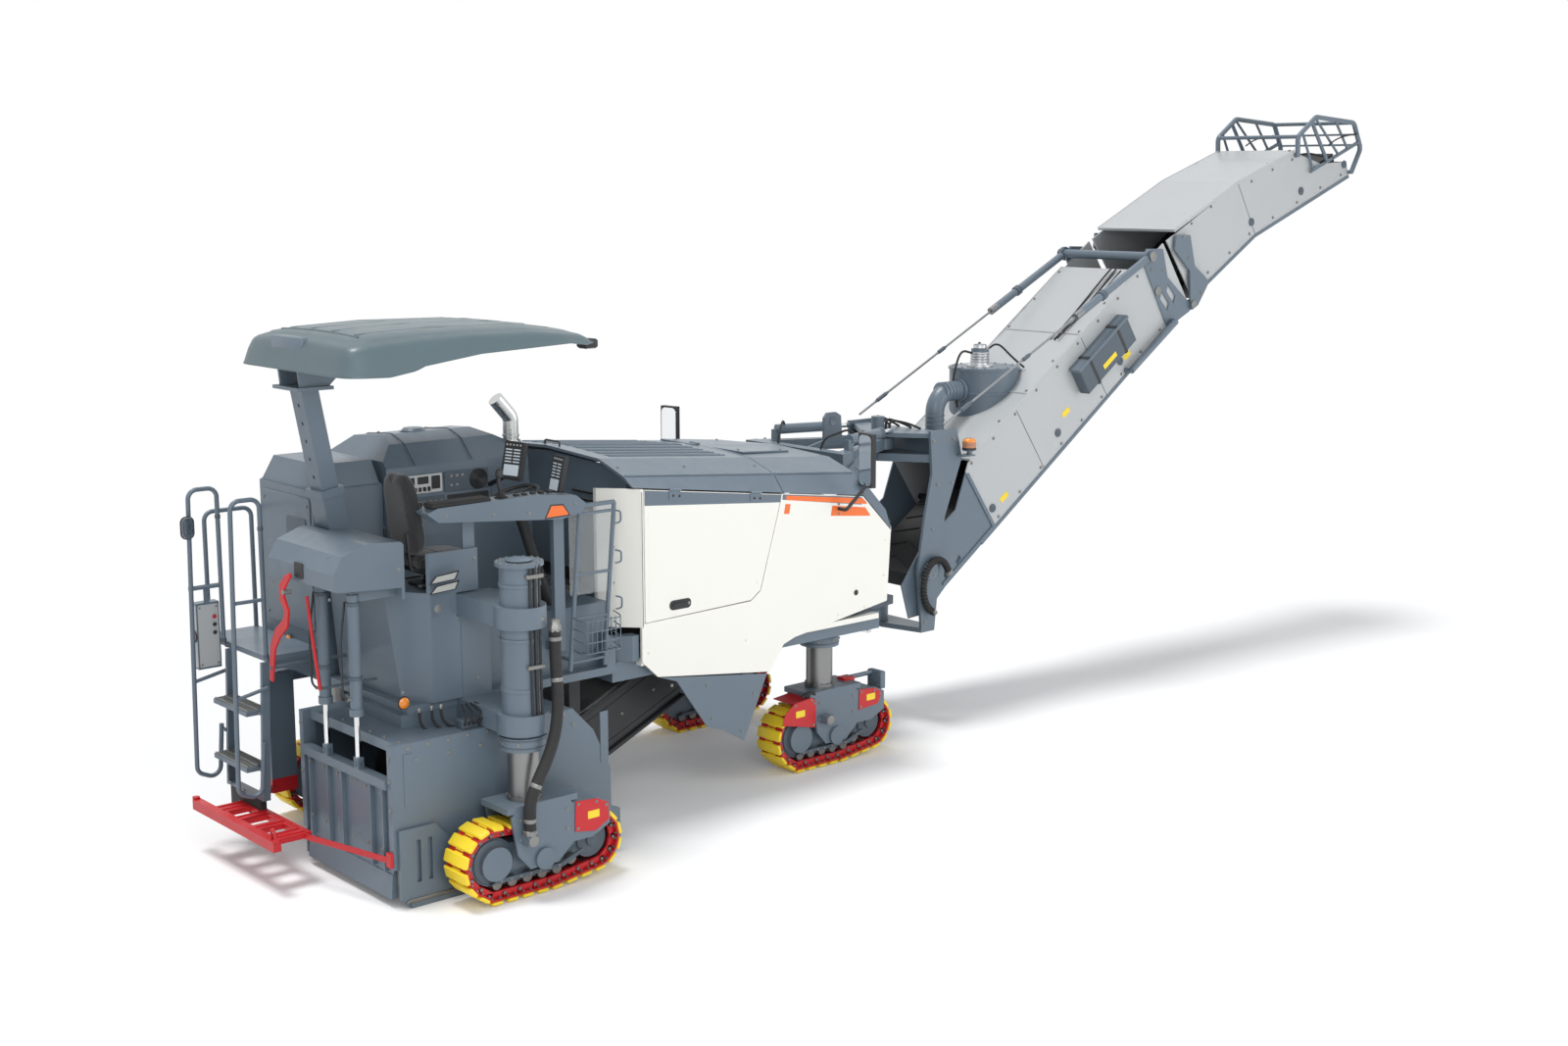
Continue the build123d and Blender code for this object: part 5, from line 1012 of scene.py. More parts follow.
# ---- canopy and its post ------------------------------------------------------------------
CANOPY_MIDDLE, CANOPY_HALF = (0.44, -0.44), (1.04, 0.81)


def canopy_low(x):
    return np.interp(x, (-0.60, -0.28, -0.08, 0.10, 1.18, 1.33, 1.48), (
        3.617, 3.609, 3.640, 3.712, 3.758, 3.738, 3.764))


def canopy_top(x):
    return np.interp(x, (-0.60, -0.53, -0.30, 0.20, 0.90, 1.33, 1.48), (
        3.852, 3.872, 3.893, 3.914, 3.902, 3.852, 3.790))


def canopy_shell(skin):
    """Rounded plan |x/a|^n + |y/b|^n = 1 with n = 13, drawn in by d and raised by the share f of each
    shoulder ring: z = low(x) + f (top(x) - low(x)), less a crown of 0.035 (y/b)^2. The inner face is the
    same surface moved in by the wall."""
    t = np.linspace(0, 2 * math.pi, 240, endpoint=False)
    t = t - 0.21 * np.sin(4 * t)
    c, s = power(np.cos(t), 2 / 13), power(np.sin(t), 2 / 13)
    shoulder = (
        (0.0, 0.0), (0.0, 0.05), (0.004, 0.08), (0.030, 0.50), (0.052, 0.72), (0.066, 0.80), (0.088, 0.86),
        (0.150, 0.925), (0.158, 0.95), (0.32, 0.995))
    out = [(d, f, 1.0, 0.0) for d, f in shoulder] + [(0.32, 1.0, m, 0.0) for m in (0.75, 0.5, 0.25, 0.03)]
    inside = [(d + skin, f, m, skin) for d, f, m, _ in out]
    points = []
    for d, f, m, wall in out[::-1] + inside:
        x = CANOPY_MIDDLE[0] + (CANOPY_HALF[0] - d) * c * m - 0.015 * np.maximum(c, 0) * s ** 2 * m
        y = CANOPY_MIDDLE[1] + (CANOPY_HALF[1] - d) * s * m
        low, top = canopy_low(x), canopy_top(x)
        crown = 0.035 * ((y - CANOPY_MIDDLE[1]) / CANOPY_HALF[1]) ** 2
        points.append(np.stack((x, y, low + f * (top - crown - low) - wall * f), axis=1))
    return rings(np.array(points))


def canopy_line(x, y, proud):
    """Points on the canopy's top at the stations x, raised by a little."""
    crown = 0.035 * ((y - CANOPY_MIDDLE[1]) / CANOPY_HALF[1]) ** 2
    return np.stack((x, np.full(len(x), y), canopy_top(x) - crown + proud), axis=1)


def build_canopy():
    parts = Parts([(canopy_shell(sizes().skin), "canopy plastic")])
    count = sizes().ribs
    for y in CANOPY_MIDDLE[1] + np.linspace(-0.46, 0.46, max(count, 2))[:count]:
        x = np.linspace(-0.34, 1.22, 40)
        parts.add("canopy plastic", tube(canopy_line(x, y, -0.0095), 0.011, 10))
    cross = np.stack((np.full(24, -0.36), np.linspace(-0.98, 0.10, 24)), axis=1)
    crown = 0.035 * ((cross[:, 1] - CANOPY_MIDDLE[1]) / CANOPY_HALF[1]) ** 2
    line = np.stack((cross[:, 0], cross[:, 1], canopy_top(cross[:, 0]) - crown - 0.0095), axis=1)
    parts.add("canopy plastic", tube(line, 0.010, 10))
    parts.add("grey paint", brick(-0.56, -0.12, -0.55, -0.11, 3.6774, 3.845, 0.008))
    for y in (-0.50, -0.16):
        parts.add("grey paint", bar((-0.12, y, 3.80), (0.95, y, 3.845), 0.020, 12))
    parts.add("black plastic", brick(1.34, 1.46, -1.20, -1.08, 3.708, 3.775, 0.012))
    parts.add("lamp glass", brick(1.36, 1.44, -1.19, -1.09, 3.703, 3.712, 0.003))
    parts.bolt([(x, y, 3.6774) for x in (-0.52, -0.16) for y in (-0.51, -0.15)], (0, 0, -1), 0.009)
    piece = put("canopy_moulding", "canopy", parts, 50)
    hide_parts("canopy_roof")

    lean = math.atan2(-0.235, 1.31)
    along_post = np.array((math.sin(lean), 0, math.cos(lean)))
    foot = np.array((-0.215, -0.33, 2.25))
    fittings = Parts()
    for reach in (0.92, 1.02):
        for side in (-1, 1):
            place = foot + along_post * reach + (0, side * 0.066, 0)
            fittings.add("zinc", turned(
                ((0.008, 0), (0.020, 0.001), (0.022, 0.004), (0.012, 0.006)), place, (0, side, 0), 20))
    put("canopy_post_pins", "canopy", fittings)


class PLANER_OT_canopy(bpy.types.Operator):
    """Moulded canopy with ribs, beam and lamp, and the bolts and pin holes of its post"""
    bl_idname = "planer.canopy"
    bl_label = "Canopy"

    def execute(self, context):
        build_canopy()
        return {"FINISHED"}


# ---- operator's place -----------------------------------------------------------------------
def power(value, exponent):
    return np.sign(value) * np.abs(value) ** exponent


def cushion(middle, half, corner, roll, crown, steps=(40, 72)):
    """Superellipsoid p = h (cos^r u cos^c v, cos^r u sin^c v, sin^r u), its upper side crowned."""
    u = np.linspace(-math.pi / 2 + 0.03, math.pi / 2 - 0.03, steps[0])[:, None]
    v = np.linspace(0, 2 * math.pi, steps[1], endpoint=False)[None, :]
    ring = power(np.cos(u), roll)
    x, y = ring * power(np.cos(v), corner), ring * power(np.sin(v), corner)
    z = power(np.sin(u), roll) * np.ones_like(v)
    z = z * half[2] + crown * (1 - x ** 2) * (1 - y ** 2) * (z > 0)
    points = np.stack((x * half[0], y * half[1], z), axis=-1)
    skin, faces = rings(points)
    return skin + np.array(middle), faces


def swell(piece, reach):
    """Cloth blown up by pressure from inside for twenty steps, no point moving further than reach."""
    piece.modifiers.new("even mesh", "REMESH").voxel_size = 0.007
    settle(piece)
    before = vertex_places(piece.data)
    cloth = piece.modifiers.new("cloth", "CLOTH")
    cloth.settings.use_pressure = True
    cloth.settings.uniform_pressure_force = 4.0
    cloth.settings.effector_weights.gravity = 0.0
    for step in range(1, 21):
        bpy.context.scene.frame_set(step)
    settle(piece)
    bpy.context.scene.frame_set(1)
    after = vertex_places(piece.data)
    if len(after) == len(before):
        way = after - before
        far = np.linalg.norm(way, axis=1)[:, None]
        before = before + way * np.minimum(1.0, reach / np.maximum(far, 1e-9))
    return before


def settle(piece):
    """Replaces the piece's mesh by what its modifiers make of it, and removes them."""
    depsgraph = bpy.context.evaluated_depsgraph_get()
    mesh = bpy.data.meshes.new_from_object(piece.evaluated_get(depsgraph))
    piece.modifiers.clear()
    piece.data = mesh


def vertex_places(mesh):
    places = np.empty(len(mesh.vertices) * 3)
    mesh.vertices.foreach_get("co", places)
    return places.reshape(-1, 3)


def set_places(mesh, places):
    mesh.vertices.foreach_set("co", places.reshape(-1))
    mesh.update()


def groove(value, middle, width, depth):
    """Depth of a sewn channel: d exp(-((v - m) / w)^2)."""
    return depth * np.exp(-((value - middle) / width) ** 2)


def build_seat():
    low = cushion((0.255, SEAT_MIDDLE, 2.265), (0.225, 0.196, 0.045), 0.34, 0.55, 0.016)
    sitting = put("seat_cushion", "chassis", [(low, "seat cloth")], 180)
    places = swell(sitting, 0.012)
    x, y = places[:, 0] - SHIFT[0], places[:, 1] - SHIFT[1] - SEAT_MIDDLE
    top = places[:, 2] > 2.265
    sewn = groove(x, 0.20, 0.007, 0.008) * (np.abs(y) < 0.12) + groove(np.abs(y), 0.125, 0.007, 0.010)
    bolster = 0.016 * np.clip((np.abs(y) - 0.125) / 0.06, 0, 1) ** 2
    places[:, 2] += np.where(top, bolster - sewn, 0)
    places[:, 2] = np.clip(places[:, 2], 2.205, 2.334)
    set_places(sitting.data, places)

    high = cushion((0, 0, 0), (0.045, 0.196, 0.300), 0.50, 0.45, 0.0)
    lean = math.radians(-7.4)
    points, faces = high
    points[:, 1] *= 1 - 0.16 * np.clip(points[:, 2] / 0.3, 0, 1) ** 2
    leaning = (
        spun((points, faces), (0, 1, 0), math.degrees(lean), (0, 0, 0))[0] + (0.008, SEAT_MIDDLE, 2.614),
        faces)
    back = put("seat_back", "chassis", [(leaning, "seat cloth")], 180)
    places = swell(back, 0.012)
    local = places - SHIFT - np.array((0.008, SEAT_MIDDLE, 2.614))
    front = np.array((math.cos(lean), 0, -math.sin(lean)))
    depth, height = local @ front, local @ np.array((math.sin(lean), 0, math.cos(lean)))
    aside = np.abs(local[:, 1])
    sewn = groove(aside, 0.125, 0.007, 0.010)
    sewn += groove(height, -0.07, 0.007, 0.009) + groove(height, 0.10, 0.007, 0.009)
    bolster = 0.018 * np.clip((aside - 0.125) / 0.06, 0, 1) ** 2
    places += np.where(depth > 0.01, bolster - sewn, 0)[:, None] * front
    set_places(back.data, places)
    for piece in (sitting, back):
        piece.data.shade_smooth()
        piece.modifiers.new("even curve", "SUBSURF").levels = 1
        piece.modifiers["even curve"].render_levels = 1

    frame_parts = Parts([
        (brick(0.06, 0.44, -1.02, -0.70, 2.192, 2.226, 0.010), "black plastic"),
        (brick(0.09, 0.40, -1.000, -0.74, 2.0803, 2.110, 0.008), "black paint"),
        (brick(0.12, 0.37, -0.985, -0.755, 2.168, 2.196, 0.006), "black paint"),
        (
            turned(
                [(0.075 + 0.012 * (k % 2), 0.010 * k) for k in range(8)], (0.245, -0.86, 2.104), (0, 0, 1), 28
            ),
            "rubber"),
    ])
    for side in (-1, 1):
        y = SEAT_MIDDLE + side * 0.150
        frame_parts.add("black paint", tube(
            eased(((0.10, y, 2.22), (-0.035, y, 2.235), (-0.060, y, 2.50)), 0.05), 0.012, 10))
        frame_parts.add("bare steel", brick(0.02, 0.30, y - 0.012, y + 0.012, 2.110, 2.128, 0.003))
    frame_parts.add("black plastic", bar((0.32, -0.99, 2.185), (0.46, -1.03, 2.185), 0.008, 10))
    base = put("seat_frame", "chassis", frame_parts)
    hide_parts("operator_seat")
    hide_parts("operator_seat")
    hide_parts("operator_seat")


class PLANER_OT_seat(bpy.types.Operator):
    """Seat cushion and back, blown up as cloth and sewn with channels, on their frame"""
    bl_idname = "planer.seat"
    bl_label = "Seat"

    def execute(self, context):
        build_seat()
        return {"FINISHED"}


def build_console():
    back = -0.0082

    def plate(x0, x1, z0, z1, proud, radius=0.010):
        return upright(rounded(x0, x1, z0, z1, radius), back - proud, back + 0.001, 0.002)

    parts = Parts()
    for surface, *edges in (
        ("panel plastic", 0.500, 0.840, 2.585, 2.725, 0.010),
        ("black plastic", 0.505, 0.600, 2.655, 2.710, 0.014, 0.004),
        ("black plastic", 0.625, 0.720, 2.655, 2.710, 0.014, 0.004),
        ("black plastic", 0.745, 0.820, 2.610, 2.710, 0.014, 0.004),
        ("dark grey paint", 0.860, 1.250, 2.570, 2.728, 0.008),
        ("dark grey paint", 0.500, 0.860, 2.440, 2.555, 0.008),
        ("black plastic", 0.885, 1.250, 2.440, 2.548, 0.008),
        ("panel plastic", 0.660, 0.700, 2.425, 2.500, 0.012, 0.004),
    ):
        parts.add(surface, plate(*edges))
    for x in row(0.525, 0.720, 6):
        parts.add("black plastic", brick(
            x - 0.010, x + 0.010, back - 0.026, back - 0.008, 2.600, 2.632, 0.003))
    knob = turned(
        ((0.018, 0), (0.018, 0.016), (0.015, 0.022), (0.004, 0.023)), (0, back - 0.007, 0), (0, -1, 0), 20)
    dots = [(x, 0, 2.500) for x in row(0.540, 0.830, 7)]
    parts.add("black plastic", copies(knob, dots))
    base = turned(((0.024, 0), (0.024, 0.003), (0.020, 0.004)), (0, back - 0.007, 0), (0, -1, 0), 20)
    parts.add("zinc", copies(base, dots))
    speaker = [(0.075, 0.0), (0.080, 0.006), (0.074, 0.012)]
    for k in range(6):
        speaker += [(0.068 - 0.010 * k, 0.006), (0.063 - 0.010 * k, 0.010)]
    parts.add("black plastic", turned(
        speaker + [(0.008, 0.008)], (1.160, back - 0.006, 2.650), (0, -1, 0), 40))
    for x, z in ((0.92, 2.69), (0.97, 2.69), (1.02, 2.69), (0.92, 2.62), (0.97, 2.62)):
        parts.add("zinc", turned(
            ((0.010, 0), (0.012, 0.004), (0.006, 0.007)), (x, back - 0.007, z), (0, -1, 0), 14))
    for k, x in enumerate(row(0.93, 1.21, 5)):
        parts.add(("red lens", "yellow plate", "zinc", "zinc", "black plastic")[k], turned(
            ((0.012, 0), (0.013, 0.006), (0.008, 0.010)), (x, back - 0.007, 2.49), (0, -1, 0), 16))

    for (x, y, z), width, turn in (((1.190, -0.470, 2.830), 0.200, 12), ((1.290, -0.900, 2.760), 0.180, -8)):
        edge = width / 2 - 0.024
        fields = [(-edge, edge, -0.112, -0.030)]
        for low in row(-0.014, 0.078, 5):
            fields += [(-edge, -0.008, low, low + 0.010), (0.008, edge, low, low + 0.010)]
        face = Parts()
        face.add("screen", *(
            slab(rounded(*field, 0.003), -0.0236, -0.0220, "cross", 0.0003) for field in fields))
        glass = rounded(0.012 - width / 2, width / 2 - 0.012, -0.128, 0.100, 0.006)
        face.add("black paint", slab(glass, -0.0225, -0.019, "cross", 0.001))
        case = rounded(0.001 - width / 2, width / 2 - 0.001, -0.144, 0.144, 0.014)
        face.add("black plastic", slab(case, -0.0212, 0.020, "cross", 0.004))
        key = brick(-0.0245, -0.0205, -0.009, 0.009, 0.112, 0.126, 0.0015)
        places = [(0, across, 0) for across in row(0.03 - width / 2, width / 2 - 0.03, 5)]
        face.add("panel plastic", copies(key, places))
        for part, material in face:
            part = spun(part, (0, 0, 1), turn, (0, 0, 0))
            lean = spun(part, (-math.sin(math.radians(turn)), math.cos(math.radians(turn)), 0), 12, (0, 0, 0))
            parts.add(material, (lean[0] + (x, y, z), lean[1]))
    parts.add("black plastic", turned(
        ((0.010, 0), (0.050, 0.002), (0.046, 0.014), (0.020, 0.018)), (0.9475, -0.820, 2.639),
        (-0.33, 0, 0.94), 24))

    parts.add(
        "rubber",
        brick(0.02, 0.50, -1.228, -1.092, 2.684, 2.722, 0.012),
        turned(
            ((0.045, 0), (0.050, 0.008), (0.030, 0.018), (0.020, 0.040), (0.014, 0.050)),
            (0.62, -1.160, 2.692), (0, 0, 1), 24),
    )
    parts.add(
        "black plastic",
        tube(
            eased(((0.62, -1.160, 2.72), (0.60, -1.160, 2.80), (0.605, -1.160, 2.85)), 0.03),
            (0.012, *[0.014] * 6, 0.020), 14),
        turned(
            ((0.010, 0), (0.027, 0.012), (0.030, 0.035), (0.022, 0.060), (0.008, 0.068)),
            (0.606, -1.160, 2.835), (0.05, 0, 1), 20),
    )
    for x in row(0.74, 1.02, 5):
        parts.add("black plastic", brick(x - 0.018, x + 0.018, -1.190, -1.150, 2.690, 2.712, 0.004))
    parts.add("orange", upright(
        ((0.945, 2.525), (0.990, 2.606), (1.088, 2.600), (1.140, 2.528)), -1.2432, -1.239, 0.001))
    rim = ((0.930, 2.516), (0.982, 2.616), (1.094, 2.610), (1.156, 2.519))
    parts.add("black plastic", upright(rim, -1.2422, -1.239, 0.001))
    parts.bolt(
        [(x, -1.240, z) for x, z in ((0.12, 2.630), (0.50, 2.600), (0.80, 2.575), (1.20, 2.60))], (0, -1, 0),
        0.008)
    put("operator_fittings", "chassis", parts)


class PLANER_OT_console(bpy.types.Operator):
    """Switch plates, speaker, displays, wheel boss, joystick, armrest pad and reflector"""
    bl_idname = "planer.console"
    bl_label = "Operator's console"

    def execute(self, context):
        build_console()
        return {"FINISHED"}


# ---- rear ------------------------------------------------------------------------------------
def ribbon(path, widths):
    """Outline of a curved bar: its centreline moved to both sides by half its width."""
    p = np.array(path, float)
    way = np.gradient(p, axis=0)
    way /= np.linalg.norm(way, axis=1)[:, None]
    side = np.stack((-way[:, 1], way[:, 0]), axis=1) * np.array(widths)[:, None] / 2
    return np.concatenate((p + side, (p - side)[::-1]))


CYLINDER_X, CYLINDER_PLACES = -0.488, (-1.000, -0.560)      # the two long cylinders of the scraper


def build_rear():
    parts = Parts()
    parts.add("black plastic", slab(
        rounded(-0.70, -0.58, 2.215, 2.325, 0.014), -0.6975, -0.688, "cross", 0.002))
    parts.bolt([(-0.690, y, z) for y in (-1.06, -0.25) for z in (2.13, 2.42)], (-1, 0, 0), 0.008)
    # red hook lever with its pivot and guide
    centre = (
        (-0.60, 2.235), (-0.54, 2.20), (-0.47, 2.13), (-0.47, 2.05), (-0.53, 1.97), (-0.50, 1.88),
        (-0.38, 1.79), (-0.30, 1.68), (-0.27, 1.55), (-0.25, 1.42))
    lever = ribbon(centre, (0.030, 0.060, 0.075, 0.070, 0.060, 0.075, 0.080, 0.070, 0.060, 0.040))
    parts.add("red paint", slab(lever, -0.745, -0.727, "cross", 0.004))
    parts.add("zinc", bar((-0.752, -0.50, 2.10), (-0.690, -0.50, 2.10), 0.018, 16))
    parts.add("dark grey paint", bar((-0.752, -0.27, 1.52), (-0.160, -0.27, 1.52), 0.014, 16))
    parts.add("red paint", tube(
        eased(((-0.62, -0.60, 2.072), (-0.62, -0.64, 1.85), (-0.60, -0.70, 1.42)), 0.1), 0.012, 12))
    parts.add("dark grey paint", bar((-0.60, -0.70, 1.430), (-0.160, -0.70, 1.430), 0.010, 12))
    # collars, clevises and ports of the two long cylinders
    for y in CYLINDER_PLACES:
        for z in (1.53, 2.05):
            parts.add("dark grey paint", collar(
                0.0425, 0.050, 0.030, 0.003, (CYLINDER_X, y, z), (0, 0, 1), 28))
        parts.add("zinc", bar((-0.560, y, 1.40), (-0.525, y, 1.40), 0.012, 12))
        line = eased(
            ((-0.555, y, 1.40), (-0.590, y, 1.44), (-0.575, y + 0.03, 1.80), (-0.52, y + 0.055, 2.075)), 0.05)
        parts.add("black plastic", tube(line, 0.008, 10))
    # paired lamps and round lock on the tall side panel
    for low, high in ((2.160, 2.215), (2.090, 2.145)):
        lamp = ((-0.010, low), (0.045, high), (0.235, high + 0.020), (0.205, low + 0.012))
        parts.add("black plastic", upright(lamp, -1.2065, -1.198, 0.003))
        glass = ((0.010, low + 0.008), (0.052, high - 0.006), (0.215, high + 0.008), (0.192, low + 0.018))
        parts.add("lamp glass", upright(glass, -1.2085, -1.2045, 0.001))
    parts.add("zinc", turned(
        ((0.010, 0), (0.028, 0.002), (0.030, 0.006), (0.012, 0.009)), (0.055, -1.200, 1.985), (0, -1, 0), 24))
    for x, z in ((-0.24, 1.44), (-0.24, 2.30), (0.36, 1.44), (0.36, 2.30)):
        parts.bolt([(x, -1.200, z)], (0, -1, 0), 0.008)
    # amber markers with their rims
    for place, way in (
        ((-0.20, -1.1305, 1.345), (0, -1, 0)), ((-0.836, 0.760, 1.580), (-1, 0, 0)),
        ((-0.2085, 0.50, 1.50), (-1, 0, 0)),
    ):
        parts.add("black plastic", turned(
            ((0.044, 0), (0.048, 0.004), (0.044, 0.010), (0.040, 0.011)), place, way, 28))
        parts.add("amber lens", turned(
            ((0.040, 0.004), (0.040, 0.014), (0.030, 0.022), (0.008, 0.025)), place, way, 28))
    # loops of hydraulic hose below the tall panel
    for k, (a, b) in enumerate((
        ((0.03, -1.24, 1.30), (0.23, -1.25, 1.12)), ((-0.02, -1.20, 1.29), (0.19, -1.23, 1.10)),
        ((-0.10, -1.17, 1.28), (0.14, -1.21, 1.08)),
    )):
        middle = ((a[0] + b[0]) / 2 - 0.05, (a[1] + b[1]) / 2 - 0.03 - 0.01 * k, b[2] + 0.03)
        parts.add("rubber", tube(
            eased((a, (a[0], a[1] - 0.01, b[2] + 0.09), middle, (b[0], b[1] - 0.01, b[2])), 0.07), 0.010, 10))
        for end, way in ((a, (0, 0, 1)), (b, (0.6, 0, -0.2))):
            parts.add("zinc", turned(
                ((0.012, -0.016), (0.0135, -0.012), (0.0135, 0.012), (0.011, 0.016)), end, way, 6))
    put("rear_fittings", "chassis", parts)

    rods = Parts()
    for y in CYLINDER_PLACES:
        rods.add("chrome", collar(0.0202, 0.0208, 0.320, 0.002, (CYLINDER_X, y, 0.965), (0, 0, 1), 28))
        rods.add("dark grey paint", turned(
            ((0.020, 0), (0.032, 0.002), (0.032, 0.040), (0.021, 0.044)), (CYLINDER_X, y, 0.918), (0, 0, 1),
            24))
    heads = [(-0.4925, y, z) for y in np.linspace(-1.30, -0.30, 6) for z in (0.40, 0.80)]
    rods.bolt(heads, (-1, 0, 0), 0.010)
    put("scraper_rod_sleeves", "scraper", rods)


class PLANER_OT_rear(bpy.types.Operator):
    """Blank badge, red levers, lamps, markers and hoses at the rear, chrome on the moving rods"""
    bl_idname = "planer.rear"
    bl_label = "Rear"

    def execute(self, context):
        build_rear()
        return {"FINISHED"}


def build_access():
    parts = Parts()
    for z in (0.680, 1.095):
        shift = 0.040 * (z - 0.45) / 1.03
        x0, x1 = -0.810 + shift, -0.640 + shift
        for y in row(0.10, 0.59, 18):
            parts.add("zinc", brick(
                x0 + 0.006, x1 - 0.006, y - 0.0045, y + 0.0045, z + 0.0335, z + 0.043, 0.0015))
        for x in (x0 + 0.012, (x0 + x1) / 2, x1 - 0.012):
            parts.add("zinc", brick(x - 0.004, x + 0.004, 0.085, 0.605, z + 0.033, z + 0.045, 0.0015))
        parts.bolt([(x0 + 0.09, y, z + 0.017) for y in (0.0495,)], (0, -1, 0), 0.008)
        parts.bolt([(x0 + 0.09, 0.6405, z + 0.017)], (0, 1, 0), 0.008)
    parts.add("rubber", brick(-0.695, -0.645, 0.10, 0.60, 0.300, 0.454, 0.008))
    for y in (0.14, 0.35, 0.56):
        parts.bolt([(-0.700, y, 0.467)], (-1, 0, 0), 0.008)
    for y in (0.020, 0.700):
        for z in (1.52, 2.45):
            parts.add("dark grey paint", collar(0.0175, 0.021, 0.030, 0.003, (-0.640, y, z), (0, 0, 1), 20))
    # ladder mirror on its stalk
    oval = np.array(rounded(-0.952, -0.846, 2.33, 2.50, 0.045, 7))
    parts.add("black plastic", upright(oval, 0.640, 0.662, 0.006))
    parts.add("mirror glass", upright(drawn_in(oval, 0.009), 0.6385, 0.642, 0.001))
    parts.add("black plastic", bar((-0.865, 0.655, 2.40), (-0.872, 0.700, 2.40), 0.008, 10))
    # control box lid
    parts.add(
        "light paint",
        slab(rounded(0.722, 0.796, 1.345, 1.815, 0.010), -0.8375, -0.834, "cross", 0.001),
        upright(rounded(-0.825, -0.665, 1.345, 1.815, 0.012), 0.7145, 0.719, 0.002),
    )
    parts.bolt([(x, 0.7145, z) for x in (-0.81, -0.68) for z in (1.365, 1.795)], (0, -1, 0), 0.006)
    for z, colour in ((1.72, "red paint"), (1.66, "black plastic"), (1.60, "black plastic")):
        parts.add(colour, turned(
            ((0.013, 0), (0.015, 0.004), (0.015, 0.010), (0.006, 0.012)), (-0.70, 0.7145, z), (0, -1, 0), 18))
    put("ladder_fittings", "chassis", parts)

    deck = Parts()
    for y in row(-0.52, 0.38, 13):
        if min(abs(y + 0.345), abs(y + 0.085), abs(y - 0.175)) > 0.09:
            deck.add("red paint", brick(-0.930, -0.670, y - 0.006, y + 0.006, 0.3695, 0.377, 0.002))
    studs = [(x, y, 0.370) for x in (-0.925, -0.675) for y in row(-0.54, 0.40, 22)]
    deck.add("red paint", copies(
        turned(((0.006, 0), (0.009, 0.001), (0.007, 0.006)), (0, 0, 0), (0, 0, 1), 10), studs))
    for y in (-0.67, 0.61):
        deck.add("red paint", collar(0.012, 0.027, 0.018, 0.002, (-0.960, y, 0.394), (0, 0, 1), 24))
    hoop = eased(
        ((-0.960, -0.600, 0.385), (-0.970, -0.600, 0.450), (-0.970, -0.640, 0.490), (-0.960, -0.668, 0.400)),
        0.03)
    deck.add("red paint", tube(hoop, 0.009, 10))
    put("platform_fittings", "chassis", deck)


class PLANER_OT_access(bpy.types.Operator):
    """Step gratings, rubber foot, rail clamps, ladder mirror, control box lid and platform fittings"""
    bl_idname = "planer.access"
    bl_label = "Ladder and platform"

    def execute(self, context):
        build_access()
        return {"FINISHED"}


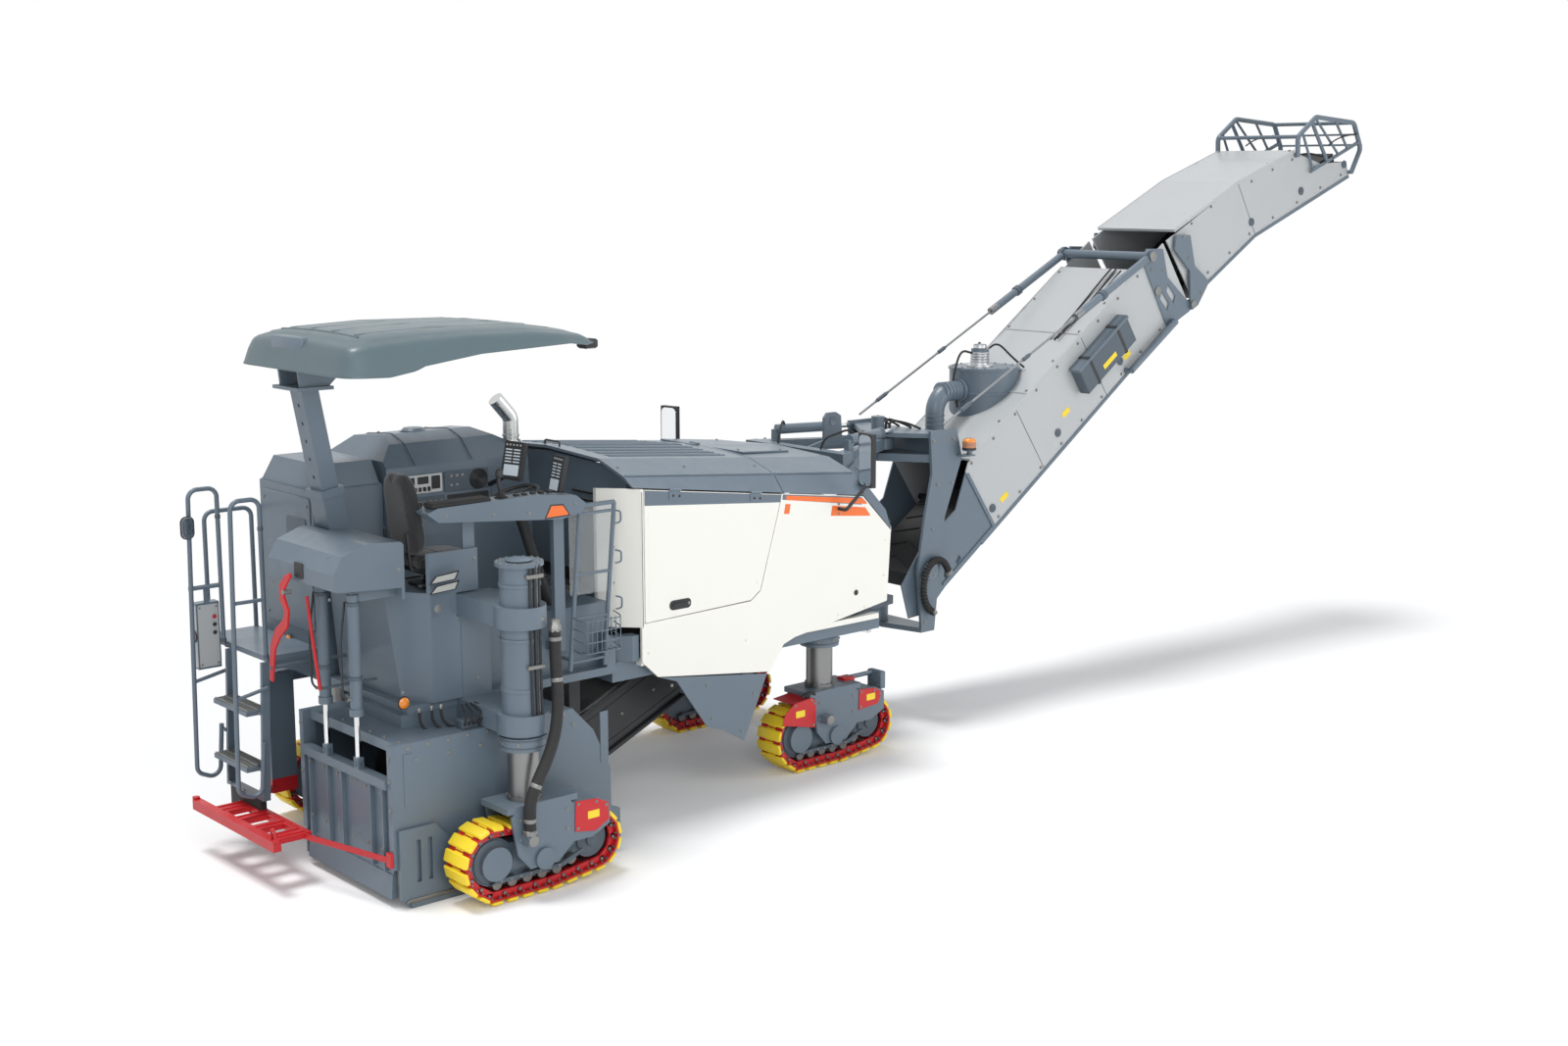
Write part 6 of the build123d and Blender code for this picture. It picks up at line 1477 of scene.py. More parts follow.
def build_drum():
    parts = Parts()
    count = 66
    y = np.linspace(DRUM_RIGHT, DRUM_LEFT, count)
    # two spirals that run inwards from both ends, 9.5 radians for each metre, the picks facing in turn
    turn = np.minimum(y - DRUM_RIGHT, DRUM_LEFT - y) * 9.5 + np.arange(count) * math.pi
    holder = turned(((0.016, 0), (0.030, 0.004), (0.030, 0.040), (0.020, 0.052)), (0, 0, 0), (0, 0, 1), 8)
    pick = turned(
        ((0.011, 0), (0.020, 0.004), (0.018, 0.014), (0.009, 0.026), (0.006, 0.038), (0.001, 0.042)),
        (0, 0, 0.047), (0, 0, 1), 8)
    for part, material in ((holder, "worn steel"), (pick, "carbide")):
        points, faces = part
        c, s = np.cos(turn)[:, None], np.sin(turn)[:, None]
        out, lean = points[None, :, 2] * 0.92 + 0.392, points[None, :, 0] + points[None, :, 2] * 0.45
        x = DRUM_X + out * c - lean * s
        z = DRUM_Z + out * s + lean * c
        every = np.stack((x, y[:, None] + points[None, :, 1], z), axis=-1).reshape(-1, 3)
        size = len(points)
        parts.add(material, outward(every, [
            [i + k * size for i in face] for k in range(count) for face in faces]))
    ends = circle((DRUM_X, -1.391, DRUM_Z), 0.30, 12, False)
    parts.add("worn steel", bolts(ends, (0, -1, 0), 0.014))
    put("drum_picks", "drum", parts)

    parts = Parts()
    heads = [(x, -1.4405, 1.120) for x in row(-0.36, 0.92, 9)] + [
        (x, -1.4405, 1.03) for x in row(-0.30, 1.0, 6)]
    parts.bolt(heads, (0, -1, 0), 0.010)
    parts.bolt([(x, y, 1.150) for x in (-0.39, 0.60) for y in row(-1.38, -0.62, 5)], (0, 0, 1), 0.010)
    can = turned(
        ((0.030, 0), (0.046, 0.004), (0.046, 0.100), (0.050, 0.104), (0.050, 0.128), (0.020, 0.134)),
        (0.74, -1.345, 1.150), (0, 0, 1), 28)
    parts.add("dark grey paint", can)
    parts.add("zinc", turned(
        ((0.012, 0), (0.022, 0.003), (0.022, 0.022), (0.014, 0.030)), (0.74, -1.345, 1.283), (0, 0, 1), 6))
    parts.add("dark grey paint", brick(0.10, 0.24, -1.400, -1.310, 1.150, 1.215, 0.006))
    for k, x in enumerate((0.115, 0.150, 0.185, 0.220)):
        line = eased(
            ((x, -1.402, 1.185), (x, -1.425, 1.190), (x + 0.03 * k, -1.425, 1.26), (x + 0.05, -1.30, 1.30)),
            0.03)
        parts.add("rubber", tube(line, 0.008, 8))
    for z in (0.70, 0.90, 1.06):
        parts.bolt([(-0.4905, -1.415, z), (-0.4905, -0.175, z)], (-1, 0, 0), 0.011)
    put("housing_bolts", "chassis", parts)

    for name, body, side in (("right", "right_side_plate", -1), ("left", "left_side_plate", 1)):
        low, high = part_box("side_plate_" + name)
        face = (low[1] if side < 0 else high[1]) - SHIFT[1]
        x0, x1 = low[0] - SHIFT[0], high[0] - SHIFT[0]
        trim = Parts()
        heads = [x for x in row(x0 + 0.10, x1 - 0.10, 8) if (
            abs(x - 0.47) > 0.27 if side > 0 else -0.05 < x < 0.85)]
        trim.bolt([(x, face, 0.16) for x in heads], (0, side, 0), 0.010)
        skid = ((x0 + 0.03, 0.034), (x1 - 0.03, 0.034), (x1 - 0.05, 0.060), (x0 + 0.05, 0.060))
        trim.add("worn steel", upright(skid, face - side * 0.020, face - side * 0.0005, 0.003))
        put("side_plate_trim_" + name, body, trim)


class PLANER_OT_drum(bpy.types.Operator):
    """Picks and holders in two spirals on the drum, bolts and ports on its housing and side plates"""
    bl_idname = "planer.drum"
    bl_label = "Drum and housing"

    def execute(self, context):
        build_drum()
        return {"FINISHED"}


# ---- cage, beacon, mirrors and nose ---------------------------------------------------------
def build_cage():
    parts = Parts()
    parts.add("clear sheet", upright(rounded(1.200, 1.600, 1.90, 2.55, 0.02), -1.1525, -1.1485, 0.001))
    for z in (1.50, 1.58, 1.66, 1.74):
        loop = eased(
            ((1.215, -1.150, z), (1.230, -1.290, z - 0.02), (1.570, -1.290, z - 0.02), (1.590, -1.150, z)),
            0.05)
        parts.add("grey paint", tube(loop, 0.005, 8))
    for x in row(1.25, 1.55, 8):
        wire = eased(((x, -1.290, 1.735), (x, -1.292, 1.475), (x, -1.160, 1.470)), 0.03)
        parts.add("grey paint", tube(wire, 0.004, 6))
    parts.bolt([(x, -1.1555, z) for x in (1.205, 1.595) for z in (1.95, 2.22, 2.50)], (0, -1, 0), 0.006)
    for z in (1.75, 2.10, 2.40):
        grip = eased(
            (
                (1.600, -1.165, z), (1.640, -1.190, z + 0.01), (1.640, -1.190, z + 0.09),
                (1.600, -1.165, z + 0.10)),
            0.02)
        parts.add("grey paint", tube(grip, 0.007, 8))
    for side in (-1, 1):
        centre = (4.055, side * 1.300, 2.655)
        outline = rounded(-0.086, 0.086, -0.206, 0.206, 0.045, 7)
        glass = slab(outline, -0.0245, -0.0225, "cross", 0.0005)
        rim = slab(rounded(-0.094, 0.094, -0.219, 0.219, 0.050, 7), -0.0235, 0.0225, "cross", 0.004)
        for part, material in ((rim, "black plastic"), (glass, "mirror glass")):
            points, faces = spun(part, (0, 0, 1), side * 10, (0, 0, 0))
            parts.add(material, (points + centre, faces))
        parts.add("black plastic", collar(
            0.0155, 0.022, 0.044, 0.004, (4.050, side * 1.300, 2.430), (0, 0, 1), 20))
        parts.bolt([(3.90, side * 1.131, z) for z in (2.21, 2.29)], (0, side, 0), 0.008)
    eye = turned(
        ((0.0305, -0.016), (0.038, -0.018), (0.038, 0.018), (0.0305, 0.016)), (4.860, 0, 2.795), (0, 1, 0), 28
    )
    parts.add("grey paint", eye)
    parts.bolt(
        [(5.43 + 0.125 * math.cos(a), 0.125 * math.sin(a), 2.600) for a in np.linspace(0.3, 6.58, 13)[:12]],
        (0, 0, 1), 0.009)
    for side in (-1, 1):
        parts.bolt(
            [(4.45 + 0.05 * k, side * 0.6605, 2.30 + 0.085 * k) for k in range(3)], (0, side, 0), 0.011)
        gland = bar((5.10, side * 0.3438, 2.692), (5.155, side * 0.3285, 2.692), 0.052, 24)
        parts.add("dark grey paint", gland)
        rod = bar((5.150, side * 0.330, 2.692), (5.30, side * 0.2865, 2.692), 0.0228, 20)
        parts.add("chrome", rod)
        hose = eased(
            (
                (4.70, side * 0.455, 2.735), (4.66, side * 0.43, 2.775), (4.50, side * 0.30, 2.70),
                (4.47, side * 0.28, 2.603)),
            0.05)
        parts.add("rubber", tube(hose, 0.010, 10))
    put("nose_fittings", "chassis", parts)

    parts = Parts()
    rest = (5.985, -0.620, 2.452)
    parts.add("black plastic", turned(
        ((0.020, 0.040), (0.0625, 0.044), (0.0640, 0.050), (0.0640, 0.062), (0.0620, 0.066)), rest, (0, 0, 1),
        36))
    ribs = [(0.0615, 0.066)]
    for k in range(5):
        ribs += [(0.0628, 0.070 + 0.012 * k), (0.0612, 0.076 + 0.012 * k)]
    parts.add("amber lens", turned(
        ribs + [(0.056, 0.1365), (0.040, 0.1475), (0.012, 0.1515)], rest, (0, 0, 1), 40))
    # corrugated sleeve of the hoses that cross the slewing pin
    angle = np.linspace(0.15 * math.pi, 1.42 * math.pi, 120)
    loop = np.stack((5.62 + 0.17 * np.cos(angle), np.full(120, -0.590), 1.28 + 0.24 * np.sin(angle)), axis=1)
    parts.add("rubber", tube(
        loop, 0.030 + 0.004 * np.sign(np.sin(np.linspace(0, 2 * math.pi * 30, 120) + 0.1)), 14))
    for place, way in ((loop[0], (0.7, 0, -1)), (loop[-1], (1, 0, 0.6))):
        parts.add(
            "zinc",
            turned(((0.030, -0.02), (0.038, -0.016), (0.038, 0.016), (0.030, 0.02)), place, way, 20),
            bar(place, (place[0] + 0.02, -0.544, place[2]), 0.014, 10),
        )
    heads = [(x, -0.5455, z) for x, z in (
        (5.60, 2.60), (5.85, 2.60), (5.66, 2.20), (5.84, 2.20), (5.60, 1.80), (5.62, 1.05), (5.52, 0.95))]
    parts.bolt(heads, (0, -1, 0), 0.011)
    parts.add("zinc", mirrored_list(bolts(heads, (0, -1, 0), 0.011)))
    for side in (-1, 1):
        parts.add("grey paint", turned(
            ((0.030, 0), (0.088, 0.003), (0.088, 0.012), (0.070, 0.018), (0.028, 0.019)),
            spot(boom, 0, 0, side * 0.5705), (0, side, 0), 36))
        parts.bolt(circle(spot(boom, 0, 0, side * 0.5885), 0.055, 6, False), (0, side, 0), 0.008)
    for k, y in enumerate((-0.10, -0.04, 0.04, 0.10)):
        hose = eased(
            (
                (5.50, y * 0.8, 2.662), (5.50, y * 0.9, 2.76 + 0.01 * k), (5.66, y * 1.6, 2.72),
                (5.78, y * 2.0, 2.665)),
            0.06)
        parts.add("rubber", tube(hose, 0.011, 10))
    put("swivel_fittings", "swivel", parts)


class PLANER_OT_cage(bpy.types.Operator):
    """Clear sheet and wire basket in the guard cage, mirror glass, beacon lens and lashing pins"""
    bl_idname = "planer.cage"
    bl_label = "Cage, mirrors and beacon"

    def execute(self, context):
        build_cage()
        return {"FINISHED"}


# ---- conveyors ---------------------------------------------------------------------------------
def chevrons(line, starts, last, depth, lift=0.004, middle=0.0, wide=0.27):
    """Pairs of round cleats on a belt, each running inwards to its middle and 0.10 along it."""
    cleats = Parts()
    for u in starts:
        (x0, z0), (x1, z1) = line(u, depth), line(min(u + 0.10, last), depth)
        for side in (-1, 1):
            start, end = (x0, middle + side * wide, z0 + lift), (x1, middle + side * 0.02, z1 + lift)
            cleats.add("rubber", bar(start, end, sizes().cleat / 2, 8))
    return cleats


def build_primary():
    parts = Parts()
    for y, out in ((PRIMARY_RIGHT, -1), (PRIMARY_LEFT, 1)):
        for v0, v1 in ((0.004, 0.026), (0.450, 0.474)):
            strip = oblong(primary, 0.22, 3.55, v0, v1)
            parts.add("aluminium", upright(strip, y, y + out * 0.006))
        parts.bolt([spot(primary, u, 0.235, y) for u in row(0.30, 3.40, 10)], (0, out, 0), 0.009)
        for v in (0.100, 0.360):
            rib = oblong(primary, 0.22, 3.50, v, v + 0.008)
            parts.add("black paint", upright(rib, y, y + out * 0.004, 0.001))
    for v in (0.030, 0.450):
        for u in (0.152, 1.96):
            parts.add("zinc", bar(
                spot(primary, u, v, -0.624), spot(primary, u + 0.04, v, -0.624), 0.0235, 20))
    put("primary_edges", "chassis", parts)
    cleats = chevrons(primary, row(0.25, 3.50, 18), 3.60, 0.330, 0.006, -0.180, 0.28)
    put("primary_cleats", "chassis", cleats)


class PLANER_OT_primary(bpy.types.Operator):
    """Aluminium edges, scraper bolts and cleats of the primary conveyor"""
    bl_idname = "planer.primary"
    bl_label = "Primary conveyor"

    def execute(self, context):
        build_primary()
        return {"FINISHED"}


def build_lower_conveyor():
    parts, size = Parts(), sizes().bolt
    for side in (-1, 1):
        y = side * BOOM_HALF
        # edge strip, rib and web: lengths, depths, reach inwards and outwards
        for u0, u1, v0, v1, inwards, outwards in (
            (0.70, 3.94, -0.332, -0.298, 0.004, 0.010),
            (0.90, 0.935, -0.310, 0.350, 0, 0.014),
            (0.10, 0.90, -0.30, -0.275, 0, 0.012),
        ):
            strip = oblong(boom, u0, u1, v0, v1)
            parts.add("grey paint", upright(strip, y - side * inwards, y + side * outwards))
        for depth in (0.398, -0.262):
            parts.bolt([spot(boom, k, depth, y) for k in row(1.02, 3.86, 9)], (0, side, 0), size)
        for k in (1.76, 2.86):
            seam = oblong(boom, k, k + 0.007, -0.296, 0.428)
            parts.add("dark grey paint", upright(seam, y, y + side * 0.0025, 0.001))
        lip = oblong(boom, 1.01, 3.89, 0.425, 0.461)
        parts.add("light paint", upright(lip, side * LIP_INSIDE, side * LIP_OUTSIDE))
        for u, v in ((1.18, -0.16), (2.30, -0.05), (3.32, -0.16)):
            plate = rounded(u - 0.055, u + 0.055, v - 0.028, v + 0.028, 0.006)
            parts.add("yellow plate", upright([boom(*p) for p in plate], y, y + side * 0.0022, 0.0005))
        # scraper blade carriers and roller ends
        for k in (1.00, 2.10, 3.20):
            parts.add("dark grey paint", turned(
                ((0.010, 0), (0.040, 0.002), (0.040, 0.010), (0.018, 0.014), (0.008, 0.022)),
                spot(boom, k, -0.140, y), (0, side, 0), 24))
    for k in row(1.10, 3.80, 7):
        x, z = boom(k, 0.456)
        parts.bolt([(x, side * 0.45, z) for side in (-1, 1)], square_to(BOOM_ANGLE), size)
    for k in (1.95, 2.85):
        ridge = [boom(*p) for p in ((k, 0.4555), (k + 0.024, 0.4555), (k + 0.018, 0.466), (k + 0.006, 0.466))]
        parts.add("light paint", upright(ridge, -0.482, 0.482))
    # tool box on the right side, on two straps
    for surface, span, inside, outside, ease in (
        ("dark grey paint", (2.56, 3.40, -0.02, 0.25), -0.485, -0.610, 0.008),
        ("grey paint", (2.55, 3.41, 0.245, 0.275), -0.481, -0.620, 0.006),
        ("black paint", (2.72, 2.755, -0.03, 0.280), -0.480, -0.6135, 0.002),
        ("black paint", (3.20, 3.235, -0.03, 0.280), -0.480, -0.6135, 0.002),
        ("yellow plate", (2.86, 3.08, 0.04, 0.09), -0.609, -0.6118, 0.0005),
    ):
        parts.add(surface, upright(oblong(boom, *span), inside, outside, ease))
    # fan: rim, motor bands, ports
    fan = np.array((6.8958, 0.060, 2.9219))
    motor_foot = fan + (-0.06, 0, 0)
    for z in (0.205, -0.02):
        parts.add("grey paint", collar(0.3305, 0.3425, 0.022, 0.002, fan + (0, 0, z), (0, 0, 1), 64))
    parts.bolt(circle(fan + (0, 0, 0.230), 0.300, 16), (0, 0, 1), 0.009)
    parts.add("aluminium", turned(
        ((0.120, 0), (0.128, 0.003), (0.128, 0.018), (0.0855, 0.020)), motor_foot + (0, 0, 0.229), (0, 0, 1),
        40))
    motor = [(0.0852, 0.245)]
    for k in range(5):
        motor += [(0.0925, 0.250 + 0.026 * k), (0.0925, 0.262 + 0.026 * k), (0.0860, 0.266 + 0.026 * k)]
    parts.add(
        "aluminium",
        turned(motor, motor_foot, (0, 0, 1), 40),
        turned(
            ((0.0605, 0.402), (0.0640, 0.406), (0.0640, 0.436), (0.020, 0.4405)), motor_foot, (0, 0, 1), 32),
    )
    for dy in (0.075, -0.075):
        start = fan + (-0.03, dy, 0.400)
        hose = eased(
            (
                start, start + (0.09, dy * 0.5, 0.060), start + (0.22, dy * 1.8, -0.10),
                start + (0.30, dy * 2.6, -0.182)),
            0.08)
        parts.add("rubber", tube(hose, 0.010, 10))
        parts.add("zinc", bar(start - (0.02, 0, 0.01), start + (0.02, 0, 0.012), 0.014, 6))
    drop = eased(
        (
            fan + (-0.15, 0.02, 0.36), fan + (-0.30, 0.03, 0.40), fan + (-0.42, 0.02, 0.10),
            fan + (-0.36, 0.0, -0.14)),
        0.12)
    parts.add("rubber", tube(drop, 0.011, 10))
    # ribs of the suction duct
    for k in row(-0.60, -0.37, 6):
        parts.add("grey paint", collar(
            0.0885, 0.0935, 0.012, 0.003, (fan[0] + k, 0.060, fan[2] + 0.020), (1, 0, 0), 36))
    for z in row(-0.33, -0.20, 4):
        parts.add("grey paint", collar(
            0.0885, 0.0935, 0.012, 0.003, (6.230, 0.060, fan[2] + z), (0, 0, 1), 36))
    # stay eyes and turnbuckles
    for side in (-1, 1):
        a = np.array(spot(boom, BOOM_LENGTH - 0.320, 0.500, side * 0.546))
        b = np.array((5.720, side * 0.546, 2.735))
        for share, long in ((0.62, 0.09), (0.90, 0.13)):
            p = a + (b - a) * share
            way = (b - a) / np.linalg.norm(b - a)
            parts.add(
                "dark grey paint",
                bar(p - way * long / 2, p + way * long / 2, 0.020, 10),
                bar(p - way * long * 0.7, p + way * long * 0.7, 0.0135, 10),
            )
        p = a + (b - a) * 0.235
        parts.add("dark grey paint", bar(p, p + (b - a) * 0.020, 0.050, 24))
        end = spot(boom, BOOM_LENGTH - 0.320, 0.500, side * 0.590)
        parts.add("zinc", turned(
            ((0.010, 0), (0.050, 0.002), (0.050, 0.010), (0.020, 0.014)), end, (0, side, 0), 28))
    for k, y in enumerate((-0.30, -0.25, -0.20)):
        line = [spot(boom, u, 0.47 + 0.02 * math.sin(u * 3.1 + k), y) for u in row(2.75, 3.86, 14)]
        parts.add("rubber", tube(eased(line, 0.05), 0.009, 8))
    cap = ((0.010, 0), (0.044, 0.002), (0.044, 0.010), (0.016, 0.014))
    for side in (-1, 1):
        parts.add("zinc", turned(cap, spot(boom, 4.02, 0.10, side * 0.500), (0, side, 0), 24))
    for side in (-1, 1):
        heads = [spot(boom, u, v, side * 0.500) for u, v in ((4.05, 0.34), (4.20, 0.22))]
        parts.bolt(heads, (0, side, 0), 0.012)
    put("lower_boom_fittings", "lower_conveyor", parts)
    put("lower_belt_cleats", "lower_conveyor", chevrons(boom, row(0.02, 4.30, 23), 4.36, -0.044))


class PLANER_OT_lower_conveyor(bpy.types.Operator):
    """Frame edges, bolts, blank plates, tool box, fan fittings and stay ends of the lower boom"""
    bl_idname = "planer.lower_conveyor"
    bl_label = "Lower conveyor"

    def execute(self, context):
        build_lower_conveyor()
        return {"FINISHED"}


def build_upper_conveyor():
    parts, size = Parts(), sizes().bolt
    for side in (-1, 1):
        y = side * BOOM_HALF
        low = [tip(*p) for p in ((0.08, 0.018), (1.24, 0.006))]
        high = [tip(*p) for p in ((1.24, 0.038), (0.08, 0.050))]
        parts.add("grey paint", upright(low + high, y - side * 0.004, y + side * 0.010))
        low = [head(*p) for p in ((0.00, 0.006), (1.785, 0.008), (1.785, 0.040), (0.00, 0.038))]
        parts.add("grey paint", upright(low, y - side * 0.004, y + side * 0.010))
        places = [spot(tip, *p, y) for p in (
            (0.40, 0.12), (0.80, 0.10), (1.18, 0.09), (0.40, 0.70), (0.75, 0.68))]
        places += [spot(head, *p, y) for p in (
            (0.35, 0.09), (0.80, 0.09), (1.25, 0.09), (1.65, 0.09), (0.10, 0.58), (0.48, 0.57), (0.84, 0.55),
            (1.20, 0.34))]
        parts.bolt(places, (0, side, 0), size)
        seam = [head(0.004, 0.04), head(0.011, 0.04), head(-0.118, 0.632), head(-0.125, 0.632)]
        parts.add("dark grey paint", upright(seam, y, y + side * 0.0025, 0.001))
        lip = [
            tip(0.122, 0.772), head(-0.130, 0.637), head(0.895, 0.607), head(0.895, 0.642),
            head(-0.124, 0.672), tip(0.124, 0.806)]
        parts.add("light paint", upright(lip, side * LIP_INSIDE, side * LIP_OUTSIDE))
        for k in (-0.02, 0.90, 1.735):
            parts.add("dark grey paint", turned(
                ((0.010, 0), (0.042, 0.002), (0.042, 0.010), (0.018, 0.014), (0.008, 0.024)),
                spot(head, k, 0.180, y), (0, side, 0), 24))
        heads = [spot(tip, u, v, side * 0.528) for u, v in ((0.16, 0.03), (0.15, 0.45), (0.18, 0.68))]
        parts.bolt(heads, (0, side, 0), 0.012)
        x, z = FOLD_HINGE
        parts.add("zinc", turned(
            ((0.008, 0), (0.040, 0.002), (0.040, 0.008), (0.016, 0.012)), (x, side * 0.5292, z), (0, side, 0),
            28))
    for k in (0.05, 0.45, 0.86):
        x, z = head(k, 0.640)
        parts.bolt([(x, side * 0.45, z) for side in (-1, 1)], square_to(HEAD_ANGLE), size)
    ridge = [head(*p) for p in ((0.36, 0.630), (0.384, 0.630), (0.378, 0.640), (0.366, 0.640))]
    parts.add("light paint", upright(ridge, -0.482, 0.482))
    # slats between the head guards, and the sleeve of the head roller
    for v0, u0 in ((0.56, 1.985), (0.42, 2.010), (0.30, 2.020)):
        x, z = head(u0, v0)
        parts.add("grey paint", bar((x, -0.500, z), (x, 0.500, z), 0.011, 12))
    x, z = head(1.735, 0.180)
    parts.add("rubber", collar(0.030, 0.0752, 0.580, 0.003, (x, -0.290, z), (0, 1, 0), 40))
    for side in (-1, 1):
        y = side * 0.511
        for (u, v), (p, q) in (
            ((1.05, 0.79), (1.13, 0.33)), ((1.33, 0.82), (1.62, 0.33)), ((1.66, 0.70), (1.80, 0.33)),
        ):
            parts.add("grey paint", bar(spot(head, u, v, y), spot(head, p, q, y), 0.014, 12))
        parts.add("grey paint", bar(spot(head, 1.08, 0.33, y), spot(head, 1.52, 0.33, y), 0.016, 12))
        cable = [spot(head, u, 0.46 + 0.05 * math.sin(5 * u), side * 0.535) for u in row(1.45, 1.98, 10)]
        parts.add("rubber", tube(eased(cable, 0.03), 0.008, 8))
    put("upper_boom_fittings", "upper_conveyor", parts)
    put("upper_belt_cleats", "upper_conveyor", chevrons(head, row(0.10, 1.72, 10), 1.82, 0.271))


class PLANER_OT_upper_conveyor(bpy.types.Operator):
    """Bolts, seams, guard slats and roller of the folding upper conveyor"""
    bl_idname = "planer.upper_conveyor"
    bl_label = "Upper conveyor"

    def execute(self, context):
        build_upper_conveyor()
        return {"FINISHED"}


# ---- free hose beside the rear right leg --------------------------------------------------------
HOSE_ROUTE = (
    (0.566, -1.868, 1.875), (0.566, -1.868, 1.650), (0.556, -1.915, 1.380), (0.500, -1.928, 1.080),
    (0.300, -1.925, 0.760), (0.300, -1.912, 0.600), (0.300, -1.912, 0.4783),
)
HOSE_RADIUS = 0.042


def hose_line(name):
    """A curve of one spline whose control points are the hose's route."""
    curve = bpy.data.curves.new(name, "CURVE")
    curve.dimensions = "3D"
    curve.resolution_u = 24
    spline = curve.splines.new("NURBS")
    spline.points.add(len(HOSE_ROUTE) - 1)
    for point, place in zip(spline.points, HOSE_ROUTE):
        point.co = (*(np.array(place) + SHIFT), 1.0)
    spline.order_u = 3
    spline.use_endpoint_u = True
    return curve


def build_leg_hose():
    line = bpy.data.objects.new("hose_line", hose_line("hose_line"))
    bpy.context.scene.collection.objects.link(line)
    mesh = bpy.data.meshes.new_from_object(line.evaluated_get(bpy.context.evaluated_depsgraph_get()))
    path = vertex_places(mesh) - SHIFT
    bpy.data.objects.remove(line)
    run = np.concatenate(([0.0], np.cumsum(np.linalg.norm(np.diff(path, axis=0), axis=1))))
    at = np.linspace(0, run[-1], 260)
    fine = np.stack([np.interp(at, run, path[:, k]) for k in range(3)], axis=1)
    # the wrap's radius is R - 0.0030 (1 - |sin(pi s / p)|^0.5), with a pitch p of 22 mm
    wrap = HOSE_RADIUS - 0.0030 * (1 - np.abs(np.sin(math.pi * at / 0.022)) ** 0.5)
    hose = put("leg_hose", "rear_right_crawler", [(tube(fine, wrap, 20), "hose wrap")], 180)
    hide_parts("column_hose")
    top = put("leg_hose_fitting", "rear_right_crawler", [
        (
            turned(
                ((0.020, 0), (0.046, 0.003), (0.046, 0.040), (0.034, 0.055), (0.034, 0.085), (0.015, 0.090)),
                (0.566, -1.868, 1.862), (0, 0, 1), 6),
            "zinc"),
        (collar(0.0425, 0.0475, 0.030, 0.003, (0.566, -1.868, 1.800), (0, 0, 1), 28), "zinc"),
    ])
    sleeves = Parts()
    for share in (0.24, 0.76, 0.93):
        k = int(share * (len(fine) - 1))
        way = fine[min(k + 3, len(fine) - 1)] - fine[max(k - 3, 0)]
        sleeves.add("zinc", turned(
            ((0.0425, -0.014), (0.0438, -0.012), (0.0438, 0.012), (0.0425, 0.014)), fine[k], way, 28))
    sleeves.add("zinc", turned(
        ((0.030, 0), (0.052, 0.003), (0.052, 0.034), (0.0425, 0.040)), (0.300, -1.912, 0.4783), (0, 0, 1), 6))
    put("leg_hose_sleeves", "rear_right_crawler", sleeves)


class PLANER_OT_leg_hose(bpy.types.Operator):
    """Wrapped hose that rises from the rear right track, its sleeves and clamps"""
    bl_idname = "planer.leg_hose"
    bl_label = "Leg hose"

    def execute(self, context):
        build_leg_hose()
        return {"FINISHED"}


def build_feeler():
    y = -0.800
    parts = Parts([
        (bar((4.30, y, 0.690), (4.64, y, 0.690), 0.020, 16), "grey paint"),
        (brick(4.24, 4.36, y - 0.050, y + 0.050, 0.620, 0.705, 0.006), "red paint"),
        (brick(4.600, 4.660, y - 0.120, y + 0.050, 0.560, 0.712, 0.006), "grey paint"),
        (bar((4.630, y - 0.060, 0.470), (4.630, y - 0.060, 0.562), 0.006, 10), "bare steel"),
        (
            turned(
                ((0.006, 0), (0.030, 0.010), (0.034, 0.080), (0.024, 0.110), (0.006, 0.112)),
                (4.630, y - 0.060, 0.360), (0, 0, 1), 24),
            "red paint"),
        (
            turned(
                ((0.006, 0), (0.020, 0.004), (0.020, 0.020), (0.006, 0.022)), (4.630, y - 0.060, 0.338),
                (0, 0, 1), 20),
            "zinc"),
        (bolts([(4.60, y + k, z) for k in (-0.09, 0.02) for z in (0.590, 0.684)], (-1, 0, 0), 0.008), "zinc"),
    ])
    line = eased(
        (
            (3.80, y - 0.150, 0.660), (3.76, y - 0.180, 0.690), (3.70, y - 0.175, 0.697),
            (3.66, y - 0.150, 0.660)),
        0.06)
    parts.add("rubber", tube(line, 0.014, 12))
    put("track_sensor", "front_right_crawler", parts)


class PLANER_OT_feeler(bpy.types.Operator):
    """Edge sensor arm with its red pendant and the small hose of the front right track"""
    bl_idname = "planer.feeler"
    bl_label = "Track sensor"

    def execute(self, context):
        build_feeler()
        return {"FINISHED"}


# ---- CAD nodes' finishes, floor, lights and camera -------------------------------------------------
def build_node_finishes():
    left = set(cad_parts)
    for material, names in NODE_FINISH.items():
        for name in names:
            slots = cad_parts[name].data.materials
            slots.clear()
            slots.append(MATERIALS[material])
            left.discard(name)
    replaced = {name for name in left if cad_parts[name].hide_render}
    if left - replaced:
        raise RuntimeError("CAD nodes without a finish: " + ", ".join(sorted(left - replaced)))


class PLANER_OT_node_finishes(bpy.types.Operator):
    """Gives every kept CAD node its finish"""
    bl_idname = "planer.node_finishes"
    bl_label = "CAD finishes"

    def execute(self, context):
        build_node_finishes()
        return {"FINISHED"}


CAMERA_PLACE = (-6.835, -12.669, 4.9)
CAMERA_TURN = (80.03, 0.0, -41.3)
CAMERA_LENS = 44.74
FLOOR_REACH = 60.0
WHITE_FROM, WHITE_AT = 8.0, 13.0        # distances over which the floor turns white for the eye


def eye_rays(tree):
    """One for rays from the camera, from gloss and through glass, else nought."""
    path = wired(tree, "LightPath", "Is Camera Ray", {}).node.outputs
    total = path["Is Camera Ray"]
    for name in ("Is Glossy Ray", "Is Transmission Ray"):
        total = maths(tree, "MAXIMUM", total, path[name])
    return total


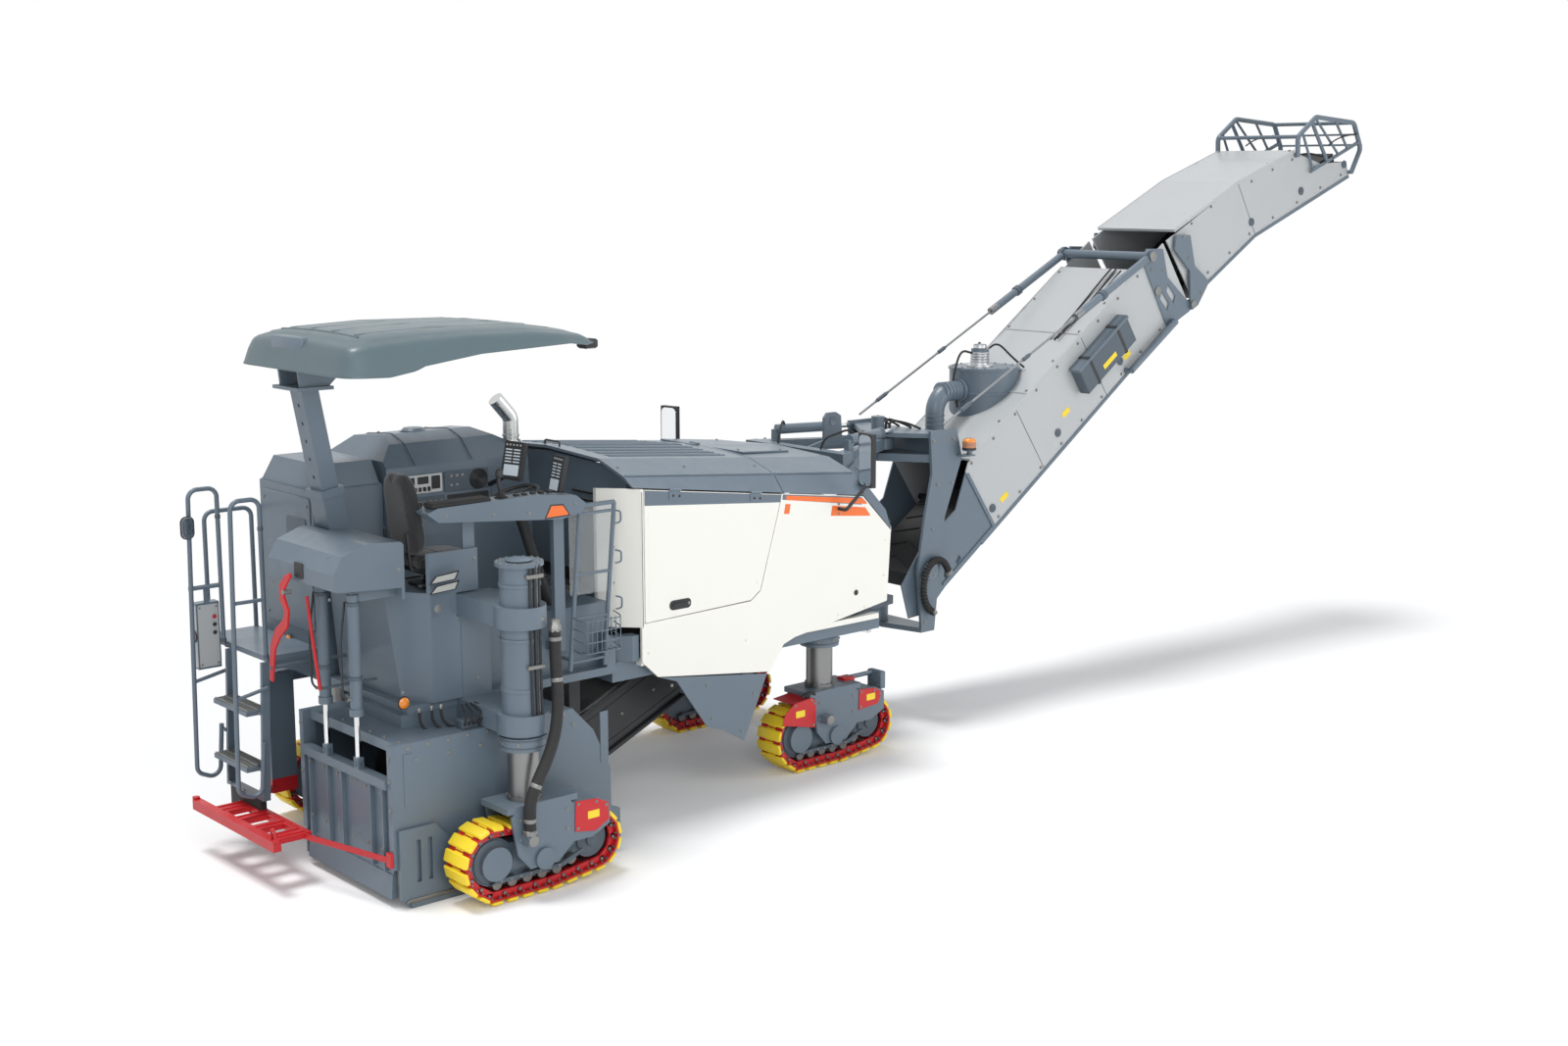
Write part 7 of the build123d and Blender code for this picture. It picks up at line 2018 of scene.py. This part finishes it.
def eye_white(tree):
    """Turns the floor to plain white with distance for the eye, and keeps the shadow near by."""
    place = wired(tree, "TexCoord", "Object", {})
    away = wired(tree, "VectorMath", "Value", {0: place, 1: (0.5, 0.5, 0.0)}, operation="DISTANCE")
    bounds = {"From Min": WHITE_FROM, "From Max": WHITE_AT, "To Min": 0.10, "Value": away}
    far = wired(tree, "MapRange", "Result", bounds, interpolation_type="SMOOTHSTEP")
    both = maths(tree, "MULTIPLY", far, eye_rays(tree))
    white = wired(tree, "Emission", "Emission", {"Color": (1, 1, 1, 1)})
    paper = tree.nodes["Principled BSDF"].outputs["BSDF"]
    mix = wired(tree, "MixShader", "Shader", {"Fac": both, 1: paper, 2: white})
    feed(tree, tree.nodes["Material Output"], {"Surface": mix})


def build_stage():
    scene = bpy.context.scene
    scene.view_settings.view_transform = "Standard"
    side = np.linspace(-FLOOR_REACH, FLOOR_REACH, 3)
    grid = np.stack(np.meshgrid(side, side, indexing="ij"), axis=-1).reshape(-1, 2)
    floor_mesh = bpy.data.meshes.new("floor")
    places = np.column_stack((grid, np.full(len(grid), -0.001)))
    floor_mesh.from_pydata(places.tolist(), [], [face[::-1] for face in grid_faces(3, 3, False)])
    floor = bpy.data.objects.new("floor", floor_mesh)
    scene.collection.objects.link(floor)
    paper = bpy.data.materials.new("floor paper")
    paper.use_nodes = True
    tree = paper.node_tree
    matt = {"Base Color": (0.90, 0.90, 0.90, 1), "Roughness": 0.9, "Specular IOR Level": 0.1}
    feed(tree, tree.nodes["Principled BSDF"], matt)
    floor_mesh.materials.append(paper)
    eye_white(tree)

    world = bpy.data.worlds.new("studio")
    scene.world = world
    world.use_nodes = True
    tree = world.node_tree
    tree.nodes.clear()
    room = wired(tree, "Background", "Background", {"Color": (0.93, 0.96, 1.0, 1), "Strength": 0.40})
    plain = wired(tree, "Background", "Background", {"Color": (1, 1, 1, 1)})
    both = wired(tree, "MixShader", "Shader", {"Fac": eye_rays(tree), 1: room, 2: plain})
    feed(tree, tree.nodes.new("ShaderNodeOutputWorld"), {"Surface": both})

    middle = np.array((3.0, -0.3, 0.0)) + SHIFT
    for name, place, size, watts, aim in (
        ("camera_side", (-5.5, -8.5, 6.0), 6.0, 360.0, (0, 0, 1.4)),
        ("front_right", (7.0, -7.0, 5.0), 5.0, 190.0, (1.5, 0, 1.6)),
    ):
        lamp = bpy.data.lights.new(name, "AREA")
        lamp.shape = "SQUARE"
        lamp.size = size
        lamp.energy = watts
        holder = bpy.data.objects.new(name, lamp)
        holder.location = middle + place
        way = Vector((middle + aim - (middle + place)).tolist())
        holder.rotation_euler = way.to_track_quat("-Z", "Y").to_euler()
        scene.collection.objects.link(holder)

    sky = bpy.data.lights.new("overhead", "SUN")
    sky.energy = 2.3
    sky.angle = math.radians(18)
    holder = bpy.data.objects.new("overhead", sky)
    holder.rotation_euler = Vector((0.16, -0.14, -1.0)).to_track_quat("-Z", "Y").to_euler()
    scene.collection.objects.link(holder)

    eye = bpy.data.cameras.new("view")
    eye.lens = CAMERA_LENS
    eye.sensor_width = 36.0
    eye.clip_end = 200.0
    camera = bpy.data.objects.new("view", eye)
    camera.location = np.array(CAMERA_PLACE) + SHIFT
    camera.rotation_euler = [math.radians(angle) for angle in CAMERA_TURN]
    scene.collection.objects.link(camera)
    scene.camera = camera


class PLANER_OT_stage(bpy.types.Operator):
    """Pale floor, soft overhead lamps, plain world and the camera"""
    bl_idname = "planer.stage"
    bl_label = "Floor, lights and camera"

    def execute(self, context):
        build_stage()
        return {"FINISHED"}


class PLANER_OT_materials(bpy.types.Operator):
    """Makes every finish from the chosen colours"""
    bl_idname = "planer.materials"
    bl_label = "Finishes"

    def execute(self, context):
        paint_set(colours())
        return {"FINISHED"}


STEPS = (
    PLANER_OT_materials, PLANER_OT_stage, PLANER_OT_leg_hose, PLANER_OT_tracks, PLANER_OT_track_frames,
    PLANER_OT_legs, PLANER_OT_side_panels, PLANER_OT_hood, PLANER_OT_hump, PLANER_OT_canopy, PLANER_OT_seat,
    PLANER_OT_console, PLANER_OT_rear, PLANER_OT_access, PLANER_OT_drum, PLANER_OT_cage, PLANER_OT_primary,
    PLANER_OT_lower_conveyor, PLANER_OT_upper_conveyor, PLANER_OT_feeler, PLANER_OT_node_finishes,
)


class PLANER_PT_panel(bpy.types.Panel):
    """Sidebar list of the planer's pieces, sizes and colours"""
    bl_idname = "PLANER_PT_panel"
    bl_label = "Cold planer"
    bl_space_type = "VIEW_3D"
    bl_region_type = "UI"
    bl_category = "Planer"

    def draw(self, context):
        layout = self.layout
        for group in (context.scene.planer_colours, context.scene.planer_sizes):
            for name in group.bl_rna.properties.keys():
                if name not in ("rna_type", "name"):
                    layout.prop(group, name)
        for step in STEPS:
            layout.operator(step.bl_idname)


CLASSES = (PlanerColours, PlanerSizes, *STEPS, PLANER_PT_panel)


def register():
    for kind in CLASSES:
        bpy.utils.register_class(kind)
    bpy.types.Scene.planer_colours = PointerProperty(type=PlanerColours)
    bpy.types.Scene.planer_sizes = PointerProperty(type=PlanerSizes)


def unregister():
    del bpy.types.Scene.planer_sizes
    del bpy.types.Scene.planer_colours
    for kind in reversed(CLASSES):
        bpy.utils.unregister_class(kind)


def main():
    """Builds the whole finish round the frame."""
    register()
    for step in STEPS:
        group, name = step.bl_idname.split(".")
        getattr(getattr(bpy.ops, group), name)()


if __name__ == "__main__":
    main()
